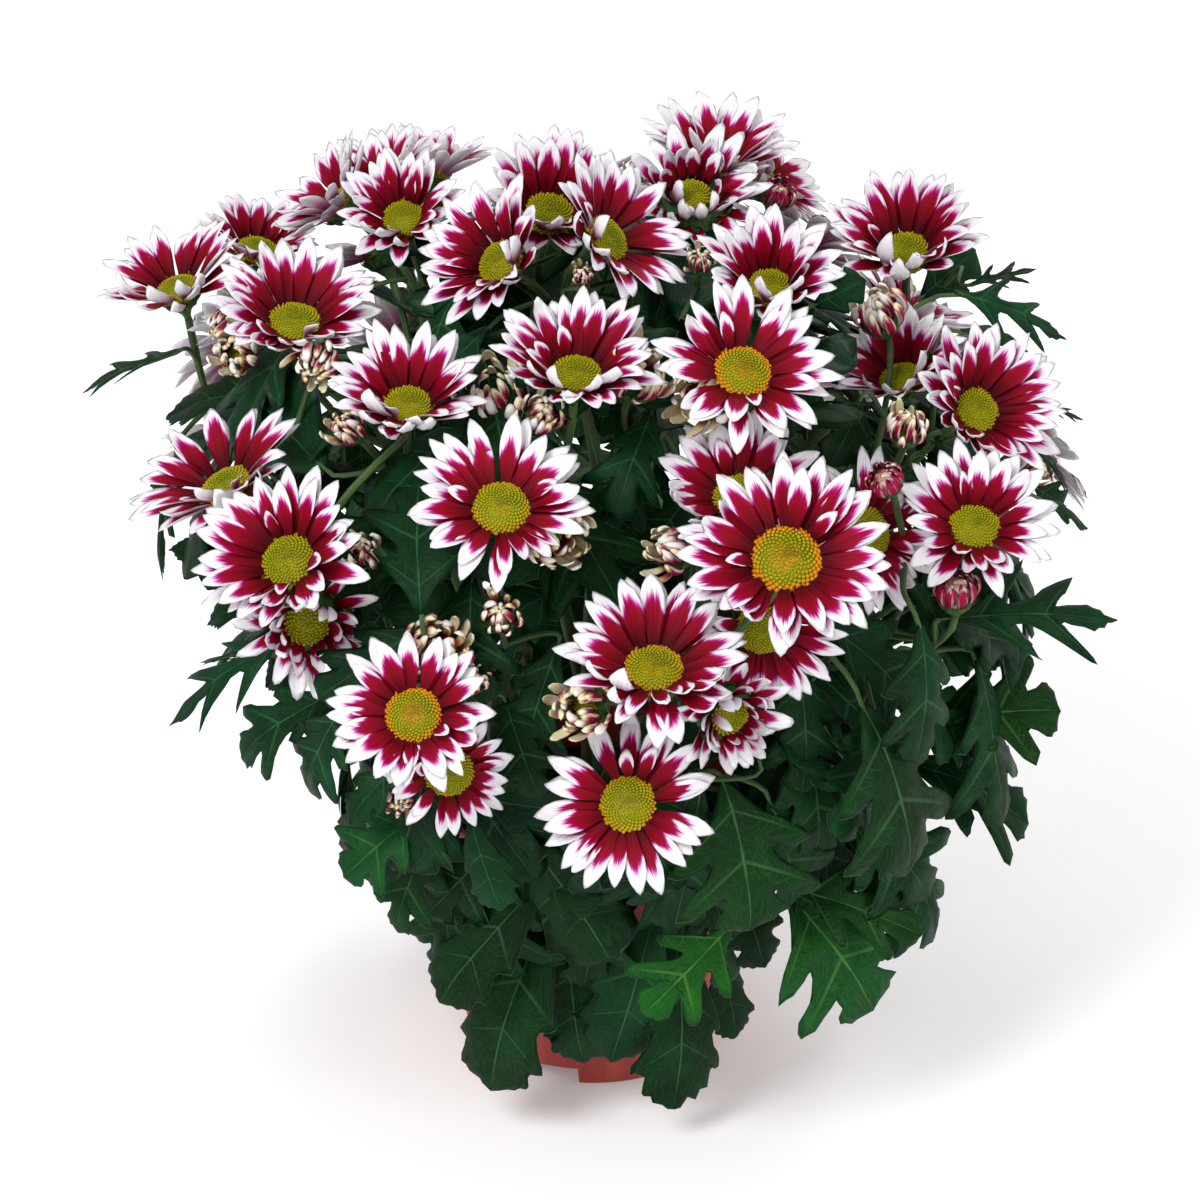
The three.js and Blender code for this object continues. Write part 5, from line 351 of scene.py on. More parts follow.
    (3, (-90.1, 37.4, 192.3), (-126.5, 59.5, 185.2), (-0.177, 0.027, 0.984), 0.78, 0.096, 0.19, 0, (-83.1, 34, 185.3, -85.6, 35.2, 189, -87.5, 35.8, 192.8, -90.1, 37.4, 192.3)),
    (4, (54.7, 70.9, 193), (33.6, 105.8, 168.5), (0.201, 0.641, 0.741), 0.71, 0.112, 0.17, 0, (60.4, 47.3, 190.8, 58.4, 55.5, 194.5, 57.9, 65.5, 196.8, 54.7, 70.9, 193)),
    (2, (86.2, -72.7, 159), (72.3, -135.7, 184.2), (0.646, 0.157, 0.747), 0.76, 0.067, 0.24, 0, (70.7, -54.2, 169.4, 76.1, -60.7, 168.9, 87.7, -65.6, 156.1, 86.2, -72.7, 159)),
    (2, (49.6, -86.2, 225.1), (46.8, -137.1, 196.2), (0.23, -0.491, 0.84), 0.6, 0.049, 0.1, 0, (51.9, -87.2, 233, 51.1, -86.8, 231.2, 49.7, -84.1, 226.3, 49.6, -86.2, 225.1)),
    (2, (21.4, -80.6, 292.5), (7.1, -111.3, 266.8), (0.055, -0.658, 0.751), 0.63, 0.052, 0.2, 0, (12.4, -77.1, 280.7, 15.5, -78.3, 286.7, 23, -77.3, 295.3, 21.4, -80.6, 292.5)),
    (1, (-47.7, -55.4, 177.9), (-105.8, -66, 165.5), (-0.136, -0.347, 0.928), 0.76, 0.032, 0.29, 0, (-32.7, -49.9, 173.8, -37.9, -51.9, 177.2, -42.9, -54.6, 178.9, -47.7, -55.4, 177.9)),
    (1, (-74, -54.7, 251.4), (-127.1, -34.8, 221.6), (-0.545, -0.256, 0.799), 0.75, 0.097, 0.21, 0, (-66.2, -73.4, 256, -69, -66.9, 256.9, -68.9, -56.7, 254.3, -74, -54.7, 251.4)),
    (1, (-65.5, -56.1, 227.6), (-91.7, -91.7, 229), (-0.074, 0.094, 0.993), 0.67, 0.041, 0.15, 0, (-51.5, -58.8, 204.2, -56.4, -57.9, 215.7, -60.6, -49.5, 227.4, -65.5, -56.1, 227.6)),
    (3, (-61.7, 79.4, 154.6), (-119.3, 67.2, 154), (-0.114, 0.498, 0.86), 0.68, 0.059, 0.19, 0, (-38.1, 51.6, 157.5, -46.3, 61.3, 160.9, -51, 81.6, 154.8, -61.7, 79.4, 154.6)),
    (2, (71.3, -46, 185.4), (111.5, -28.4, 161.7), (0.567, -0.231, 0.79), 0.64, 0.108, 0.29, 0, (60.4, -43.4, 184.1, 64.2, -44.3, 185.9, 68.6, -47.1, 187, 71.3, -46, 185.4)),
    (3, (-52.4, 50.7, 239.1), (-62.9, 102.7, 261.9), (-0.345, -0.433, 0.833), 0.61, 0.105, 0.22, 0, (-66.8, 43.1, 242.3, -61.8, 45.7, 243.2, -51.5, 46.1, 237.1, -52.4, 50.7, 239.1)),
    (4, (73.1, 65.4, 266.1), (109.5, 88.5, 226.8), (0.513, 0.443, 0.735), 0.61, 0.096, 0.26, 0, (53.1, 64.4, 268.4, 60.1, 64.7, 270, 69.3, 63, 270.2, 73.1, 65.4, 266.1)),
    (3, (-76.6, 77.9, 230.9), (-71.7, 118.7, 212), (-0.355, 0.427, 0.831), 0.71, 0.074, 0.11, 0, (-68.8, 60.1, 233.4, -71.5, 66.4, 234.9, -77.2, 72.6, 233.3, -76.6, 77.9, 230.9)),
    (4, (81.5, 47.3, 210.5), (87.1, 88, 194.8), (0.444, 0.27, 0.855), 0.79, 0.079, 0.1, 0, (72.2, 48, 207.2, 75.5, 47.8, 209.5, 81.2, 44.6, 211.5, 81.5, 47.3, 210.5)),
    (4, (88, 19.7, 190.7), (108.8, 52.4, 141), (0.709, 0.414, 0.57), 0.59, 0.073, 0.24, 0, (106.8, 35.6, 196.7, 100.2, 30, 197.6, 85.5, 15.7, 196.7, 88, 19.7, 190.7)),
    (2, (47.1, -49.2, 268.1), (91.6, -90.5, 296.7), (-0.373, 0.222, 0.901), 0.72, 0.063, 0.26, 0, (55.6, -51.4, 269.6, 52.7, -50.7, 270.1, 45.3, -47.5, 266.9, 47.1, -49.2, 268.1)),
    (4, (108.5, 12.1, 197.4), (161.5, 22.5, 160.5), (0.56, 0.074, 0.825), 0.7, 0.09, 0.24, 0, (106.8, 35.6, 196.7, 107.4, 27.4, 199.8, 102.8, 11, 201.4, 108.5, 12.1, 197.4)),
    (4, (91.6, 72.8, 219.5), (148.5, 81.4, 197), (0.308, 0.316, 0.897), 0.66, 0.068, 0.2, 0, (87, 95.6, 227.3, 88.7, 87.5, 227.2, 85.4, 71.8, 222, 91.6, 72.8, 219.5)),
    (0, (-17.3, -38.9, 302.1), (27.5, -83.4, 296.7), (-0.245, -0.355, 0.902), 0.66, 0.092, 0.17, 0, (-9.8, -35.2, 309.8, -12.4, -36.6, 308.4, -19.6, -36.6, 302.3, -17.3, -38.9, 302.1)),
    (2, (75.1, -61.5, 237.5), (135.8, -62.8, 208), (0.409, -0.319, 0.855), 0.76, 0.085, 0.05, 0, (45.6, -64.9, 245.4, 55.9, -63.7, 246.3, 66.8, -61.3, 241.6, 75.1, -61.5, 237.5)),
    (4, (74.9, 88.5, 165), (77, 131.6, 151.7), (0.326, 0.264, 0.908), 0.79, 0.083, 0.06, 0, (43.1, 76, 171.7, 54.2, 80.3, 173.5, 74.4, 78.5, 168.1, 74.9, 88.5, 165)),
    (0, (-2.8, 63.5, 260.9), (-39, 109.4, 260.9), (0.241, 0.19, 0.952), 0.6, 0.08, 0.29, 0, (12, 26.9, 265.4, 6.8, 39.7, 268.6, 4.6, 54.2, 260.9, -2.8, 63.5, 260.9)),
    (0, (12.5, -10.5, 319.7), (41.7, -27.2, 280.4), (0.622, -0.439, 0.649), 0.79, 0.091, 0.36, 0, (-12.4, -30.4, 308.7, -3.5, -23.5, 316.4, 7.3, -7.5, 326.7, 12.5, -10.5, 319.7)),
    (4, (92.7, 44.5, 242.8), (118, 73.6, 190.4), (0.667, 0.467, 0.581), 0.59, 0.088, 0.07, 0, (96.2, 39.7, 244, 94.9, 41.4, 244.3, 92, 43.7, 244.3, 92.7, 44.5, 242.8)),
    (2, (33.5, -105.8, 164.7), (68.1, -117, 134), (0.401, -0.616, 0.678), 0.7, 0.033, 0.38, 0, (28.1, -107.4, 166.3, 30, -106.8, 166.5, 32.3, -105.4, 165.8, 33.5, -105.8, 164.7)),
    (0, (48.7, -36.8, 284.5), (91.7, -61.8, 301.3), (-0.335, 0.056, 0.94), 0.8, 0.091, 0.27, 0, (21.1, -23.1, 285.1, 30.8, -27.9, 288.6, 41.2, -32.4, 281.6, 48.7, -36.8, 284.5)),
    (3, (-63.4, 78.9, 265.6), (-72, 112.1, 238.5), (-0.343, 0.539, 0.769), 0.74, 0.067, 0.13, 0, (-71.6, 73.8, 263.4, -68.7, 75.6, 265.4, -62.8, 76.6, 267.5, -63.4, 78.9, 265.6)),
    (3, (-118.8, -6.3, 183.5), (-148.1, -2.8, 196), (0.362, -0.209, 0.909), 0.768, 0.089, 0.25, 0, (-83.1, 34, 185.3, -95.6, 19.9, 191.2, -104, -8, 177.3, -118.8, -6.3, 183.5)),
    (0, (-9.1, 64.6, 279.2), (35.1, 105.1, 271.9), (-0.194, 0.376, 0.906), 0.63, 0.047, 0.16, 0, (14.1, 37.3, 286.2, 6, 46.9, 288.1, -17.2, 57.3, 280.5, -9.1, 64.6, 279.2)),
    (4, (81.5, 49.9, 207.7), (86.8, 83.9, 171.9), (0.504, 0.588, 0.633), 0.58, 0.085, 0.36, 0, (72.2, 48, 207.2, 75.5, 48.7, 208.5, 81.2, 47.9, 209.8, 81.5, 49.9, 207.7)),
    (1, (-84.5, -47.6, 223.4), (-108.6, -86.9, 184.6), (-0.52, -0.417, 0.746), 0.76, 0.118, 0.36, 0, (-89.9, -25.3, 233.6, -88.1, -33.1, 233, -81.5, -42.7, 228.3, -84.5, -47.6, 223.4)),
    (3, (-18.9, 77.6, 132.5), (-52.1, 102.6, 60.9), (-0.204, 0.891, 0.406), 0.7, 0.077, 0.4, 1, (-38.1, 51.6, 157.5, -31.3, 60.7, 153.7, -13.9, 73.9, 143.1, -18.9, 77.6, 132.5)),
    (4, (38.3, 72.2, 102.2), (70.8, 75.2, 50.3), (0.458, 0.823, 0.335), 0.7, 0.108, 0.23, 1, (33.9, 38, 118.7, 35.4, 50, 117.5, 32.2, 71.6, 111.9, 38.3, 72.2, 102.2)),
    (3, (-75.6, 7.1, 128.6), (-89.7, 22.6, 82.6), (-0.832, 0.03, 0.554), 0.79, 0.073, 0.24, 1, (-50.8, 38, 156.4, -59.5, 27.2, 152.5, -67.9, 3.2, 140.3, -75.6, 7.1, 128.6)),
    (3, (-34, 61.3, 98.8), (-59.4, 94.4, 35.3), (-0.394, 0.741, 0.544), 0.68, 0.098, 0.28, 1, (-33.9, 37.1, 118.7, -33.9, 45.6, 115.5, -30.9, 57.2, 106.7, -34, 61.3, 98.8)),
    (3, (-79.7, 19.9, 107.4), (-95.8, 12, 62.3), (-0.808, 0.256, 0.53), 0.67, 0.08, 0.49, 1, (-33.9, 37.1, 118.7, -49.9, 31.1, 120.8, -71.1, 22, 119.6, -79.7, 19.9, 107.4)),
    (4, (38.1, 70, 100.7), (21.3, 96.2, 36.8), (0.415, 0.875, 0.25), 0.76, 0.057, 0.23, 1, (33.9, 38, 118.7, 35.3, 49.2, 116.8, 40.7, 65.9, 110.7, 38.1, 70, 100.7)),
    (4, (35.1, 80.5, 133.7), (31.1, 132, 68.1), (0.39, 0.736, 0.554), 0.61, 0.11, 0.28, 1, (38.6, 60.7, 156.1, 37.4, 67.6, 151.9, 35.5, 75, 140.8, 35.1, 80.5, 133.7)),
    (3, (-76.3, 34.4, 116.9), (-83.6, 38.3, 76.4), (-0.788, 0.373, 0.489), 0.71, 0.107, 0.12, 1, (-33.9, 37.1, 118.7, -48.7, 36.1, 123.2, -70, 33.3, 127.9, -76.3, 34.4, 116.9)),
    (4, (8.6, 76.2, 109.1), (-16.3, 117.7, 65.3), (0.228, 0.768, 0.599), 0.68, 0.079, 0.28, 1, (33.9, 38, 118.7, 25, 51.4, 120.9, 13.9, 67.2, 118.5, 8.6, 76.2, 109.1)),
    (4, (56.4, 46.6, 98.5), (72.7, 46.7, 40.7), (0.77, 0.6, 0.217), 0.79, 0.092, 0.4, 1, (33.9, 38, 118.7, 41.8, 41, 115.4, 53.9, 46.6, 107.6, 56.4, 46.6, 98.5)),
    (3, (-63.7, 63.5, 105.8), (-87, 108, 45.2), (-0.598, 0.519, 0.611), 0.7, 0.071, 0.23, 1, (-40.5, 42.4, 137.7, -48.6, 49.8, 131.9, -59.7, 55.9, 116.2, -63.7, 63.5, 105.8)),
    (3, (-63.9, 32.7, 120), (-89.4, 27.3, 61.7), (-0.812, 0.426, 0.4), 0.74, 0.106, 0.13, 1, (-40.5, 42.4, 137.7, -48.7, 39, 135.2, -59.5, 33.4, 128.1, -63.9, 32.7, 120)),
    (4, (9.8, 71.7, 105.4), (-6, 107.2, 57), (0.182, 0.82, 0.543), 0.73, 0.117, 0.5, 1, (33.9, 38, 118.7, 25.4, 49.8, 119.2, 13.1, 64.2, 115.6, 9.8, 71.7, 105.4)),
    (3, (-86.1, 33, 125.5), (-97.2, 15.4, 75.4), (-0.874, 0.327, 0.358), 0.61, 0.07, 0.22, 1, (-50.8, 38, 156.4, -63.2, 36.2, 151.3, -79.7, 37.1, 137.4, -86.1, 33, 125.5)),
    (3, (-17.4, 72.5, 107.7), (-48.5, 90.1, 43.6), (-0.224, 0.907, 0.357), 0.65, 0.118, 0.23, 1, (-33.9, 37.1, 118.7, -28.1, 49.5, 119.7, -12.2, 69.6, 118.3, -17.4, 72.5, 107.7)),
    (3, (-48.5, 63.2, 100.8), (-64.9, 60.1, 44.2), (-0.65, 0.746, 0.147), 0.66, 0.09, 0.41, 1, (-33.9, 37.1, 118.7, -39, 46.2, 116.7, -45.6, 63.8, 110.9, -48.5, 63.2, 100.8)),
    (3, (-74.1, 24.2, 116.2), (-81, 0.6, 73.4), (-0.903, 0.268, 0.335), 0.64, 0.106, 0.26, 1, (-33.9, 37.1, 118.7, -48, 32.6, 122.9, -68.8, 29.8, 126.2, -74.1, 24.2, 116.2)),
    (3, (-80.5, 27.4, 100.7), (-87.3, 43.9, 45.6), (-0.911, 0.352, 0.216), 0.73, 0.075, 0.44, 1, (-33.9, 37.1, 118.7, -50.2, 33.7, 118.6, -78.8, 23.1, 115.3, -80.5, 27.4, 100.7)),
    (3, (-27.6, 89.7, 111.7), (-25.4, 125.8, 52.5), (-0.28, 0.824, 0.493), 0.67, 0.119, 0.35, 1, (-33.9, 37.1, 118.7, -31.7, 55.5, 122.7, -28.1, 81.3, 125.4, -27.6, 89.7, 111.7)),
    (4, (19.4, 74.8, 118), (-7.7, 109, 66.7), (0.266, 0.861, 0.434), 0.65, 0.079, 0.28, 1, (35.1, 46.9, 139, 29.6, 56.7, 136.2, 24, 68.9, 126.7, 19.4, 74.8, 118)),
    (3, (-49.4, 72.1, 116.3), (-54.1, 84.6, 61.5), (-0.543, 0.807, 0.231), 0.76, 0.076, 0.13, 1, (-40.5, 42.4, 137.7, -43.6, 52.8, 134.8, -48.4, 69.6, 127.3, -49.4, 72.1, 116.3)),
    (4, (66.4, 31.1, 110.9), (116.4, 22.9, 62.1), (0.661, 0.449, 0.602), 0.78, 0.055, 0.1, 1, (33.9, 38, 118.7, 45.2, 35.6, 120.1, 59.1, 32.3, 118, 66.4, 31.1, 110.9)),
    (4, (32.1, 68, 104.3), (50.1, 109.8, 68.8), (0.277, 0.549, 0.789), 0.7, 0.087, 0.17, 1, (33.9, 38, 118.7, 33.2, 48.5, 117.6, 29, 60.7, 110.4, 32.1, 68, 104.3)),
    (3, (-77.7, 28.7, 120.3), (-79.3, 16.6, 86.3), (-0.884, 0.314, 0.347), 0.78, 0.073, 0.12, 1, (-50.8, 38, 156.4, -60.2, 34.7, 149.3, -71.6, 32.9, 132, -77.7, 28.7, 120.3)),
    (4, (26.9, 80.3, 112.4), (33.3, 107.5, 40.2), (0.296, 0.885, 0.36), 0.76, 0.097, 0.15, 1, (33.9, 38, 118.7, 31.4, 52.8, 121.7, 25.9, 75.7, 124.5, 26.9, 80.3, 112.4)),
    (4, (19.1, 71.3, 131.1), (45.1, 97.6, 83.3), (0.158, 0.827, 0.539), 0.72, 0.102, 0.25, 1, (35.1, 46.9, 139, 29.5, 55.5, 139.8, 15.2, 67.4, 138.3, 19.1, 71.3, 131.1)),
    (2, (71.6, -108, 118.4), (119.6, -106, 98.4), (0.298, -0.745, 0.596), 0.62, 0.06, 0.5, 1, (25.1, -105.2, 128.8, 41.4, -106.2, 133.1, 59, -110, 125.1, 71.6, -108, 118.4)),
    (1, (-33.6, -100, 128.7), (-31.5, -92, 69), (-0.302, -0.905, 0.302), 0.6, 0.06, 0.15, 1, (-29.5, -53.6, 138.8, -31, -69.9, 143.2, -34.7, -103.7, 143.4, -33.6, -100, 128.7)),
    (2, (4.3, -104, 126.8), (-3, -92, 66.8), (0, -0.954, 0.301), 0.56, 0.06, 0.25, 1, (25.2, -104, 128.8, 17.9, -104, 136.1, 5.1, -107.1, 133.5, 4.3, -104, 126.8)),
    (2, (41.7, -98, 121), (48.6, -86, 63.3), (0.406, -0.862, 0.304), 0.56, 0.06, 0.15, 1, (26.4, -95.8, 129.1, 31.8, -96.6, 134.3, 41.9, -100.8, 126.7, 41.7, -98, 121)),
    (1, (-49.2, -96, 127.3), (-52.7, -92, 76.1), (-0.505, -0.808, 0.303), 0.6, 0.06, 0.1, 1, (-29.5, -53.6, 138.8, -36.4, -68.5, 142.7, -49.2, -98.7, 142.3, -49.2, -96, 127.3)),
    (2, (110.9, -92, 185.5), (140.9, -84, 162.3), (0.355, -0.71, 0.608), 0.75, 0.06, 0.3, 1, (109.7, -81.8, 196.7, 110.2, -85.3, 200.8, 108.1, -94.4, 189.4, 110.9, -92, 185.5)),
    (2, (91.6, -104, 151.8), (122.1, -98, 105.8), (0.497, -0.795, 0.348), 0.72, 0.06, 0.25, 1, (64.1, -49.6, 162.3, 73.7, -68.7, 166.6, 82.5, -107.6, 167.9, 91.6, -104, 151.8)),
    (2, (37.5, -134, 171.6), (30, -118, 106.9), (0.101, -0.909, 0.404), 0.7, 0.06, 0.3, 1, (20.3, -126.6, 161.8, 26.3, -129.2, 173.2, 38.4, -137.3, 178.5, 37.5, -134, 171.6)),
    (2, (62, -130, 165.5), (73.9, -120, 118.2), (0.356, -0.864, 0.356), 0.75, 0.06, 0.35, 1, (25.3, -114.4, 164.3, 38.2, -119.9, 172.8, 59.9, -134.1, 177.6, 62, -130, 165.5)),
    (4, (124.5, 59.9, 279.9), (146.5, 80.1, 292.2), (0.303, -0.714, 0.631), 0.7, 0.04, 0.01, 0, (118.3, 54.2, 276.4, 119.8, 55.5, 277.2, 121.3, 56.9, 278, 124.5, 59.9, 279.9)),
    (4, (76.5, 36.9, 144.8), (118.4, 23.1, 104.2), (0.037, -0.934, 0.354), 0.72, 0.04, 0.01, 0, (63.9, 41, 157, 68.3, 39.6, 152.7, 72.7, 38.1, 148.5, 76.5, 36.9, 144.8)),
    (2, (78.2, -44.4, 316.7), (96.6, -39.6, 324), (0.075, -0.909, 0.409), 0.8, 0.04, 0.13, 0, (61.8, -48.6, 310.3, 64, -48.1, 311.2, 66.3, -47.5, 312.1, 78.2, -44.4, 316.7)),
    (4, (32.8, 72.8, 173.1), (1.9, 67.2, 151.7), (-0.087, -0.927, 0.364), 0.7, 0.04, 0.18, 0, (33.1, 72.8, 173.3, 33, 72.8, 173.2, 32.9, 72.8, 173.1, 32.8, 72.8, 173.1)),
    (3, (-71.9, 34.3, 173.9), (-94.8, 25.7, 144.8), (-0.037, -0.949, 0.313), 0.76, 0.04, 0, 0, (-70.6, 34.8, 175.6, -71.1, 34.7, 175, -71.5, 34.5, 174.4, -71.9, 34.3, 173.9)),
    (3, (-28.9, 57.3, 162.3), (18.2, 66.7, 144.5), (0.302, -0.894, 0.332), 0.69, 0.04, 0.06, 0, (-36.8, 55.8, 165.3, -34, 56.3, 164.3, -31.3, 56.9, 163.2, -28.9, 57.3, 162.3)),
    (4, (71.1, 35.6, 130.9), (116.2, 24.4, 93), (0.065, -0.933, 0.353), 0.7, 0.04, 0.03, 0, (53.3, 40, 145.8, 59.5, 38.4, 140.6, 65.7, 36.9, 135.4, 71.1, 35.6, 130.9)),
    (4, (33.3, 72.8, 173.3), (-3, 83.2, 177.2), (-0.206, -0.876, 0.437), 0.73, 0.04, 0.1, 0, (33.1, 72.8, 173.3, 33.2, 72.8, 173.3, 33.3, 72.8, 173.3, 33.3, 72.8, 173.3)),
    (4, (39, 80.5, 179.8), (4, 75.5, 193.7), (0.254, -0.916, 0.312), 0.79, 0.04, 0.02, 0, (44.6, 81.3, 177.6, 42.7, 81, 178.4, 40.7, 80.7, 179.2, 39, 80.5, 179.8)),
    (3, (-28.3, 83.7, 251.2), (-51, 72.3, 257.9), (0.497, -0.823, 0.276), 0.72, 0.04, 0.19, 0, (-13.5, 91.2, 246.8, -15.8, 90.1, 247.5, -18.1, 88.9, 248.1, -28.3, 83.7, 251.2)),
    (3, (-27.6, 41, 119.8), (6.7, 67, 136), (0.288, -0.748, 0.598), 0.69, 0.04, 0.15, 0, (-33.3, 36.6, 117.1, -31.3, 38.1, 118.1, -29.3, 39.7, 119, -27.6, 41, 119.8)),
    (3, (-33.1, 49.7, 149.5), (3, 58.3, 141.6), (0.292, -0.876, 0.385), 0.71, 0.04, 0.16, 0, (-39, 48.3, 150.8, -36.9, 48.8, 150.4, -34.9, 49.3, 149.9, -33.1, 49.7, 149.5)),
    (2, (79, -61.6, 139.7), (110.3, -86.4, 94.9), (-0.05, -0.887, 0.459), 0.71, 0.04, 0.16, 0, (63.6, -49.3, 161.8, 69, -53.6, 154, 74.4, -57.9, 146.3, 79, -61.6, 139.7)),
    (3, (-91.9, 78.4, 228.2), (-87.4, 77.6, 190.4), (0.108, -0.994, 0.034), 0.8, 0.04, 0.14, 0, (-91.8, 78.4, 227.9, -91.8, 78.4, 228, -91.9, 78.4, 228.3, -91.9, 78.4, 228.2)),
    (4, (123.6, 27, 177.3), (143, 17, 141.4), (0.004, -0.963, 0.269), 0.77, 0.04, 0.03, 0, (111.5, 33.2, 199.8, 114.3, 31.8, 194.6, 117.1, 30.3, 189.5, 123.6, 27, 177.3)),
    (4, (31.3, 78, 175.7), (35.5, 62, 141.6), (-0.02, -0.906, 0.423), 0.72, 0.04, 0, 0, (31.3, 78.1, 175.8, 31.3, 78, 175.8, 31.3, 78, 175.8, 31.3, 78, 175.7)),
    (4, (121, 82.7, 233.6), (147.5, 73.3, 208), (-0.021, -0.946, 0.323), 0.75, 0.04, 0.19, 0, (121.1, 82.6, 233.6, 121.1, 82.6, 233.6, 121, 82.7, 233.7, 121, 82.7, 233.6)),
    (3, (-37.7, 57.3, 168.1), (-73.8, 50.7, 158.3), (0.052, -0.905, 0.423), 0.69, 0.04, 0.16, 0, (-36.2, 57.6, 168.5, -36.7, 57.5, 168.4, -37.2, 57.4, 168.2, -37.7, 57.3, 168.1)),
    (2, (163.3, -6, 230.4), (175.4, 2, 219.4), (0.515, -0.856, -0.048), 0.73, 0.04, 0.05, 0, (156.2, -10.6, 236.9, 156.4, -10.5, 236.7, 156.6, -10.4, 236.6, 163.3, -6, 230.4)),
]
CUTTINGS = ["cutting_centre", "cutting_front_left", "cutting_front_right", "cutting_back_left", "cutting_back_right"]

# Florets that the eye can tell apart on the heads at the front. Directions are seen from the front: 0 right, 90 up.
# short name: (florets, share that is white, age of the disc 0 to 1, [(from, to, turn in degrees, where the bend starts)])
STYLE = {
    "F01": (24, 0.37, 0.2, [(200, 330, 70, 0.45)]),
    "F02": (32, 0.38, 0.3, [(215, 325, 45, 0.5)]),
    "F03": (26, 0.38, 0.3, []),
    "F04": (27, 0.40, 0.2, [(225, 300, 80, 0.4)]),
    "F05": (28, 0.40, 0.3, []),
    "F06": (28, 0.40, 0.3, [(150, 230, 40, 0.5)]),
    "F08": (30, 0.36, 0.4, [(215, 262, 100, 0.35), (262, 310, 50, 0.5)]),
    "F09": (27, 0.37, 0.5, [(300, 360, 60, 0.5)]),
    "F10": (27, 0.40, 0.2, [(160, 250, 70, 0.45)]),
    "F11": (30, 0.42, 0.3, []),
    "F13": (27, 0.42, 0.2, []),
    "F14": (28, 0.40, 0.4, [(240, 330, 60, 0.5)]),
    "F15": (26, 0.42, 0.8, [(120, 165, 50, 0.5)]),
    "F16": (30, 0.34, 0.3, [(225, 275, 105, 0.3), (275, 330, 60, 0.5)]),
    "F17": (28, 0.42, 0.2, [(230, 320, 60, 0.5)]),
    "F18": (30, 0.34, 0.4, [(195, 300, 55, 0.5)]),
    "F19": (24, 0.36, 0.3, [(250, 330, 60, 0.45)]),
    "F20": (30, 0.36, 0.4, [(250, 300, 50, 0.5)]),
    "F22": (26, 0.44, 0.5, [(285, 330, 30, 0.6)]),
    "F23": (32, 0.38, 0.6, [(200, 245, 95, 0.4), (285, 345, 70, 0.5)]),
    "F25": (26, 0.40, 0.3, [(180, 240, 60, 0.4)]),
    "F26": (34, 0.36, 1.0, [(205, 250, 85, 0.35), (140, 165, 60, 0.5)]),
    "F27": (28, 0.42, 0.2, [(300, 360, 60, 0.5)]),
    "F28": (26, 0.38, 0.3, []),
    "F29": (28, 0.44, 0.4, [(215, 300, 40, 0.5)]),
    "F31": (28, 0.42, 0.8, [(330, 355, 60, 0.5)]),
    "F32": (22, 0.44, 0.3, []),
    "F33": (25, 0.46, 0.5, [(20, 50, 60, 0.45)]),
    "F34": (28, 0.42, 0.5, [(215, 300, 60, 0.45)]),
    "F35": (32, 0.38, 0.3, [(205, 330, 55, 0.5)]),
}


CLOSED = {"B05", "B07", "B17"}  # buds that are still shut


# ---- mesh building ----------------------------------------------------------------------------
class Build:
    """Gathers closed shells and makes one mesh of them."""

    def __init__(self, name, materials):
        self.name, self.materials = name, materials
        self.v, self.q, self.m = [], [], []
        self.a = {"along": [], "across": [], "chance": [], "tone": []}
        self.n = 0

    def add(self, v, quads, mat=0, along=0.0, across=0.0, chance=0.0, tone=0.0):
        v = np.asarray(v, float).reshape(-1, 3)
        quads = np.asarray(quads, np.int64).reshape(-1, 4)
        self.v.append(v)
        self.q.append(np.where(quads < 0, -1, quads + self.n))
        self.m.append(np.broadcast_to(np.asarray(mat, np.int32), (len(quads),)).copy())
        for key, val in (("along", along), ("across", across), ("chance", chance), ("tone", tone)):
            self.a[key].append(np.broadcast_to(np.asarray(val, float).ravel() if np.ndim(val) else val, (len(v),)).astype(np.float32).copy())
        self.n += len(v)

    def make(self):
        v = np.concatenate(self.v)
        q = np.concatenate(self.q)
        m = np.concatenate(self.m)
        tri = q[:, 3] < 0
        total = np.where(tri, 3, 4)
        start = np.concatenate([[0], np.cumsum(total)[:-1]])
        loops = q.ravel()
        loops = loops[loops >= 0]
        me = bpy.data.meshes.new(self.name)
        me.vertices.add(len(v))
        me.vertices.foreach_set("co", (v * MM).astype(np.float32).ravel())
        me.loops.add(len(loops))
        me.loops.foreach_set("vertex_index", loops.astype(np.int32))
        me.polygons.add(len(q))
        me.polygons.foreach_set("loop_start", start.astype(np.int32))
        me.polygons.foreach_set("material_index", m.astype(np.int32))
        me.polygons.foreach_set("use_smooth", np.ones(len(q), bool))
        me.update(calc_edges=True)
        for key, parts in self.a.items():
            at = me.attributes.new(key, "FLOAT", "POINT")
            at.data.foreach_set("value", np.concatenate(parts))
        for mat in self.materials:
            me.materials.append(mat)
        me.validate()
        ob = bpy.data.objects.new(self.name, me)
        bpy.context.scene.collection.objects.link(ob)
        return ob


def unit(v):
    v = np.asarray(v, float)
    return v / np.linalg.norm(v, axis=-1, keepdims=True)


def smooth(a, b, x):
    t = np.clip((x - a) / (b - a), 0, 1)
    return t * t * (3 - 2 * t)


def head_frame(n):
    """Across, up and outward directions of a flower head: the first is to the right as seen from the front."""
    n = unit(np.array(n, float))
    x = np.array([1.0, 0, 0])
    if abs(n[0]) > 0.96:
        x = np.array([0, 1.0 if n[0] > 0 else -1.0, 0.0])
    e1 = unit(x - n * (x @ n))
    return np.stack([e1, np.cross(n, e1), n])


_topo = {}


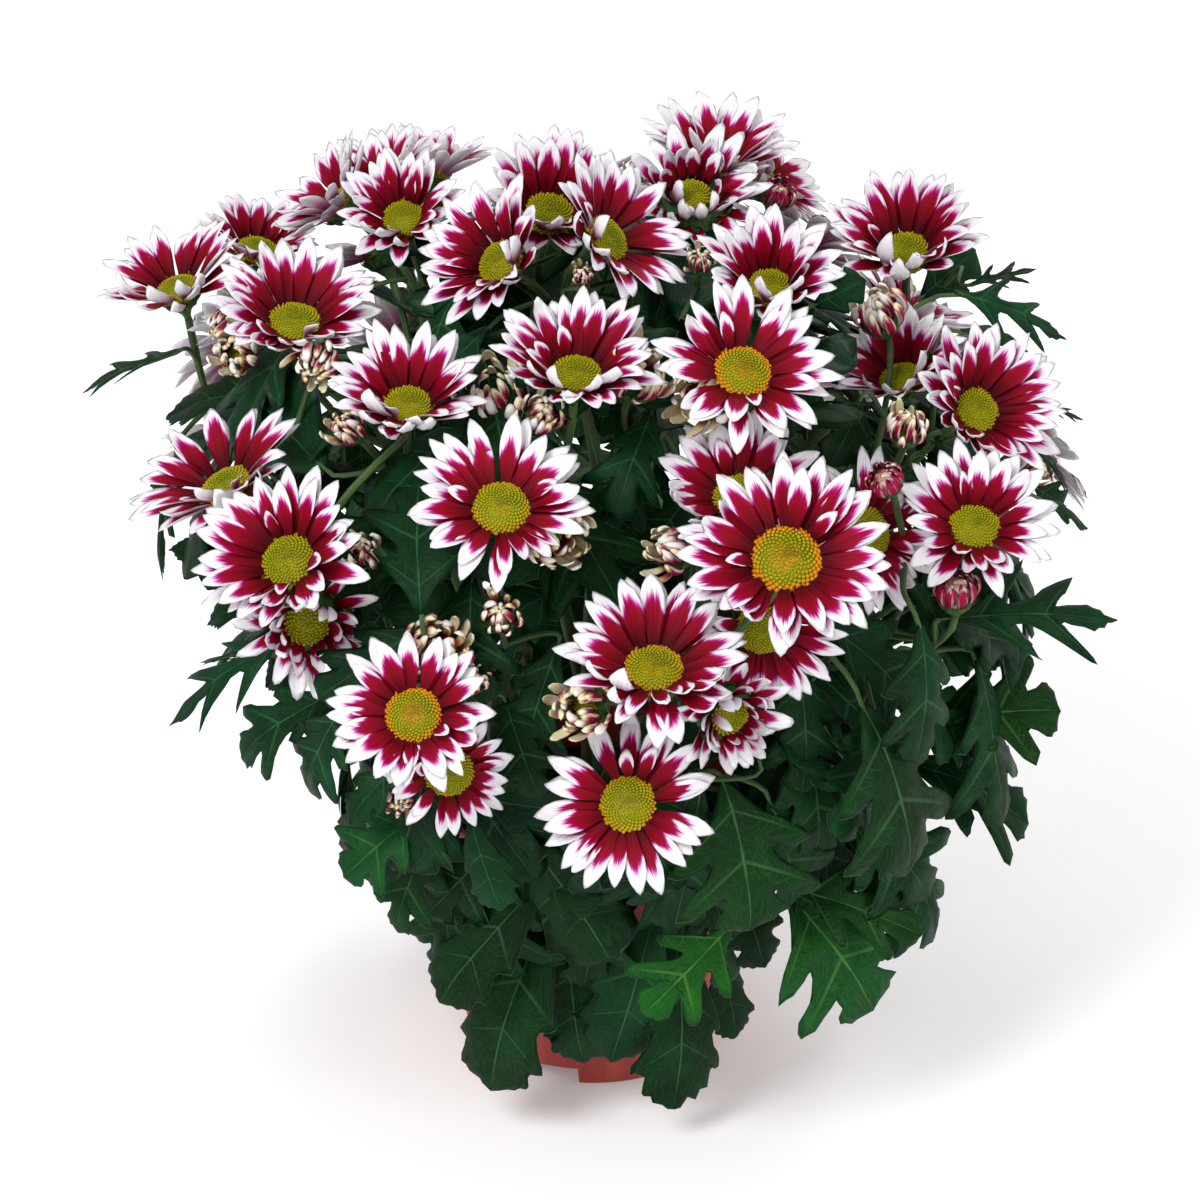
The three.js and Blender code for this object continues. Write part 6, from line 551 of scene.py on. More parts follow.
def shell_topology(nr, nc):
    """A grid of nr by nc points and a second one under it that shares its edge: indices, quads above, quads below."""
    if (nr, nc) not in _topo:
        top = np.arange(nr * nc).reshape(nr, nc)
        low = top.copy()
        inner = np.zeros((nr, nc), bool)
        inner[1:-1, 1:-1] = True
        low[inner] = nr * nc + np.arange(inner.sum())
        f = lambda g: np.stack([g[:-1, :-1], g[:-1, 1:], g[1:, 1:], g[1:, :-1]], -1).reshape(-1, 4)
        _topo[nr, nc] = (inner, f(top), f(low)[:, ::-1])
    return _topo[nr, nc]


def add_shells(b, top, low, mats, along, across, chance, tone=0.0):
    """top and low are arrays (shells, rows, columns, 3); low is used inside the edge only."""
    n, nr, nc, _ = top.shape
    inner, qt, ql = shell_topology(nr, nc)
    v = np.concatenate([top.reshape(n, -1, 3), low[:, inner]], 1)
    per = v.shape[1]
    off = (np.arange(n) * per)[:, None, None]
    wrap = lambda g: np.concatenate([np.broadcast_to(g, (n, nr, nc)).reshape(n, -1), np.broadcast_to(g, (n, nr, nc))[:, inner]], 1)
    quads = np.concatenate([(qt[None] + off).reshape(-1, 4), (ql[None] + off).reshape(-1, 4)])
    mat = np.concatenate([np.full(n * len(qt), mats[0]), np.full(n * len(ql), mats[1])])
    b.add(v, quads, mat, wrap(along), wrap(across), wrap(chance), wrap(tone))


FLORET_S = np.array([-1, -0.74, -0.38, 0, 0.38, 0.74, 1.0])


def florets(b, F, O, az, r0, h0, L, W, el0, bend, hook, hook_at, roll, tip_roll, twist, side, mats, chance, tone=0.0, nr=11, s=FLORET_S, thick=0.36, pointed=2.1, tip_len=0.32, base_w=0.36, groove=0.04):
    """Ray florets of one head. Angles in radians. F head frame, O its origin."""
    n = len(az)
    A = lambda x: np.broadcast_to(np.asarray(x, float), (n,)).astype(float)
    az, r0, h0, L, W, el0, bend, hook, hook_at, roll, tip_roll, twist, side = map(A, (az, r0, h0, L, W, el0, bend, hook, hook_at, roll, tip_roll, twist, side))
    M = 33
    tt = np.linspace(0, 1, M)[None]
    el = el0[:, None] + bend[:, None] * (tt - 0.35) + hook[:, None] * smooth(hook_at[:, None], 1.05, tt)
    d = L[:, None] / (M - 1)
    cr = np.concatenate([np.zeros((n, 1)), np.cumsum(0.5 * (np.cos(el[:, 1:]) + np.cos(el[:, :-1])) * d, 1)], 1) + r0[:, None]
    ch = np.concatenate([np.zeros((n, 1)), np.cumsum(0.5 * (np.sin(el[:, 1:]) + np.sin(el[:, :-1])) * d, 1)], 1) + h0[:, None]
    # rows are denser near the tip
    row = np.linspace(0, 1, nr) ** 0.92
    end = 1 - tip_len * np.abs(s) ** pointed - 0.012 * np.exp(-(((np.abs(s) - 0.4) / 0.13) ** 2))
    T = row[:, None] * end[None, :]
    x = T[None] * (M - 1)
    i = np.clip(np.floor(x).astype(int), 0, M - 2)
    f = x - i
    take = lambda g: np.take_along_axis(g, np.broadcast_to(i, (n, nr, len(s))).reshape(n, -1), 1).reshape(n, nr, -1) * (1 - f) + np.take_along_axis(g, np.broadcast_to(i + 1, (n, nr, len(s))).reshape(n, -1), 1).reshape(n, nr, -1) * f
    R, H, E = take(cr), take(ch), take(el)
    T = np.broadcast_to(T[None], (n, nr, len(s)))
    S = np.broadcast_to(s[None, None], (n, nr, len(s)))
    w = W[:, None, None] * 0.5 * (base_w + (1 - base_w) * smooth(0.0, 0.6, T)) * (1 - 0.10 * smooth(0.75, 1.0, T))
    th = roll[:, None, None] * (1 - 0.55 * T) + tip_roll[:, None, None] * smooth(0.55, 1.0, T)
    th = np.where(np.abs(th) < 0.02, 0.02, th)
    lx = w * np.sin(th * S) / th
    lz = w * (1 - np.cos(th * S)) / th
    g = groove * W[:, None, None] * smooth(0.04, 0.25, T) * (1 - 0.6 * smooth(0.8, 1.0, T))
    lz = lz - g * np.exp(-(((np.abs(S) - 0.38) / 0.16) ** 2))
    tw = twist[:, None, None] * T
    lx, lz = lx * np.cos(tw) - lz * np.sin(tw), lx * np.sin(tw) + lz * np.cos(tw)
    lat = lx + side[:, None, None] * L[:, None, None] * T * T
    # radial, lateral and height directions
    nr_, nh_ = -np.sin(E), np.cos(E)
    rr, hh = R + lz * nr_, H + lz * nh_
    ca, sa = np.cos(az)[:, None, None], np.sin(az)[:, None, None]
    ex, ey, ez = F
    P = lambda r, l, h: (r * ca - l * sa)[..., None] * ex + (r * sa + l * ca)[..., None] * ey + h[..., None] * ez + O
    top = P(rr, lat, hh)
    tk = thick * np.sqrt(np.clip(1 - S * S, 0, 1)) * smooth(0, 0.1, T)
    low = P(rr - tk * nr_, lat, hh - tk * nh_)
    add_shells(b, top, low, mats, T, S, np.broadcast_to(A(chance)[:, None, None], T.shape), tone)


def lathe(b, F, O, profile, sides, mat, chance=0.0, tone=0.0, wobble=None):
    """A closed turned shape: the profile starts and ends on the axis."""
    p = np.array(profile, float)
    a = np.arange(sides) * 2 * math.pi / sides
    mid = p[1:-1]
    ring = np.stack([mid[:, None, 0] * np.cos(a), mid[:, None, 0] * np.sin(a), np.broadcast_to(mid[:, None, 1], (len(mid), sides))], -1)
    if wobble is not None:
        ring = wobble(ring, a)
    v = np.concatenate([[[0, 0, p[0, 1]]], ring.reshape(-1, 3), [[0, 0, p[-1, 1]]]])
    k = len(mid)
    g = 1 + np.arange(k * sides).reshape(k, sides)
    nx = np.roll(g, -1, 1)
    quads = [np.stack([g[:-1], nx[:-1], nx[1:], g[1:]], -1).reshape(-1, 4)]
    quads.append(np.stack([np.zeros(sides, int), nx[0], g[0], -np.ones(sides, int)], -1))
    quads.append(np.stack([np.full(sides, len(v) - 1), g[-1], nx[-1], -np.ones(sides, int)], -1))
    s = np.linspace(0, 1, k)
    along = np.concatenate([[0], np.repeat(s, sides), [1]])
    across = np.concatenate([[0], np.tile(a / (2 * math.pi), k), [0]])
    b.add(v @ np.array(F) + O, np.concatenate(quads), mat, along, across, chance, tone)


def tube(b, pts, rad, sides, mat, chance=0.0, tone=0.0, flat=None, up=None):
    """A closed tube along points, with rounded ends."""
    pts = np.asarray(pts, float)
    rad = np.broadcast_to(np.asarray(rad, float), (len(pts),))
    t = unit(np.gradient(pts, axis=0))
    ref = np.array(up if up is not None else ([0, 0, 1.0] if abs(t[0, 2]) < 0.9 else [0, 1.0, 0]), float)
    u = np.zeros_like(pts)
    r = ref
    for i in range(len(pts)):  # carried along without turning
        r = r - t[i] * (r @ t[i])
        r = r / np.linalg.norm(r)
        u[i] = r
    w = np.cross(t, u)
    a = np.arange(sides) * 2 * math.pi / sides
    k = 1.0 if flat is None else flat
    ring = pts[:, None] + rad[:, None, None] * (np.cos(a)[None, :, None] * w[:, None] + k * np.sin(a)[None, :, None] * u[:, None])
    v = np.concatenate([[pts[0] - t[0] * rad[0] * 0.3], ring.reshape(-1, 3), [pts[-1] + t[-1] * rad[-1] * 0.6]])
    n = len(pts)
    g = 1 + np.arange(n * sides).reshape(n, sides)
    nx = np.roll(g, -1, 1)
    quads = [np.stack([g[:-1], nx[:-1], nx[1:], g[1:]], -1).reshape(-1, 4)[:, ::-1] if False else np.stack([g[:-1], nx[:-1], nx[1:], g[1:]], -1).reshape(-1, 4)]
    quads.append(np.stack([np.zeros(sides, int), nx[0], g[0], -np.ones(sides, int)], -1))
    quads.append(np.stack([np.full(sides, len(v) - 1), g[-1], nx[-1], -np.ones(sides, int)], -1))
    l = np.concatenate([[0], np.cumsum(np.linalg.norm(np.diff(pts, axis=0), axis=1))])
    along = np.concatenate([[0], np.repeat(l, sides), [l[-1]]])
    across = np.concatenate([[0], np.tile(a / (2 * math.pi), n), [0]])
    b.add(v, np.concatenate(quads), mat, along, across, chance, tone)


def bezier(c, n):
    c = np.asarray(c, float).reshape(4, 3)
    t = np.linspace(0, 1, n)[:, None]
    return (1 - t) ** 3 * c[0] + 3 * (1 - t) ** 2 * t * c[1] + 3 * (1 - t) * t * t * c[2] + t ** 3 * c[3]


# ---- materials --------------------------------------------------------------------------------
def lin(r, g, b):
    return tuple((c / 255 / 12.92) if c <= 10 else ((c / 255 + 0.055) / 1.055) ** 2.4 for c in (r, g, b)) + (1.0,)


class Mat:
    """Small helper to write node trees."""

    def __init__(self, name, **sockets):
        self.m = bpy.data.materials.new(name)
        self.m.use_nodes = True
        self.t = self.m.node_tree
        self.bsdf = self.t.nodes["Principled BSDF"]
        for k, v in sockets.items():
            self.bsdf.inputs[k.replace("_", " ")].default_value = v

    def node(self, kind, **props):
        n = self.t.nodes.new(kind)
        for k, v in props.items():
            setattr(n, k, v)
        return n

    def put(self, socket, value):
        if isinstance(value, bpy.types.NodeSocket):
            self.t.links.new(value, socket)
        else:
            socket.default_value = value

    def attr(self, name):
        return self.node("ShaderNodeAttribute", attribute_name=name).outputs["Fac"]

    def math(self, op, *args, clamp=False):
        n = self.node("ShaderNodeMath", operation=op, use_clamp=clamp)
        for i, a in enumerate(args):
            self.put(n.inputs[i], a)
        return n.outputs[0]

    def vec(self, x, y, z):
        n = self.node("ShaderNodeCombineXYZ")
        for i, a in enumerate((x, y, z)):
            self.put(n.inputs[i], a)
        return n.outputs[0]

    def noise(self, vector, scale, detail=3.0, rough=0.55, distortion=0.0):
        n = self.node("ShaderNodeTexNoise")
        if vector is not None:
            self.put(n.inputs["Vector"], vector)
        n.inputs["Scale"].default_value = scale
        n.inputs["Detail"].default_value = detail
        n.inputs["Roughness"].default_value = rough
        n.inputs["Distortion"].default_value = distortion
        return n.outputs["Fac"]

    def voronoi(self, vector, scale, feature="F1", rnd=1.0):
        n = self.node("ShaderNodeTexVoronoi", feature=feature)
        if vector is not None:
            self.put(n.inputs["Vector"], vector)
        n.inputs["Scale"].default_value = scale
        n.inputs["Randomness"].default_value = rnd
        return n.outputs["Distance"]

    def ramp(self, fac, stops, interpolation="LINEAR"):
        n = self.node("ShaderNodeValToRGB")
        cr = n.color_ramp
        cr.interpolation = interpolation
        while len(cr.elements) < len(stops):
            cr.elements.new(0.5)
        for e, (p, c) in zip(cr.elements, stops):
            e.position = p
            e.color = c if len(c) == 4 else (*c, 1)
        self.put(n.inputs["Fac"], fac)
        return n.outputs["Color"]

    def span(self, value, a, b, c=0.0, d=1.0, kind="SMOOTHSTEP"):
        n = self.node("ShaderNodeMapRange", interpolation_type=kind)
        self.put(n.inputs["Value"], value)
        for k, v in (("From Min", a), ("From Max", b), ("To Min", c), ("To Max", d)):
            self.put(n.inputs[k], v)
        return n.outputs["Result"]

    def mix(self, fac, a, b, blend="MIX"):
        n = self.node("ShaderNodeMix", data_type="RGBA", blend_type=blend)
        self.put(n.inputs[0], fac)
        self.put(n.inputs[6], a)
        self.put(n.inputs[7], b)
        return n.outputs[2]

    def hsv(self, color, h=0.5, s=1.0, v=1.0):
        n = self.node("ShaderNodeHueSaturation")
        self.put(n.inputs["Color"], color)
        self.put(n.inputs["Hue"], h)
        self.put(n.inputs["Saturation"], s)
        self.put(n.inputs["Value"], v)
        return n.outputs["Color"]

    def bump(self, height, strength, distance, normal=None):
        n = self.node("ShaderNodeBump")
        self.put(n.inputs["Height"], height)
        n.inputs["Strength"].default_value = strength
        n.inputs["Distance"].default_value = distance
        if normal is not None:
            self.put(n.inputs["Normal"], normal)
        return n.outputs["Normal"]

    def colour(self, c):
        self.put(self.bsdf.inputs["Base Color"], c)

    def rough(self, c):
        self.put(self.bsdf.inputs["Roughness"], c)

    def normal(self, c):
        self.put(self.bsdf.inputs["Normal"], c)

    def object_coords(self):
        return self.node("ShaderNodeTexCoord").outputs["Object"]


def floret_top():
    m = Mat("floret_upper", Roughness=0.62, Specular_IOR_Level=0.1)
    t, s, r, white = m.attr("along"), m.attr("across"), m.attr("chance"), m.attr("tone")
    r37 = m.math("MULTIPLY", r, 37.0)
    fine = m.noise(m.vec(m.math("MULTIPLY", s, 7.5), m.math("MULTIPLY", t, 1.5), r37), 1.0, 3.0, 0.62)
    coarse = m.noise(m.vec(m.math("MULTIPLY", s, 2.4), m.math("MULTIPLY", t, 0.7), m.math("ADD", r37, 9.0)), 1.0, 1.0, 0.5)
    sides = m.math("MULTIPLY", m.math("MULTIPLY", m.math("POWER", m.math("ABSOLUTE", s), 1.8), 0.34), m.span(t, 0.25, 0.6, 0.15, 1.0))
    x = m.math("ADD", t, sides)
    x = m.math("ADD", x, m.math("MULTIPLY", m.math("SUBTRACT", fine, 0.5), 0.30))
    x = m.math("ADD", x, m.math("MULTIPLY", m.math("SUBTRACT", coarse, 0.5), 0.20))
    x = m.math("ADD", x, m.math("MULTIPLY", m.math("SUBTRACT", r, 0.5), 0.10))
    x = m.math("ADD", x, m.math("SUBTRACT", white, 0.45))
    red = m.ramp(x, [
        (0.00, lin(64, 0, 10)), (0.20, lin(102, 0, 17)), (0.44, lin(134, 0, 26)), (0.545, lin(142, 0, 42)),
        (0.585, lin(158, 0, 92)), (0.625, lin(186, 62, 146)), (0.665, lin(222, 176, 208)), (0.72, lin(236, 234, 238))])
    vein = m.noise(m.vec(m.math("MULTIPLY", s, 17.0), m.math("MULTIPLY", t, 1.2), r37), 1.0, 2.0, 0.5)
    c = m.mix(m.span(vein, 0.35, 0.7, 0.0, 0.30), red, m.hsv(red, 0.5, 1.08, 0.78))
    # painted shade: the fold lines are painted a little deeper in colour, as the shade in their grooves
    line = m.span(m.math("ABSOLUTE", m.math("SUBTRACT", m.math("ABSOLUTE", s), 0.38)), 0.0, 0.14, 0.2, 0.0)
    c = m.mix(m.math("MULTIPLY", line, m.span(t, 0.05, 0.3)), c, m.hsv(c, 0.5, 1.05, 0.7))
    m.colour(c)
    m.rough(m.span(vein, 0.2, 0.8, 0.52, 0.72))
    m.normal(m.bump(vein, 0.3, 0.0002, m.bump(m.noise(m.object_coords(), 1800.0, 2.0), 0.12, 0.0001)))
    return m.m


def floret_under():
    m = Mat("floret_under", Roughness=0.65, Specular_IOR_Level=0.18)
    t, s, r, white = m.attr("along"), m.attr("across"), m.attr("chance"), m.attr("tone")
    r37 = m.math("MULTIPLY", r, 37.0)
    fine = m.noise(m.vec(m.math("MULTIPLY", s, 7.0), m.math("MULTIPLY", t, 1.2), r37), 1.0, 3.0, 0.6)
    x = m.math("ADD", t, m.math("MULTIPLY", m.math("POWER", m.math("ABSOLUTE", s), 2.0), 0.30))
    x = m.math("ADD", x, m.math("MULTIPLY", m.math("SUBTRACT", fine, 0.5), 0.36))
    x = m.math("ADD", x, m.math("MULTIPLY", m.math("SUBTRACT", r, 0.5), 0.15))
    c = m.ramp(x, [(0.0, lin(112, 14, 44)), (0.22, lin(150, 52, 96)), (0.42, lin(184, 116, 154)), (0.60, lin(216, 188, 208)), (0.76, lin(232, 230, 232))])
    vein = m.noise(m.vec(m.math("MULTIPLY", s, 15.0), m.math("MULTIPLY", t, 1.0), r37), 1.0, 2.0, 0.5)
    c = m.mix(m.span(vein, 0.4, 0.75, 0.0, 0.25), c, m.hsv(c, 0.5, 1.2, 0.82))
    m.colour(c)
    m.normal(m.bump(vein, 0.4, 0.00025))
    return m.m


def cream_floret():
    m = Mat("young_floret", Roughness=0.55, Specular_IOR_Level=0.2)
    t, s, r, red = m.attr("along"), m.attr("across"), m.attr("chance"), m.attr("tone")
    r37 = m.math("MULTIPLY", r, 37.0)
    fine = m.noise(m.vec(m.math("MULTIPLY", s, 5.0), m.math("MULTIPLY", t, 1.8), r37), 1.0, 3.0, 0.6)
    x = m.math("ADD", t, m.math("MULTIPLY", m.math("SUBTRACT", fine, 0.5), 0.30))
    x = m.math("ADD", x, m.math("MULTIPLY", m.math("SUBTRACT", r, 0.5), 0.22))
    x = m.math("SUBTRACT", x, m.math("MULTIPLY", red, 0.5))
    c = m.ramp(x, [(0.0, lin(74, 2, 12)), (0.16, lin(116, 10, 30)), (0.28, lin(176, 104, 78)), (0.38, lin(224, 208, 150)), (0.62, lin(236, 230, 196)), (1.0, lin(226, 224, 160))])
    vein = m.noise(m.vec(m.math("MULTIPLY", s, 12.0), m.math("MULTIPLY", t, 1.2), r37), 1.0, 2.0, 0.5)
    c = m.mix(m.span(vein, 0.45, 0.8, 0.0, 0.3), c, m.hsv(c, 0.48, 1.3, 0.8))
    m.colour(c)
    m.normal(m.bump(vein, 0.4, 0.0002))
    return m.m


def striped_floret():
    """Outer side of a floret that is still curled in: crimson, with pale margins and a cream tip."""
    m = Mat("bud_floret", Roughness=0.6, Specular_IOR_Level=0.12)
    t, s, r = m.attr("along"), m.attr("across"), m.attr("chance")
    r37 = m.math("MULTIPLY", r, 37.0)
    fine = m.noise(m.vec(m.math("MULTIPLY", s, 5.0), m.math("MULTIPLY", t, 1.5), r37), 1.0, 3.0, 0.6)
    n = m.math("SUBTRACT", fine, 0.5)
    red = m.ramp(m.math("ADD", t, m.math("MULTIPLY", n, 0.3)), [(0.0, lin(64, 0, 12)), (0.4, lin(116, 0, 34)), (0.8, lin(150, 8, 62))])
    edge = m.span(m.math("ADD", m.math("ABSOLUTE", s), m.math("MULTIPLY", n, 0.7)), 0.50, 0.80)
    shut = m.span(m.attr("tone"), 0.5, 1.0)
    edge = m.math("MULTIPLY", m.math("MULTIPLY", edge, m.span(t, 0.1, 0.5, 0.3, 0.95)), m.span(shut, 0.0, 1.0, 1.0, 0.5))
    c = m.mix(edge, red, lin(232, 200, 200))
    tip = m.math("ADD", m.math("ADD", t, m.math("MULTIPLY", n, 0.4)), m.math("MULTIPLY", m.math("SUBTRACT", r, 0.5), 0.3))
    c = m.mix(m.span(m.math("SUBTRACT", tip, m.math("MULTIPLY", shut, 0.22)), 0.66, 0.88), c, m.mix(m.span(r, 0.3, 0.8), lin(240, 228, 178), lin(240, 234, 230)))
    m.colour(c)
    m.normal(m.bump(fine, 0.4, 0.0002))
    return m.m


def disc_material():
    m = Mat("disc_florets", Roughness=0.6, Specular_IOR_Level=0.2)
    t, s, r = m.attr("along"), m.attr("across"), m.attr("chance")
    # along: 0 in the middle of the disc, 1 at its edge; across: 0 in the gaps, 1 on a floret's tip; tone: age
    age = m.attr("tone")
    green = m.ramp(m.math("ADD", t, m.math("MULTIPLY", m.math("SUBTRACT", r, 0.5), 0.3)), [(0.0, lin(104, 118, 4)), (0.45, lin(142, 146, 6)), (0.8, lin(166, 156, 4)), (1.0, lin(168, 142, 4))])
    old = m.mix(m.math("MULTIPLY", m.span(t, 0.70, 0.90), m.span(age, 0.35, 0.9)), green, lin(212, 136, 8))
    # painted shade: the gaps between the small disc florets are painted at half brightness
    painted_gap_shade = m.hsv(old, 0.505, 1.1, 0.5)
    m.colour(m.mix(m.span(s, 0.0, 0.7), painted_gap_shade, old))
    m.normal(m.bump(m.noise(m.object_coords(), 2500.0, 2.0), 0.25, 0.0002))
    return m.m


def green_cup():
    m = Mat("bracts", Roughness=0.6, Specular_IOR_Level=0.25)
    t, s = m.attr("along"), m.attr("across")
    n = m.noise(m.object_coords(), 420.0, 4.0)
    c = m.ramp(n, [(0.3, lin(30, 62, 30)), (0.7, lin(62, 98, 44))])
    edge = m.span(m.math("ABSOLUTE", s), 0.75, 1.0, 0.0, 0.6)
    m.colour(m.mix(edge, c, lin(128, 132, 84)))
    m.normal(m.bump(m.noise(m.object_coords(), 1500.0, 3.0), 0.4, 0.0003))
    return m.m


def leaf_top():
    m = Mat("leaf_upper", Roughness=0.5, Specular_IOR_Level=0.1)
    v, s, r, tone = m.attr("along"), m.attr("across"), m.attr("chance"), m.attr("tone")
    ob = m.object_coords()
    base = m.ramp(m.noise(ob, 48.0, 4.0, 0.6), [(0.28, lin(2, 29, 9)), (0.5, lin(4, 40, 14)), (0.72, lin(12, 57, 24))])
    # painted light: a leaf's tone (the light column of LEAVES) mixes its green towards a lighter, yellower one, as if
    # the blade were lit
    painted_lit_green = m.ramp(m.noise(ob, 60.0, 4.0, 0.6), [(0.28, lin(5, 56, 5)), (0.55, lin(14, 72, 8)), (0.75, lin(42, 92, 12))])
    c = m.mix(m.span(tone, 0.3, 1.0, kind="LINEAR"), base, painted_lit_green)
    c = m.hsv(c, m.span(r, 0.0, 1.0, 0.485, 0.515), 1.0, m.span(r, 0.0, 1.0, 0.72, 1.25))
    a = m.math("ABSOLUTE", s)
    # veins: the midrib, one in each lobe with its side veins, and a faint net between them
    mid = m.span(a, 0.006, 0.030, 1.0, 0.0)
    frac = m.math("SUBTRACT", m.math("FRACT", m.math("ADD", v, 0.5)), 0.5)
    lobe = m.math("ABSOLUTE", frac)
    lat = m.span(lobe, 0.004, 0.018, 1.0, 0.0)
    lat = m.math("MULTIPLY", lat, m.span(a, 0.95, 0.25, 0.1, 0.9))
    twig = m.math("ABSOLUTE", m.math("SUBTRACT", m.math("FRACT", m.math("ADD", m.math("MULTIPLY", a, 4.0), m.math("MULTIPLY", lobe, 5.0))), 0.5))
    twig = m.math("MULTIPLY", m.span(twig, 0.0, 0.05, 0.30, 0.0), m.span(a, 0.1, 0.3))
    net = m.voronoi(m.vec(m.math("MULTIPLY", v, 5.2), m.math("MULTIPLY", s, 10.0), m.math("MULTIPLY", r, 31.0)), 1.0, "DISTANCE_TO_EDGE", 0.9)
    fine = m.span(net, 0.0, 0.08, 0.16, 0.0)
    rib = m.math("MAXIMUM", m.math("MULTIPLY", mid, 0.85), m.math("MULTIPLY", lat, 0.55))
    veins = m.math("MAXIMUM", rib, m.math("MAXIMUM", fine, twig))
    # painted light: the veins too are painted paler on the blades painted as lit
    pale = m.mix(m.span(tone, 0.3, 1.0, kind="LINEAR"), lin(58, 108, 70), lin(104, 146, 66))
    c = m.mix(m.math("MULTIPLY", veins, 0.7), c, pale)
    c = m.mix(m.span(a, 0.980, 1.0, 0.0, 0.6), c, lin(104, 140, 96))
    m.colour(c)
    m.rough(m.span(m.noise(ob, 160.0, 3.0), 0.3, 0.7, 0.42, 0.6))
    h = m.math("SUBTRACT", m.span(net, 0.0, 0.4, 0.0, 0.4), m.math("MULTIPLY", rib, 1.2))
    m.normal(m.bump(m.noise(ob, 900.0, 3.0), 0.12, 0.0002, m.bump(h, 0.35, 0.0006)))
    return m.m


def leaf_under():
    m = Mat("leaf_under", Roughness=0.7, Specular_IOR_Level=0.1)
    v, s, r, tone = m.attr("along"), m.attr("across"), m.attr("chance"), m.attr("tone")
    ob = m.object_coords()
    c = m.ramp(m.noise(ob, 80.0, 4.0), [(0.3, lin(34, 66, 42)), (0.7, lin(58, 92, 58))])
    a = m.math("ABSOLUTE", s)
    mid = m.span(a, 0.012, 0.05, 1.0, 0.0)
    lobe = m.math("ABSOLUTE", m.math("SUBTRACT", m.math("FRACT", m.math("ADD", v, 0.5)), 0.5))
    lat = m.math("MULTIPLY", m.span(lobe, 0.015, 0.06, 1.0, 0.0), m.span(a, 0.95, 0.3, 0.3, 1.0))
    net = m.voronoi(m.vec(m.math("MULTIPLY", v, 4.2), m.math("MULTIPLY", s, 9.0), m.math("MULTIPLY", r, 31.0)), 1.0, "DISTANCE_TO_EDGE", 0.9)
    veins = m.math("MAXIMUM", m.math("MAXIMUM", mid, lat), m.span(net, 0.0, 0.1, 0.35, 0.0))
    m.colour(m.mix(m.math("MULTIPLY", veins, 0.55), c, lin(106, 132, 88)))
    m.normal(m.bump(veins, 0.5, 0.0006, m.bump(m.noise(ob, 1500.0, 3.0), 0.3, 0.0003)))
    return m.m


def stem_material():
    m = Mat("stems", Roughness=0.55, Specular_IOR_Level=0.3)
    l, s, r = m.attr("along"), m.attr("across"), m.attr("chance")
    ob = m.object_coords()
    c = m.ramp(m.noise(ob, 60.0, 4.0), [(0.3, lin(34, 60, 30)), (0.7, lin(70, 96, 48))])
    rib = m.math("SINE", m.math("MULTIPLY", s, 44.0))
    c = m.mix(m.span(rib, 0.2, 1.0, 0.0, 0.35), c, lin(104, 124, 74))
    c = m.mix(m.span(m.noise(ob, 24.0, 3.0), 0.52, 0.72, 0.0, 0.4), c, lin(78, 44, 40))
    # the old wood at the foot of each cutting
    z = m.node("ShaderNodeSeparateXYZ")
    m.put(z.inputs[0], ob)
    c = m.mix(m.span(z.outputs[2], 0.09, 0.17, 0.7, 0.0), c, m.ramp(m.noise(ob, 300.0, 4.0), [(0.3, lin(58, 48, 32)), (0.7, lin(98, 86, 56))]))
    m.colour(c)
    m.normal(m.bump(rib, 0.3, 0.0002, m.bump(m.noise(ob, 1600.0, 3.0), 0.4, 0.0003)))
    return m.m


def pot_material():
    m = Mat("pot_plastic", Roughness=0.5, Specular_IOR_Level=0.4)
    ob = m.object_coords()
    xyz = m.node("ShaderNodeSeparateXYZ")
    m.put(xyz.inputs[0], ob)
    x, y, z = xyz.outputs
    ang = m.math("ARCTAN2", y, x)
    # drawn streaks of the moulding, scuffs low down, dust of soil under the rim and on the foot
    streak = m.noise(m.vec(m.math("MULTIPLY", ang, 9.0), m.math("MULTIPLY", z, 14.0), 2.0), 1.0, 4.0, 0.6)
    c = m.ramp(streak, [(0.25, lin(140, 46, 40)), (0.5, lin(160, 56, 48)), (0.75, lin(176, 70, 60))])
    c = m.mix(m.span(m.noise(ob, 38.0, 5.0, 0.65), 0.55, 0.8, 0.0, 0.35), c, lin(182, 86, 76))
    dirt = m.math("MULTIPLY", m.span(m.noise(ob, 90.0, 5.0, 0.7), 0.5, 0.72), m.span(z, 0.022, 0.0, 0.0, 0.55))
    c = m.mix(dirt, c, lin(84, 52, 40))
    dust = m.math("MULTIPLY", m.span(m.noise(ob, 130.0, 5.0, 0.7), 0.52, 0.7), m.span(z, 0.088, 0.106, 0.0, 0.5))
    c = m.mix(dust, c, lin(92, 62, 48))
    m.colour(c)
    m.rough(m.span(m.noise(ob, 70.0, 4.0, 0.6), 0.3, 0.75, 0.40, 0.62))
    fine = m.noise(ob, 1400.0, 2.0)
    scratch = m.noise(m.vec(m.math("MULTIPLY", ang, 3.0), m.math("MULTIPLY", z, 420.0), 0.0), 1.0, 3.0, 0.6)
    m.normal(m.bump(fine, 0.12, 0.0002, m.bump(scratch, 0.10, 0.0004)))
    return m.m


def soil_material():
    m = Mat("potting_mix", Roughness=0.95, Specular_IOR_Level=0.12)
    ob = m.object_coords()
    n = m.noise(ob, 260.0, 6.0, 0.7)
    c = m.ramp(n, [(0.25, lin(20, 13, 9)), (0.5, lin(42, 28, 19)), (0.7, lin(70, 50, 34)), (0.85, lin(96, 74, 52))])
    c = m.mix(m.span(m.attr("tone"), 0.0, 1.0, 0.0, 0.85), c, lin(150, 140, 122))
    m.colour(c)
    m.normal(m.bump(n, 0.9, 0.0015, m.bump(m.voronoi(ob, 700.0), 0.5, 0.0008)))
    return m.m


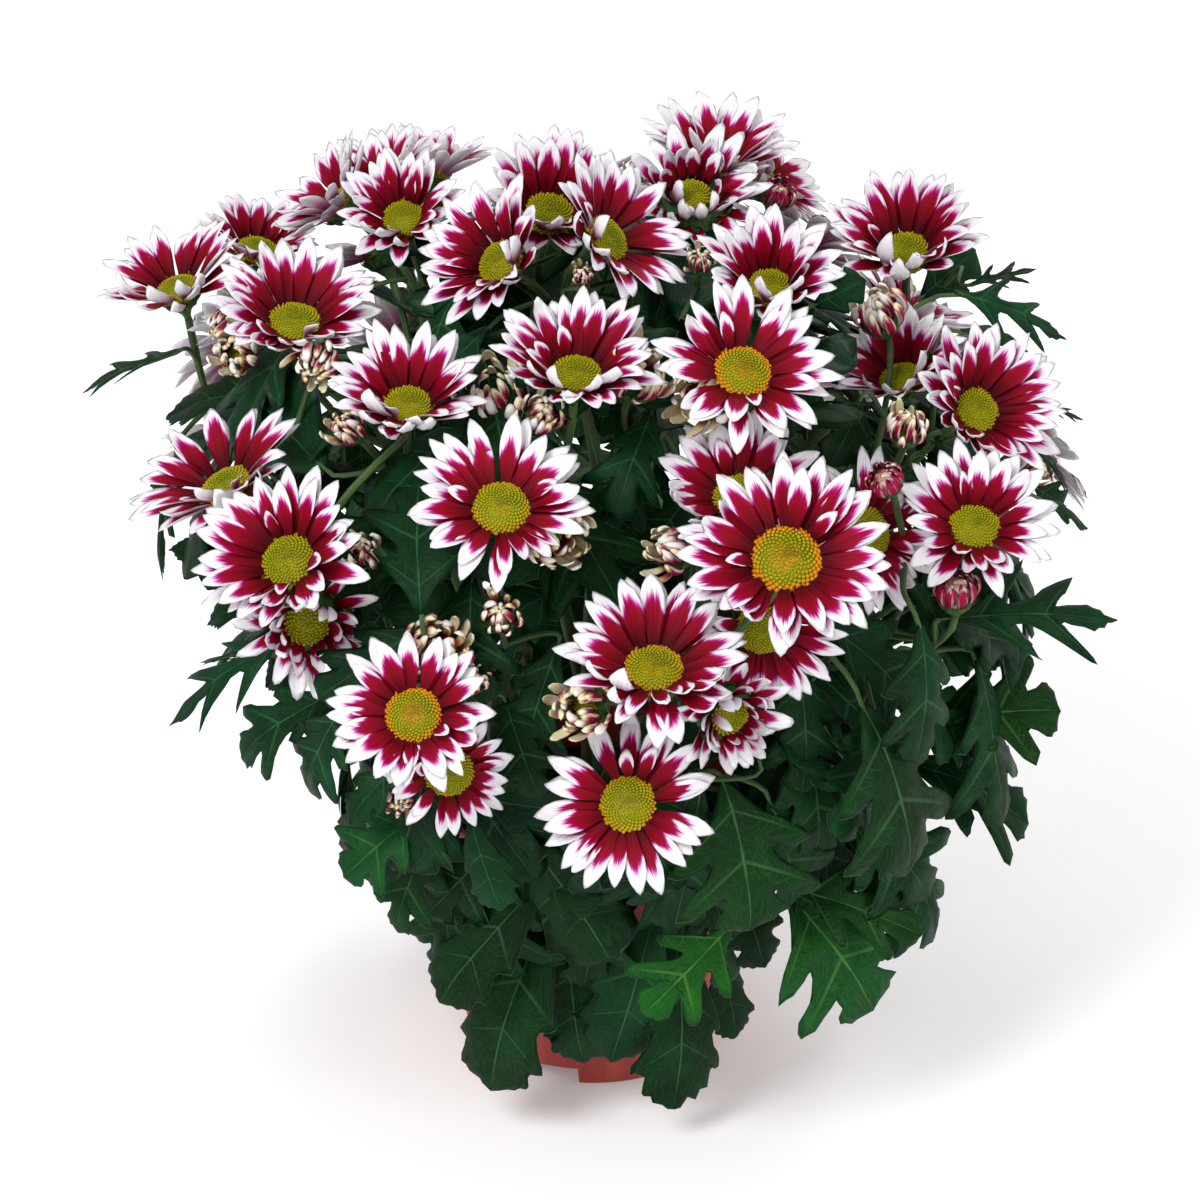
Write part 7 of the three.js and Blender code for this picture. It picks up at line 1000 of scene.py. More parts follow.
M_TOP, M_UNDER, M_CREAM, M_STRIPE, M_DISC, M_CUP = floret_top(), floret_under(), cream_floret(), striped_floret(), disc_material(), green_cup()
M_LEAF, M_LEAFU, M_STEM, M_POT, M_SOIL = leaf_top(), leaf_under(), stem_material(), pot_material(), soil_material()
HEAD_MATS = [M_TOP, M_UNDER, M_DISC, M_CUP, M_CREAM, M_STRIPE]


# ---- flower heads -----------------------------------------------------------------------------
def disc(b, F, O, rd, crown, count, mat, age, rng, dimple=0.25, base=0.0):
    """The domed disc, covered with small florets set in spirals."""
    dome = lambda q: base + crown * (1 - q ** 2.4) - dimple * crown * np.exp(-((q / 0.3) ** 2))
    prof = [(0, base - 2.0), (rd * 0.96, base - 1.6), (rd, base - 0.3)] + [(rd * q, float(dome(np.array(q)))) for q in (0.96, 0.85, 0.66, 0.42, 0.2)] + [(0, float(dome(np.array(0.0))))]
    lathe(b, F, O, prof, 18, mat, tone=age)
    i = np.arange(count)
    q = np.sqrt((i + 0.5) / count)
    a = i * 2.399963
    x, y, z = rd * q * np.cos(a), rd * q * np.sin(a), dome(q)
    size = rd / math.sqrt(count) * 0.98 * (0.82 + 0.3 * q) * rng.uniform(0.88, 1.12, count)
    tilt = q * 0.75  # they lean outwards towards the edge
    dx, dy, dz = np.sin(tilt) * np.cos(a), np.sin(tilt) * np.sin(a), np.cos(tilt)
    D = np.stack([dx, dy, dz], -1)
    U = unit(np.cross(D, np.array([0.31, 0.52, 0.8])))
    Wv = np.cross(D, U)
    open_ = (q > 0.80) & (rng.uniform(size=count) < age) | (q > 0.93) & (age > 0.3)
    high = size * (1.0 + 0.25 * q) * np.where(open_, 1.35, 1.0) * rng.uniform(0.85, 1.15, count)
    k = 5
    w = np.arange(k) * 2 * math.pi / k
    C = np.stack([x, y, z], -1)
    rings = []
    for rad, up in ((0.95, -0.2), (np.where(open_, 1.0, 0.80)[:, None, None] * 1.0, 0.62)):
        rr = size[:, None, None] * rad
        rings.append(C[:, None] + rr * (np.cos(w)[None, :, None] * U[:, None] + np.sin(w)[None, :, None] * Wv[:, None]) + (high[:, None, None] * up) * D[:, None])
    apex = C + D * (high * np.where(open_, 0.62, 1.02))[:, None]
    v = np.concatenate([*rings, apex[:, None]], 1)
    g = np.arange(2 * k).reshape(2, k)
    nx = np.roll(g, -1, 1)
    quads = np.concatenate([np.stack([g[:-1], nx[:-1], nx[1:], g[1:]], -1).reshape(-1, 4), np.stack([np.full(k, 2 * k), g[-1], nx[-1], -np.ones(k, int)], -1)])
    # closed underneath
    quads = np.concatenate([quads, [[0, 4, 3, 1], [1, 3, 2, -1]]])
    per = 2 * k + 1
    off = (i * per)[:, None, None]
    allq = np.where(quads[None] < 0, -1, quads[None] + off).reshape(-1, 4)
    # across runs from 0 at each floret's foot to 1 at its tip: the disc material paints shade at the feet
    tip = np.concatenate([np.zeros(k), np.full(k, 0.7), [1.0]])
    tipo = np.concatenate([np.zeros(k), np.full(k, 1.0), [0.3]])
    across = np.where(open_[:, None], tipo[None], tip[None])
    along = np.broadcast_to(q[:, None], (count, per))
    chance = np.broadcast_to(rng.uniform(size=count)[:, None], (count, per))
    b.add(v.reshape(-1, 3) @ np.array(F) + O, allq, mat, along, across, chance, age)


def involucre(b, F, O, rc, depth, mat, rng, rows=2, count=13, low=None):
    """The green cup under a head, with its overlapping bracts and the top of the stalk."""
    lathe(b, F, O, [(0, -depth - 0.4), (1.35, -depth - 0.2), (1.5, -depth + 1.5), (2.2, -depth * 0.74), (rc * 0.62, -depth * 0.5), (rc * 0.92, -depth * 0.3), (rc, -2.0), (rc * 0.9, -0.6), (0, -0.6)], 14, mat)
    for k in range(rows):
        az = (np.arange(count) + 0.5 * k) * 2 * math.pi / count + rng.uniform(-0.08, 0.08, count)
        florets(b, F, O, az, rc * (0.62 + 0.14 * k), -depth * (0.52 - 0.15 * k), rng.uniform(0.8, 1.05, count) * (rc * 0.78), 3.6, 0.95 - 0.1 * k, 0.5, 0, 0.5, 0.5, 0, 0, 0, (mat, mat), rng.uniform(size=count), nr=4, s=np.array([-1, 0, 1.0]), thick=0.5, pointed=1.6, tip_len=0.6, base_w=0.7, groove=0)


def open_head(b, idn, p, n, cup, R, rd, seed, near):
    rng = np.random.default_rng(seed)
    F, O = head_frame(n), np.array(p, float)
    count, white, age, folds = STYLE.get(idn, (26, 0.40, 0.3, []))
    count = int(count * 1.08)
    cupr = math.radians(cup)
    rows = [(0.52, -1.1, 1.0, -0.10), (0.48, 0.1, 0.965, 0.10)]
    start = rng.uniform(0, 6.28)
    for j, (share, h0, lk, more) in enumerate(rows):
        m = max(8, int(round(count * share)))
        az = start + (np.arange(m) + 0.5 * j) * 2 * math.pi / m + rng.normal(0, 0.075, m)
        deg = np.degrees(az) % 360
        L = (R - rd * 0.72 / math.cos(cupr)) * lk * rng.normal(1.0, 0.07, m).clip(0.8, 1.07)
        W = rng.normal(7.9, 0.65, m) * (R / 36) ** 0.8
        el = cupr * (1.12 + more * 1.2) + rng.normal(0.03, 0.11, m)
        bend = rng.normal(-0.22, 0.16, m)
        hook = rng.normal(0.0, 0.10, m) - 0.10
        at = np.full(m, 0.6)
        roll = rng.uniform(0.3, 0.8, m)
        tip = rng.normal(0.0, 0.3, m)
        tw = rng.normal(0, 0.16, m)
        side = rng.normal(0, 0.035, m)
        # a few are bent in or back
        odd = rng.uniform(size=m)
        hook = np.where(odd < 0.04, rng.uniform(0.5, 1.0, m), hook)
        roll = np.where(odd < 0.05, rng.uniform(1.0, 1.6, m), roll)
        hook = np.where(odd > 0.94, -rng.uniform(0.4, 0.8, m), hook)
        for a0, a1, turn, where in folds:
            inside = ((deg - a0) % 360) < ((a1 - a0) % 360)
            pick = inside & (rng.uniform(size=m) < (0.8 if j else 0.62))
            hook = np.where(pick, np.radians(turn) * rng.uniform(0.65, 1.15, m), hook)
            at = np.where(pick, where * rng.uniform(0.8, 1.15, m), at)
            roll = np.where(pick, rng.uniform(0.5, 1.3, m), roll)
            tw = np.where(pick, rng.normal(0, 0.45, m), tw)
            L = np.where(pick, L * rng.uniform(0.86, 1.0, m), L)
        florets(b, F, O, az, rd * 0.74, h0, L, W, el, bend, hook, at, roll, tip, tw, side, (0, 1), rng.uniform(size=m), white - 0.03, nr=11 if near else 8, s=FLORET_S if near else np.array([-1, -0.6, 0, 0.6, 1.0]))
    # short inner florets that stand up by the disc
    m = int(rng.integers(1, 3))
    az = rng.uniform(0, 6.28, m)
    florets(b, F, O, az, rd * 0.86, 0.3, (R - rd) * rng.uniform(0.5, 0.72, m), 5.6, cupr + rng.uniform(0.35, 0.6, m), -0.4, rng.uniform(-0.6, 0.2, m), 0.5, rng.uniform(0.6, 1.2, m), 0, rng.normal(0, 0.3, m), 0, (0, 1), rng.uniform(size=m), white - 0.10, nr=8)
    disc(b, F, O, rd, rd * 0.30, 250 if near else 120, 2, age, rng, base=0.6)
    involucre(b, F, O, 7.4, 13.0, 3, rng)


def small_head(b, idn, kind, p, n, R, rd, seed, bottom):
    """Half-open heads and buds: florets still curled over the middle."""
    rng = np.random.default_rng(seed)
    F, O = head_frame(n), np.array(p, float)
    lathe(b, F, O, [(0, -bottom - 0.3), (1.15, -bottom), (1.3, -bottom + 1.2), (R * 0.42, -R * 0.82), (R * 0.66, -R * 0.5), (R * 0.7, -R * 0.2), (0, -R * 0.1)], 12, 3)
    for k in range(2):
        c = 11
        az = (np.arange(c) + 0.5 * k) * 2 * math.pi / c
        florets(b, F, O, az, R * (0.42 + 0.1 * k), -R * (0.8 - 0.22 * k), R * rng.uniform(0.62, 0.8, c), R * 0.42, 1.05, 0.5, 0.2, 0.4, 0.6, 0, 0, 0, (3, 3), rng.uniform(size=c), nr=4, s=np.array([-1, 0, 1.0]), thick=0.45, pointed=1.6, tip_len=0.6, base_w=0.7, groove=0)
    S5 = np.array([-1, -0.5, 0, 0.5, 1.0])
    if idn in CLOSED:
        lathe(b, F, O, [(0, -R * 0.5), (R * 0.5, -R * 0.45), (R * 0.72, -R * 0.1), (R * 0.66, R * 0.3), (R * 0.4, R * 0.55), (0, R * 0.62)], 12, 5, chance=0.5, tone=1.0)
        for k, (c, r0, h0, ln, e0, w) in enumerate([(10, 0.52, -0.42, 1.62, 1.22, 0.52), (9, 0.42, -0.3, 1.42, 1.2, 0.48), (6, 0.24, 0.1, 0.8, 1.2, 0.36)]):
            az = (np.arange(c) + 0.5 * k) * 2 * math.pi / c + rng.normal(0, 0.09, c)
            florets(b, F, O, az, R * r0, R * h0, R * ln * rng.normal(1, 0.06, c), R * w, e0 + rng.normal(0, 0.05, c), 1.35, 0.55, 0.5, 0.9, 0.2, rng.normal(0, 0.12, c), 0, (5, 5), rng.uniform(size=c), 1.0, nr=8, s=S5, thick=0.3, pointed=1.9, tip_len=0.4, base_w=0.6, groove=0.05)
        return
    if R > 14:  # small open heads: their florets stand up or are bent in over the disc
        rows = [(14, 0.46, -0.35, 1.22, 0.62, -0.3, 0.40), (12, 0.42, -0.2, 1.02, 0.95, 0.5, 0.36), (7, 0.40, -0.05, 0.75, 1.25, 1.2, 0.30)]
        for k, (c, r0, h0, ln, e0, bd, w) in enumerate(rows):
            az = (np.arange(c) + 0.5 * k) * 2 * math.pi / c + rng.normal(0, 0.12, c)
            mats = (0, 1)
            florets(b, F, O, az, R * r0, R * h0, R * ln * rng.normal(1, 0.10, c), R * w * rng.normal(1, 0.1, c), e0 + rng.normal(0, 0.15, c), bd + rng.normal(0, 0.3, c), rng.normal(0.2, 0.5, c), 0.5, rng.uniform(0.6, 1.5, c), rng.normal(0.3, 0.3, c), rng.normal(0, 0.3, c), rng.normal(0, 0.06, c), mats, rng.uniform(size=c), 0.44, nr=8, s=S5, thick=0.4, pointed=2.3, tip_len=0.3, base_w=0.5, groove=0.04)
        disc(b, F, O, rd, R * 0.14, 120, 2, 0.0, rng, dimple=0.4, base=0.0)
        return
    # florets like bent fingers round a hollow, crimson outside, with cream tips
    if kind == "h":
        rows = [(11, 0.46, -0.46, 1.62, 1.02, 1.45, 0.42), (10, 0.40, -0.28, 1.45, 1.24, 1.7, 0.38), (7, 0.34, -0.05, 1.10, 1.42, 1.7, 0.32)]
    else:
        rows = [(11, 0.46, -0.50, 1.70, 1.12, 1.60, 0.40), (9, 0.36, -0.32, 1.50, 1.35, 1.75, 0.35), (7, 0.20, -0.05, 1.15, 1.5, 1.5, 0.28)]
    for k, (c, r0, h0, ln, e0, bd, w) in enumerate(rows):
        az = (np.arange(c) + 0.5 * k) * 2 * math.pi / c + rng.normal(0, 0.12, c)
        florets(b, F, O, az, R * r0, R * h0, R * ln * rng.normal(1, 0.10, c), R * w * rng.normal(1, 0.12, c), e0 + rng.normal(0, 0.16, c), bd + rng.normal(0, 0.25, c), rng.normal(0.1, 0.35, c), 0.5, rng.uniform(0.9, 1.5, c), rng.normal(0.2, 0.3, c), rng.normal(0, 0.3, c), rng.normal(0, 0.05, c), (4, 5), rng.uniform(size=c), rng.uniform(-0.1, 0.25), nr=9, s=S5, thick=0.55, pointed=2.8, tip_len=0.22, base_w=0.55, groove=0.03)
    disc(b, F, O, R * 0.40, R * 0.12, 60, 2, 0.0, rng, dimple=0.4, base=-0.1 * R)


# ---- leaves -----------------------------------------------------------------------------------
LEAF_S = np.array([-1, -0.86, -0.62, -0.36, -0.12, 0, 0.12, 0.36, 0.62, 0.86, 1.0])
LEAF_S_LOW = np.array([-1, -0.62, -0.25, 0, 0.25, 0.62, 1.0])
# Half outlines of a blade that is 1 long: distance from the midrib, distance from the base, vein count (whole in a lobe's middle)
OUTLINES = {
    "broad": [(0.03, 0.0, 0.5), (0.06, 0.08, 0.6), (0.10, 0.17, 0.7), (0.16, 0.25, 0.78), (0.235, 0.325, 0.87), (0.30, 0.39, 0.94), (0.335, 0.455, 1.0), (0.30, 0.475, 1.06), (0.255, 0.485, 1.15), (0.205, 0.465, 1.28), (0.17, 0.445, 1.4), (0.155, 0.455, 1.5),
              (0.165, 0.50, 1.6), (0.205, 0.565, 1.7), (0.265, 0.63, 1.8), (0.325, 0.69, 1.9), (0.365, 0.745, 1.97), (0.37, 0.79, 2.0), (0.33, 0.805, 2.06), (0.285, 0.815, 2.13), (0.23, 0.785, 2.24), (0.175, 0.745, 2.36), (0.14, 0.725, 2.45), (0.127, 0.745, 2.5),
              (0.135, 0.80, 2.6), (0.168, 0.855, 2.68), (0.18, 0.90, 2.74), (0.148, 0.92, 2.78), (0.125, 0.955, 2.81), (0.08, 0.962, 2.84), (0.04, 0.987, 2.87), (0.004, 1.0, 2.9)],
    "finger": [(0.03, 0.0, 0.5), (0.055, 0.08, 0.6), (0.09, 0.16, 0.7), (0.15, 0.23, 0.78), (0.235, 0.295, 0.87), (0.315, 0.35, 0.94), (0.365, 0.41, 1.0), (0.345, 0.45, 1.05), (0.29, 0.455, 1.14), (0.21, 0.41, 1.28), (0.145, 0.375, 1.4), (0.115, 0.385, 1.5),
               (0.125, 0.44, 1.6), (0.17, 0.52, 1.7), (0.235, 0.60, 1.8), (0.30, 0.67, 1.9), (0.34, 0.73, 1.97), (0.345, 0.78, 2.0), (0.305, 0.80, 2.06), (0.255, 0.795, 2.13), (0.195, 0.745, 2.24), (0.14, 0.68, 2.36), (0.105, 0.64, 2.45), (0.095, 0.655, 2.5),
               (0.10, 0.72, 2.6), (0.135, 0.80, 2.68), (0.155, 0.865, 2.74), (0.14, 0.905, 2.78), (0.115, 0.945, 2.81), (0.075, 0.96, 2.84), (0.035, 0.987, 2.87), (0.004, 1.0, 2.9)],
    "sharp": [(0.025, 0.0, 0.5), (0.045, 0.09, 0.6), (0.07, 0.18, 0.7), (0.13, 0.26, 0.78), (0.22, 0.345, 0.87), (0.31, 0.425, 0.94), (0.39, 0.51, 1.0), (0.325, 0.49, 1.05), (0.24, 0.445, 1.14), (0.155, 0.39, 1.28), (0.10, 0.37, 1.4), (0.08, 0.39, 1.5),
              (0.088, 0.45, 1.6), (0.135, 0.53, 1.7), (0.20, 0.615, 1.8), (0.27, 0.70, 1.9), (0.32, 0.775, 1.97), (0.335, 0.81, 2.0), (0.285, 0.79, 2.06), (0.22, 0.745, 2.13), (0.15, 0.69, 2.24), (0.10, 0.65, 2.36), (0.075, 0.64, 2.45), (0.068, 0.66, 2.5),
              (0.072, 0.72, 2.6), (0.09, 0.79, 2.68), (0.10, 0.84, 2.74), (0.078, 0.87, 2.78), (0.062, 0.915, 2.81), (0.036, 0.935, 2.84), (0.02, 0.975, 2.87), (0.004, 1.0, 2.9)],
    "long": [(0.02, 0.0, 0.5), (0.05, 0.10, 0.6), (0.085, 0.20, 0.7), (0.12, 0.30, 0.8), (0.152, 0.40, 0.88), (0.18, 0.48, 0.95), (0.196, 0.545, 1.0), (0.178, 0.567, 1.06), (0.164, 0.575, 1.2), (0.156, 0.583, 1.35), (0.152, 0.605, 1.5),
             (0.165, 0.655, 1.62), (0.19, 0.71, 1.78), (0.208, 0.75, 1.92), (0.213, 0.79, 2.0), (0.19, 0.803, 2.1), (0.168, 0.805, 2.28), (0.16, 0.812, 2.42), (0.157, 0.835, 2.5), (0.165, 0.875, 2.6), (0.155, 0.907, 2.7), (0.118, 0.915, 2.76), (0.104, 0.95, 2.8), (0.06, 0.957, 2.84), (0.035, 0.987, 2.87), (0.004, 1.0, 2.9)],
    "short": [(0.04, 0.0, 0.5), (0.09, 0.12, 0.62), (0.155, 0.22, 0.75), (0.235, 0.325, 0.87), (0.31, 0.42, 0.95), (0.345, 0.51, 1.0), (0.32, 0.55, 1.06), (0.265, 0.56, 1.18), (0.21, 0.54, 1.35), (0.185, 0.56, 1.5),
              (0.195, 0.62, 1.6), (0.235, 0.69, 1.7), (0.27, 0.75, 1.8), (0.268, 0.81, 1.85), (0.22, 0.83, 1.86), (0.195, 0.885, 1.87), (0.14, 0.90, 1.88), (0.11, 0.95, 1.88), (0.06, 0.96, 1.89), (0.035, 0.988, 1.9), (0.004, 1.0, 1.9)],
}
OUTLINES = {k: np.array(v) for k, v in OUTLINES.items()}


def leaf(b, B, T, N, wr, arch, tone, fine, pet, seed):
    rng = np.random.default_rng(seed)
    B, T, N = (np.array(x, float) for x in (B, T, N))
    a = T - B
    L = np.linalg.norm(a)
    a = a / L
    side = unit(np.cross(a, N))
    up = np.cross(side, a)
    kind = "sharp" if fine == 2 else "short" if L < 34 else "long" if wr < 0.52 or rng.uniform() < (0.0 if fine else 0.25) else "finger" if tone > 0.75 or rng.uniform() < 0.22 else "broad"
    line = OUTLINES[kind]
    if not fine:
        line = line[sorted(set(range(0, len(line), 2)) | set(np.flatnonzero(np.isin(line[:, 2], (1.0, 1.5, 2.0, 2.5))).tolist()) | {len(line) - 1})]
    full = line[:, 0].max()
    Wd = wr * L * 0.5 * rng.uniform(0.98, 1.1)
    wl = wr_ = None
    sides = []
    for k in range(2):  # each side has lobes of its own
        q = line.copy()
        grow = 1 + rng.normal(0, 0.09) * np.exp(-((q[:, 2] - 1) / 0.45) ** 2) + rng.normal(0, 0.08) * np.exp(-((q[:, 2] - 2) / 0.45) ** 2)
        q[:, 0] = q[:, 0] / full * grow
        lift = rng.normal(0, 0.022) * np.exp(-((q[:, 2] - 1) / 0.5) ** 2) + rng.normal(0, 0.018) * np.exp(-((q[:, 2] - 2) / 0.5) ** 2)
        q[:, 1] = q[:, 1] + lift
        q[1:-1, 0] += rng.normal(0, 0.016, len(q) - 2)
        q[1:-1, 1] += rng.normal(0, 0.006, len(q) - 2)
        sides.append(q)
    ph = line[:, 2]
    y0 = line[:, 1] - 0.9 * line[:, 0] * (1 - 0.25 * line[:, 1])
    m0 = np.zeros(len(line))
    for i in range(1, len(line)):
        m0[i] = max(m0[i - 1] + 0.009, y0[i])
    m0 = m0 * (1.0 / max(1.0, m0[-1]))
    m0[-1] = 0.998
    s = LEAF_S if fine else LEAF_S_LOW
    Sg = np.broadcast_to(s[None], (len(ph), len(s)))
    ox = np.where(Sg < 0, sides[0][:, 0:1], sides[1][:, 0:1]) * Wd
    oy = np.where(Sg < 0, sides[0][:, 1:2], sides[1][:, 1:2])
    A = np.abs(Sg)
    x = Sg * ox
    y = (m0[:, None] + (oy - m0[:, None]) * (0.85 * A + 0.15 * A * A)) * L
    t = np.clip(y / L, 0, 1.1)
    f = np.abs(x) / Wd
    frac = np.abs(((ph[:, None] + 0.5) % 1) - 0.5)
    vein = np.exp(-((frac / 0.07) ** 2)) * smooth(0.02, 0.2, A) * (1 - 0.5 * A)
    mid = np.exp(-((x / (0.05 * Wd + 0.5)) ** 2))
    fold = rng.uniform(0.04, 0.20)
    z = 4 * arch * L * t * (1 - t) + np.abs(x) * fold * (1 if rng.uniform() < 0.6 else -0.8)
    z = z + 0.035 * Wd * (1 - vein - mid) * smooth(0.0, 0.3, A) * (1 - A ** 4)
    k1, k2 = rng.uniform(0, 6.28, 2)
    amp = rng.uniform(0.03, 0.08)
    z = z + amp * Wd * np.sin(ph[:, None] * 2.4 + k1 + 1.2 * np.sign(Sg)) * f ** 1.5 * 1.5
    z = z - rng.uniform(0.04, 0.16) * Wd * f ** 2.4 + 0.02 * L * np.sin(2.4 * t * math.pi + k2) * t
    z = z - rng.uniform(0.0, 0.05) * L * smooth(0.7, 1.0, t)
    z = z - 0.04 * Wd * (0.5 - frac) * 2 * A ** 4
    bendx = rng.normal(0, 0.03) * L * t * t
    P = B + (x + bendx)[..., None] * side + y[..., None] * a + z[..., None] * up
    # upper normals from the grid, for the thickness
    du, dv = np.gradient(P, axis=1), np.gradient(P, axis=0)
    nn = unit(np.cross(du, dv) + 1e-9)
    nn = np.where((nn @ up)[..., None] < 0, -nn, nn)
    th = 0.42 + 0.3 * mid
    low = P - nn * th[..., None]
    # columns run from left to right, so the quads face up with rows and columns in this order
    chance = float(rng.uniform())
    add_shells(b, P[None][:, :, ::-1], low[None][:, :, ::-1], (0, 1), np.broadcast_to(ph[:, None], x.shape), Sg[:, ::-1], chance, tone)
    # leaf stalk, running on as the midrib under the blade
    stalk = bezier(pet, 9 if fine else 6)
    k = len(stalk) - 1
    mi = [np.argmin(np.abs(m0 - q)) for q in ((0.04, 0.12, 0.22, 0.34, 0.46, 0.58, 0.7, 0.82, 0.9) if fine else (0.08, 0.3, 0.6, 0.85))]
    mi = sorted(set(int(i) for i in mi if i > 0))
    c = len(s) // 2
    mid_pts = np.array([P[i, c] - nn[i, c] * 0.75 for i in mi])
    pts = np.concatenate([stalk[:-1], mid_pts])
    rad = np.concatenate([np.linspace(1.35, 1.0, k), np.linspace(0.95, 0.3, len(mi))]) * (0.75 + 0.25 * min(1, L / 60))
    tube(b, pts, rad, 6 if fine else 5, 2, chance, tone, flat=0.9)
    return P


def stem(b, kind, r0, r1, P, seed):
    rng = np.random.default_rng(seed)
    n = {"m": 14, "s": 14, "k": 11}[kind]
    pts = bezier(P, n)
    rad = np.linspace(r0, r1, n) * (1 + 0.05 * np.sin(np.arange(n) * 2.2 + rng.uniform(0, 6)))
    if kind == "k":
        rad[-2:] *= 1.12
    tube(b, pts, rad, 8 if kind != "k" else 7, 2, float(rng.uniform()))


LEFT_OUT = {85, 88, 93, 101, 109, 114, 122, 127, 135, 140, 144, 161, 177}  # these would stand out past the outline


def inner_leaves():
    """Broad leaves all round the inside of the dome, under the flowers, each on the stem that is nearest to it."""
    made = []
    rng = np.random.default_rng(77)
    centre = np.array([0.0, 0.0, 150.0])
    hp = np.array([h[3:6] for h in HEADS if h[2] == "o"], float)
    hn = unit(np.array([h[6:9] for h in HEADS if h[2] == "o"], float))
    hR = np.array([h[10] for h in HEADS if h[2] == "o"], float)
    hd = unit(hp - centre)
    hr = np.linalg.norm(hp - centre, axis=1)
    line = [(p, s[0]) for s in STEMS for p in bezier(s[4:], 16)[2:]]
    sp, sk = np.array([p for p, _ in line]), np.array([k for _, k in line])
    n = 330
    i = np.arange(n)
    zz = 1 - 2 * (i + 0.5) / n
    az = i * 2.399963
    for j in range(n):
        r = math.sqrt(1 - zz[j] ** 2)
        u = np.array([r * math.cos(az[j]), r * math.sin(az[j]), zz[j]])
        if u[2] < -0.42:
            continue
        if j in LEFT_OUT:
            continue
        rng = np.random.default_rng(7000 + j)
        w = np.exp(-(1 - hd @ u) / 0.03) + 1e-9
        reach = float((w * hr).sum() / w.sum())
        deep = rng.uniform(15, 30) if u[2] > 0.05 else rng.uniform(26, 48)
        P = centre + u * (reach - deep)
        if P[2] < 52:
            continue
        # the blade hangs outwards and down, its upper side to the outside
        down = unit(np.array([u[0], u[1], -0.25]) + rng.normal(0, 0.45, 3))
        N = unit(u + rng.normal(0, 0.22, 3) + np.array([0, 0, 0.15]))
        a = unit(down - N * (down @ N))
        L = rng.uniform(44, 66)
        if P[2] - L * 0.5 * abs(a[2]) < 20:
            continue
        B, T = P - a * L * 0.5, P + a * L * 0.5
        d = np.linalg.norm(sp - B, axis=1) + 1e3 * (sp[:, 2] > B[2] + 6)
        q = int(d.argmin())
        if np.linalg.norm(sp[q] - B) > 60:
            continue
        if np.hypot(B[0], B[1]) < 70 and B[2] < 112 or np.hypot(T[0], T[1]) < 72 and T[2] < 112:
            continue
        half = np.cross(a, N) * L * 0.3
        probe = np.array([B, P, T, P + half, P - half, P + half + a * L * 0.25, P - half + a * L * 0.25])
        rel = probe[:, None] - hp[None]
        out = (rel * hn[None]).sum(-1)
        flat = np.linalg.norm(rel - out[..., None] * hn[None], axis=-1)
        if np.any((out > -9.0) & (out < 60) & (flat < hR[None] * 0.92)):
            continue
        S = sp[q]
        g = B - S
        pet = (*S, *(S + g * 0.35 - a * 2.0), *(B - a * np.linalg.norm(g) * 0.3), *B)
        made.append((int(sk[q]), B, T, N, rng.uniform(0.62, 0.8), rng.uniform(0.0, 0.08), rng.uniform(0, 0.25), 0, pet, j))
    return made


# ---- make everything ----------------------------------------------------------------------------
cuttings = {k: Build("plant_" + name[8:], [M_LEAF, M_LEAFU, M_STEM, M_CUP, M_CREAM, M_STRIPE, M_DISC]) for k, name in enumerate(CUTTINGS)}
for i, (node, idn, kind, x, y, z, nx, ny, nz, cup, R, rd, plant) in enumerate(HEADS):
    near = not idn.startswith("K")
    if node:
        b = Build(node + "_bloom", HEAD_MATS)
        if kind == "o":
            open_head(b, idn, (x, y, z), (nx, ny, nz), cup, R, rd, 100 + i, near)
        else:
            small_head(b, idn, kind, (x, y, z), (nx, ny, nz), R, rd, 100 + i, R + 2.0)
        ob = b.make()
        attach(ob, "root")
        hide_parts(node)
    else:
        b = Build("x", HEAD_MATS)
        small_head(b, idn, kind, (x, y, z), (nx, ny, nz), R, rd, 100 + i, R + 3.0)
        c = cuttings[plant]
        # the bud's materials are numbered as in a head: turn them into the cutting's
        remap = np.array([0, 1, 6, 3, 4, 5])
        for v, q, m, al, ac, ch, to in zip(b.v, b.q, b.m, b.a["along"], b.a["across"], b.a["chance"], b.a["tone"]):
            base = int(q[q >= 0].min()) if len(q) else 0
            c.add(v, np.where(q < 0, -1, q - base), remap[m], al, ac, ch, to)

for i, (plant, kind, r0, r1, *P) in enumerate(STEMS):
    stem(cuttings[plant], kind, r0, r1, P, 1000 + i)
for i, (plant, B, T, N, wr, arch, tone, fine, pet) in enumerate(LEAVES):
    leaf(cuttings[plant], B, T, N, wr, arch, tone, fine, pet, 2000 + i)
for plant, *spec, j in inner_leaves():
    leaf(cuttings[plant], *spec, 5000 + j)
for k, b in cuttings.items():
    ob = b.make()
    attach(ob, "root")
    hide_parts(CUTTINGS[k])


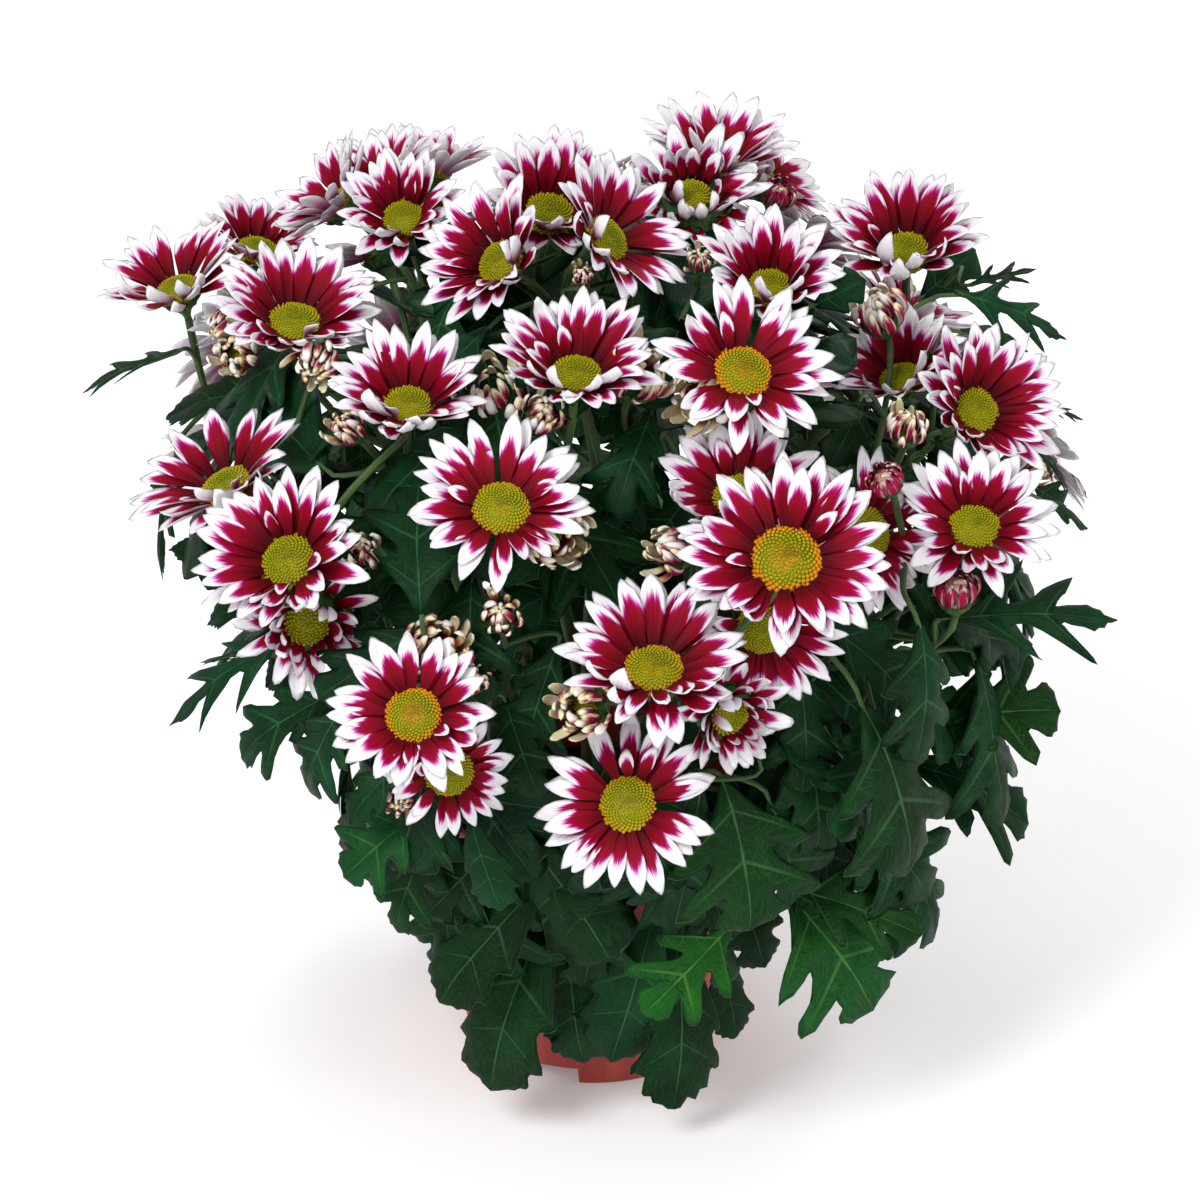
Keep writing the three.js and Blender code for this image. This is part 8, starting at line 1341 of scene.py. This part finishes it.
# ---- pot and soil --------------------------------------------------------------------------------
def pot():
    base_r, rim_r, high, wall, band_h, band_t = 49.0, 65.0, 106.0, 1.4, 13.0, 2.2
    top = high - band_h
    at = lambda z: base_r + (rim_r - band_t - base_r) * z / top
    # (radius, height, foot): points with foot = 1 are lifted to the drainage channel inside a notch
    prof = [
        (0, 0, 0), (15, 0, 0), (28.2, 0, 0), (29.0, 0.5, 0), (31.2, 6.4, 0), (31.9, 7.0, 0), (39.6, 7.0, 0), (40.4, 6.6, 1), (41.6, 0.7, 1), (42.2, 0.0, 1), (47.9, 0.0, 1),
        (48.6, 0.2, 1), (49.0, 0.9, 1), (49.3, 2.4, 1), (at(7.0), 7.0, 1), (at(7.6), 7.6, 0), (at(20), 20, 0), (at(36), 36, 0), (at(37), 37, 0), (at(60), 60, 0), (at(80), 80, 0), (at(top - 3.4), top - 3.4, 0),
        (at(top - 3) + 0.1, top - 3.0, 0), (rim_r - 1.2, top - 0.6, 0), (rim_r - 0.5, top, 0), (rim_r - 0.25, top + 0.8, 0), (rim_r, high - 2.2, 0), (rim_r + 0.0, high - 0.9, 0), (rim_r - 0.35, high - 0.25, 0),
        (rim_r - 0.9, high, 0), (rim_r - band_t - wall + 1.6, high, 0), (rim_r - band_t - wall + 1.0, high - 0.3, 0), (rim_r - band_t - wall + 0.5, high - 1.1, 0), (at(top - 3) - wall + 0.1, top - 2.8, 0), (at(top - 3) - wall, top - 3.6, 0),
        (at(60) - wall, 60, 0), (at(12) - wall, 12, 0), (at(9.6) - wall - 0.8, 9.2, 0), (31.2, 9.2, 0), (30.0, 8.6, 0), (27.6, 2.6, 0), (26.8, 2.2, 0), (0, 2.2, 0)]
    marks = []
    for i in range(6):
        mid = math.radians(-20.5 + 60 * i)
        half = math.radians(14.5)
        marks += [(mid - half, mid + half)]
    e = math.radians(0.5)
    angles = sorted(set([round(2 * math.pi * i / 120, 6) for i in range(120)] + [round((x + d) % (2 * math.pi), 6) for lo, hi in marks for x, d in ((lo, -e), (lo, e), (hi, -e), (hi, e))]))
    angles = np.array(angles)
    # drop even samples that crowd a notch's edge
    keep = []
    for a in angles:
        edge = min(abs(((a - x + math.pi) % (2 * math.pi)) - math.pi) for lo, hi in marks for x in (lo, hi))
        keep.append(edge > math.radians(1.2) or edge < math.radians(0.55))
    angles = angles[np.array(keep)]
    lift = np.array([1.0 if any(((a - lo) % (2 * math.pi)) < (hi - lo) for lo, hi in marks) else 0.0 for a in angles])
    p = np.array(prof)
    mid = p[1:-1]
    n = len(angles)
    rr = np.repeat(mid[:, :1], n, 1)
    zz = np.repeat(mid[:, 1:2], n, 1)
    foot = mid[:, 2:3] * lift[None]
    zz = np.where(foot > 0, np.maximum(zz, 7.0 + 0.02 * (mid[:, 0:1] - 40)), zz)
    # angle from the front (-Y) towards +X
    ring = np.stack([rr * np.sin(angles), -rr * np.cos(angles), zz], -1)
    # a thin thermoformed pot is never quite round
    wob = 1 + 0.0022 * np.sin(3 * angles + 0.4)[None] * (mid[:, 1:2] / 106)
    ring[..., :2] *= wob[..., None]
    b = Build("nursery_pot", [M_POT])
    v = np.concatenate([[[0, 0, p[0, 1]]], ring.reshape(-1, 3), [[0, 0, p[-1, 1]]]])
    k = len(mid)
    g = 1 + np.arange(k * n).reshape(k, n)
    nx = np.roll(g, -1, 1)
    quads = [np.stack([g[:-1], nx[:-1], nx[1:], g[1:]], -1).reshape(-1, 4)]
    quads.append(np.stack([np.zeros(n, int), nx[0], g[0], -np.ones(n, int)], -1))
    quads.append(np.stack([np.full(n, len(v) - 1), g[-1], nx[-1], -np.ones(n, int)], -1))
    b.add(v, np.concatenate(quads), 0)
    ob = b.make()
    # drainage holes through the channel's roof
    cut = Build("holes", [M_POT])
    for i in range(6):
        a = math.radians(-20.5 + 60 * i)
        c = np.array([35.8 * math.sin(a), -35.8 * math.cos(a), 0.0])
        lathe(cut, np.eye(3), c, [(0, 5.0), (3.4, 5.0), (3.4, 11.5), (0, 11.5)], 20, 0)
    co = cut.make()
    mod = ob.modifiers.new("holes", "BOOLEAN")
    mod.operation, mod.solver, mod.object = "DIFFERENCE", "EXACT", co
    dg = bpy.context.evaluated_depsgraph_get()
    me = bpy.data.meshes.new_from_object(ob.evaluated_get(dg))
    ob.modifiers.clear()
    ob.data = me
    bpy.data.objects.remove(co)
    me.shade_smooth()
    at_ = me.attributes.new("sharp_edge", "BOOLEAN", "EDGE") if "sharp_edge" not in me.attributes else me.attributes["sharp_edge"]
    me.set_sharp_from_angle(angle=math.radians(38))
    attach(ob, "root")
    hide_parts("pot")


def soil():
    rng = np.random.default_rng(5)
    b = Build("potting_mix", [M_SOIL])
    top = 93.0
    rows = [(0, 9.8), (44.0, 9.8), (47.8, 12.0), (57.6, 86.0), (58.9, 90.2)]
    rad = np.linspace(58.0, 2.5, 22)
    ph = rng.uniform(0, 6.28, 8)
    sides = 84
    a = np.arange(sides) * 2 * math.pi / sides

    def ground(x, y):
        r = np.hypot(x, y)
        z = top - 1.6 + 1.4 * np.cos(r / 58 * 1.5)
        z = z + 0.7 * np.sin(x / 5.1 + ph[0]) * np.cos(y / 4.3 + ph[1]) + 0.45 * np.sin(x / 2.3 + ph[2] + y / 3.1) + 0.3 * np.cos(y / 1.7 + ph[3] - x / 2.9)
        return z - 1.2 * smooth(52, 59, r)

    prof = rows + [(float(r), 0.0) for r in rad] + [(0, 0.0)]
    n_low = len(rows) - 1

    def wob(ring, ang):
        ring = ring.copy()
        j = n_low
        x, y = ring[j:, :, 0], ring[j:, :, 1]
        ring[j:, :, 0] = x + rng.normal(0, 0.35, x.shape)
        ring[j:, :, 1] = y + rng.normal(0, 0.35, x.shape)
        ring[j:, :, 2] = ground(ring[j:, :, 0], ring[j:, :, 1]) + rng.normal(0, 0.22, x.shape)
        return ring

    prof[-1] = (0, top - 0.3)
    lathe(b, np.eye(3), np.zeros(3), prof, sides, 0, wobble=wob)
    # crumbs of peat, bark and a few pale grains
    m = 620
    q = np.sqrt(rng.uniform(0, 1, m)) * 57.0
    w = rng.uniform(0, 6.283, m)
    C = np.stack([q * np.cos(w), q * np.sin(w), ground(q * np.cos(w), q * np.sin(w)) + 0.2], -1)
    size = rng.gamma(3.0, 0.42, m).clip(0.5, 3.4)
    oct_ = np.array([[1, 0, 0], [0, 1, 0], [-1, 0, 0], [0, -1, 0], [0, 0, 1], [0, 0, -1]], float)
    shape = unit(oct_ + rng.normal(0, 0.18, (m, 6, 3))) * rng.uniform(0.7, 1.25, (m, 6, 1)) * size[:, None, None] * np.array([1.0, 0.8, 0.55])
    rot = rng.uniform(0, 6.283, m)
    cr, sr = np.cos(rot)[:, None], np.sin(rot)[:, None]
    shape = np.stack([shape[..., 0] * cr - shape[..., 1] * sr, shape[..., 0] * sr + shape[..., 1] * cr, shape[..., 2]], -1)
    tri = np.array([[0, 1, 4], [1, 2, 4], [2, 3, 4], [3, 0, 4], [1, 0, 5], [2, 1, 5], [3, 2, 5], [0, 3, 5]])
    tri = np.concatenate([tri, -np.ones((8, 1), int)], 1)
    allq = np.where(tri[None] < 0, -1, tri[None] + (np.arange(m) * 6)[:, None, None]).reshape(-1, 4)
    pale = (rng.uniform(size=m) < 0.06).astype(float)
    b.add((C[:, None] + shape).reshape(-1, 3), allq, 0, tone=np.repeat(pale, 6))
    ob = b.make()
    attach(ob, "root")
    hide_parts("potting_soil")


pot()
soil()

# ---- floor, light and camera ---------------------------------------------------------------------
scene = bpy.context.scene
floor_mesh = bpy.data.meshes.new("floor")
e = 9.0
floor_mesh.from_pydata([(-e, -e, -0.0004), (e, -e, -0.0004), (e, e, -0.0004), (-e, e, -0.0004)], [], [(0, 1, 2, 3)])
floor = bpy.data.objects.new("floor", floor_mesh)
scene.collection.objects.link(floor)
fm = Mat("floor", Roughness=0.9, Specular_IOR_Level=0.1)
fm.bsdf.inputs["Base Color"].default_value = (0.92, 0.92, 0.92, 1)
fm.bsdf.inputs["Emission Color"].default_value = (1, 1, 1, 1)
fm.bsdf.inputs["Emission Strength"].default_value = 0.16
floor_mesh.materials.append(fm.m)

world = bpy.data.worlds.new("studio")
scene.world = world
world.use_nodes = True
bg = world.node_tree.nodes["Background"]
bg.inputs["Color"].default_value = (1.0, 1.0, 1.0, 1)
bg.inputs["Strength"].default_value = 0.66


def area(name, loc, target, size, power, colour=(1, 1, 1)):
    d = bpy.data.lights.new(name, "AREA")
    d.shape, d.size, d.energy, d.color = "DISK", size, power, colour
    o = bpy.data.objects.new(name, d)
    o.location = loc
    o.rotation_euler = (Vector(target) - Vector(loc)).to_track_quat("-Z", "Y").to_euler()
    scene.collection.objects.link(o)


area("key", (-0.75, -1.35, 1.55), (0, 0, 0.2), 0.75, 26.0)
area("fill", (1.35, -1.2, 0.9), (0, 0, 0.2), 1.0, 8.0)
area("back", (0.5, 1.6, 1.6), (0, 0, 0.2), 1.0, 12.0)

cam = bpy.data.cameras.new("camera")
cam.lens, cam.sensor_width, cam.sensor_fit = 121.83, 36.0, "HORIZONTAL"
cam.clip_start, cam.clip_end = 0.05, 50
camera = bpy.data.objects.new("camera", cam)
camera.location = (0.0029, -1.3805, 0.8254)
camera.rotation_euler = (math.radians(65), 0, 0)
scene.collection.objects.link(camera)
scene.camera = camera
scene.view_settings.view_transform = "Standard"
scene.view_settings.look = "None"
scene.view_settings.exposure = 0.0
scene.view_settings.gamma = 1.0

bpy.context.view_layer.update()
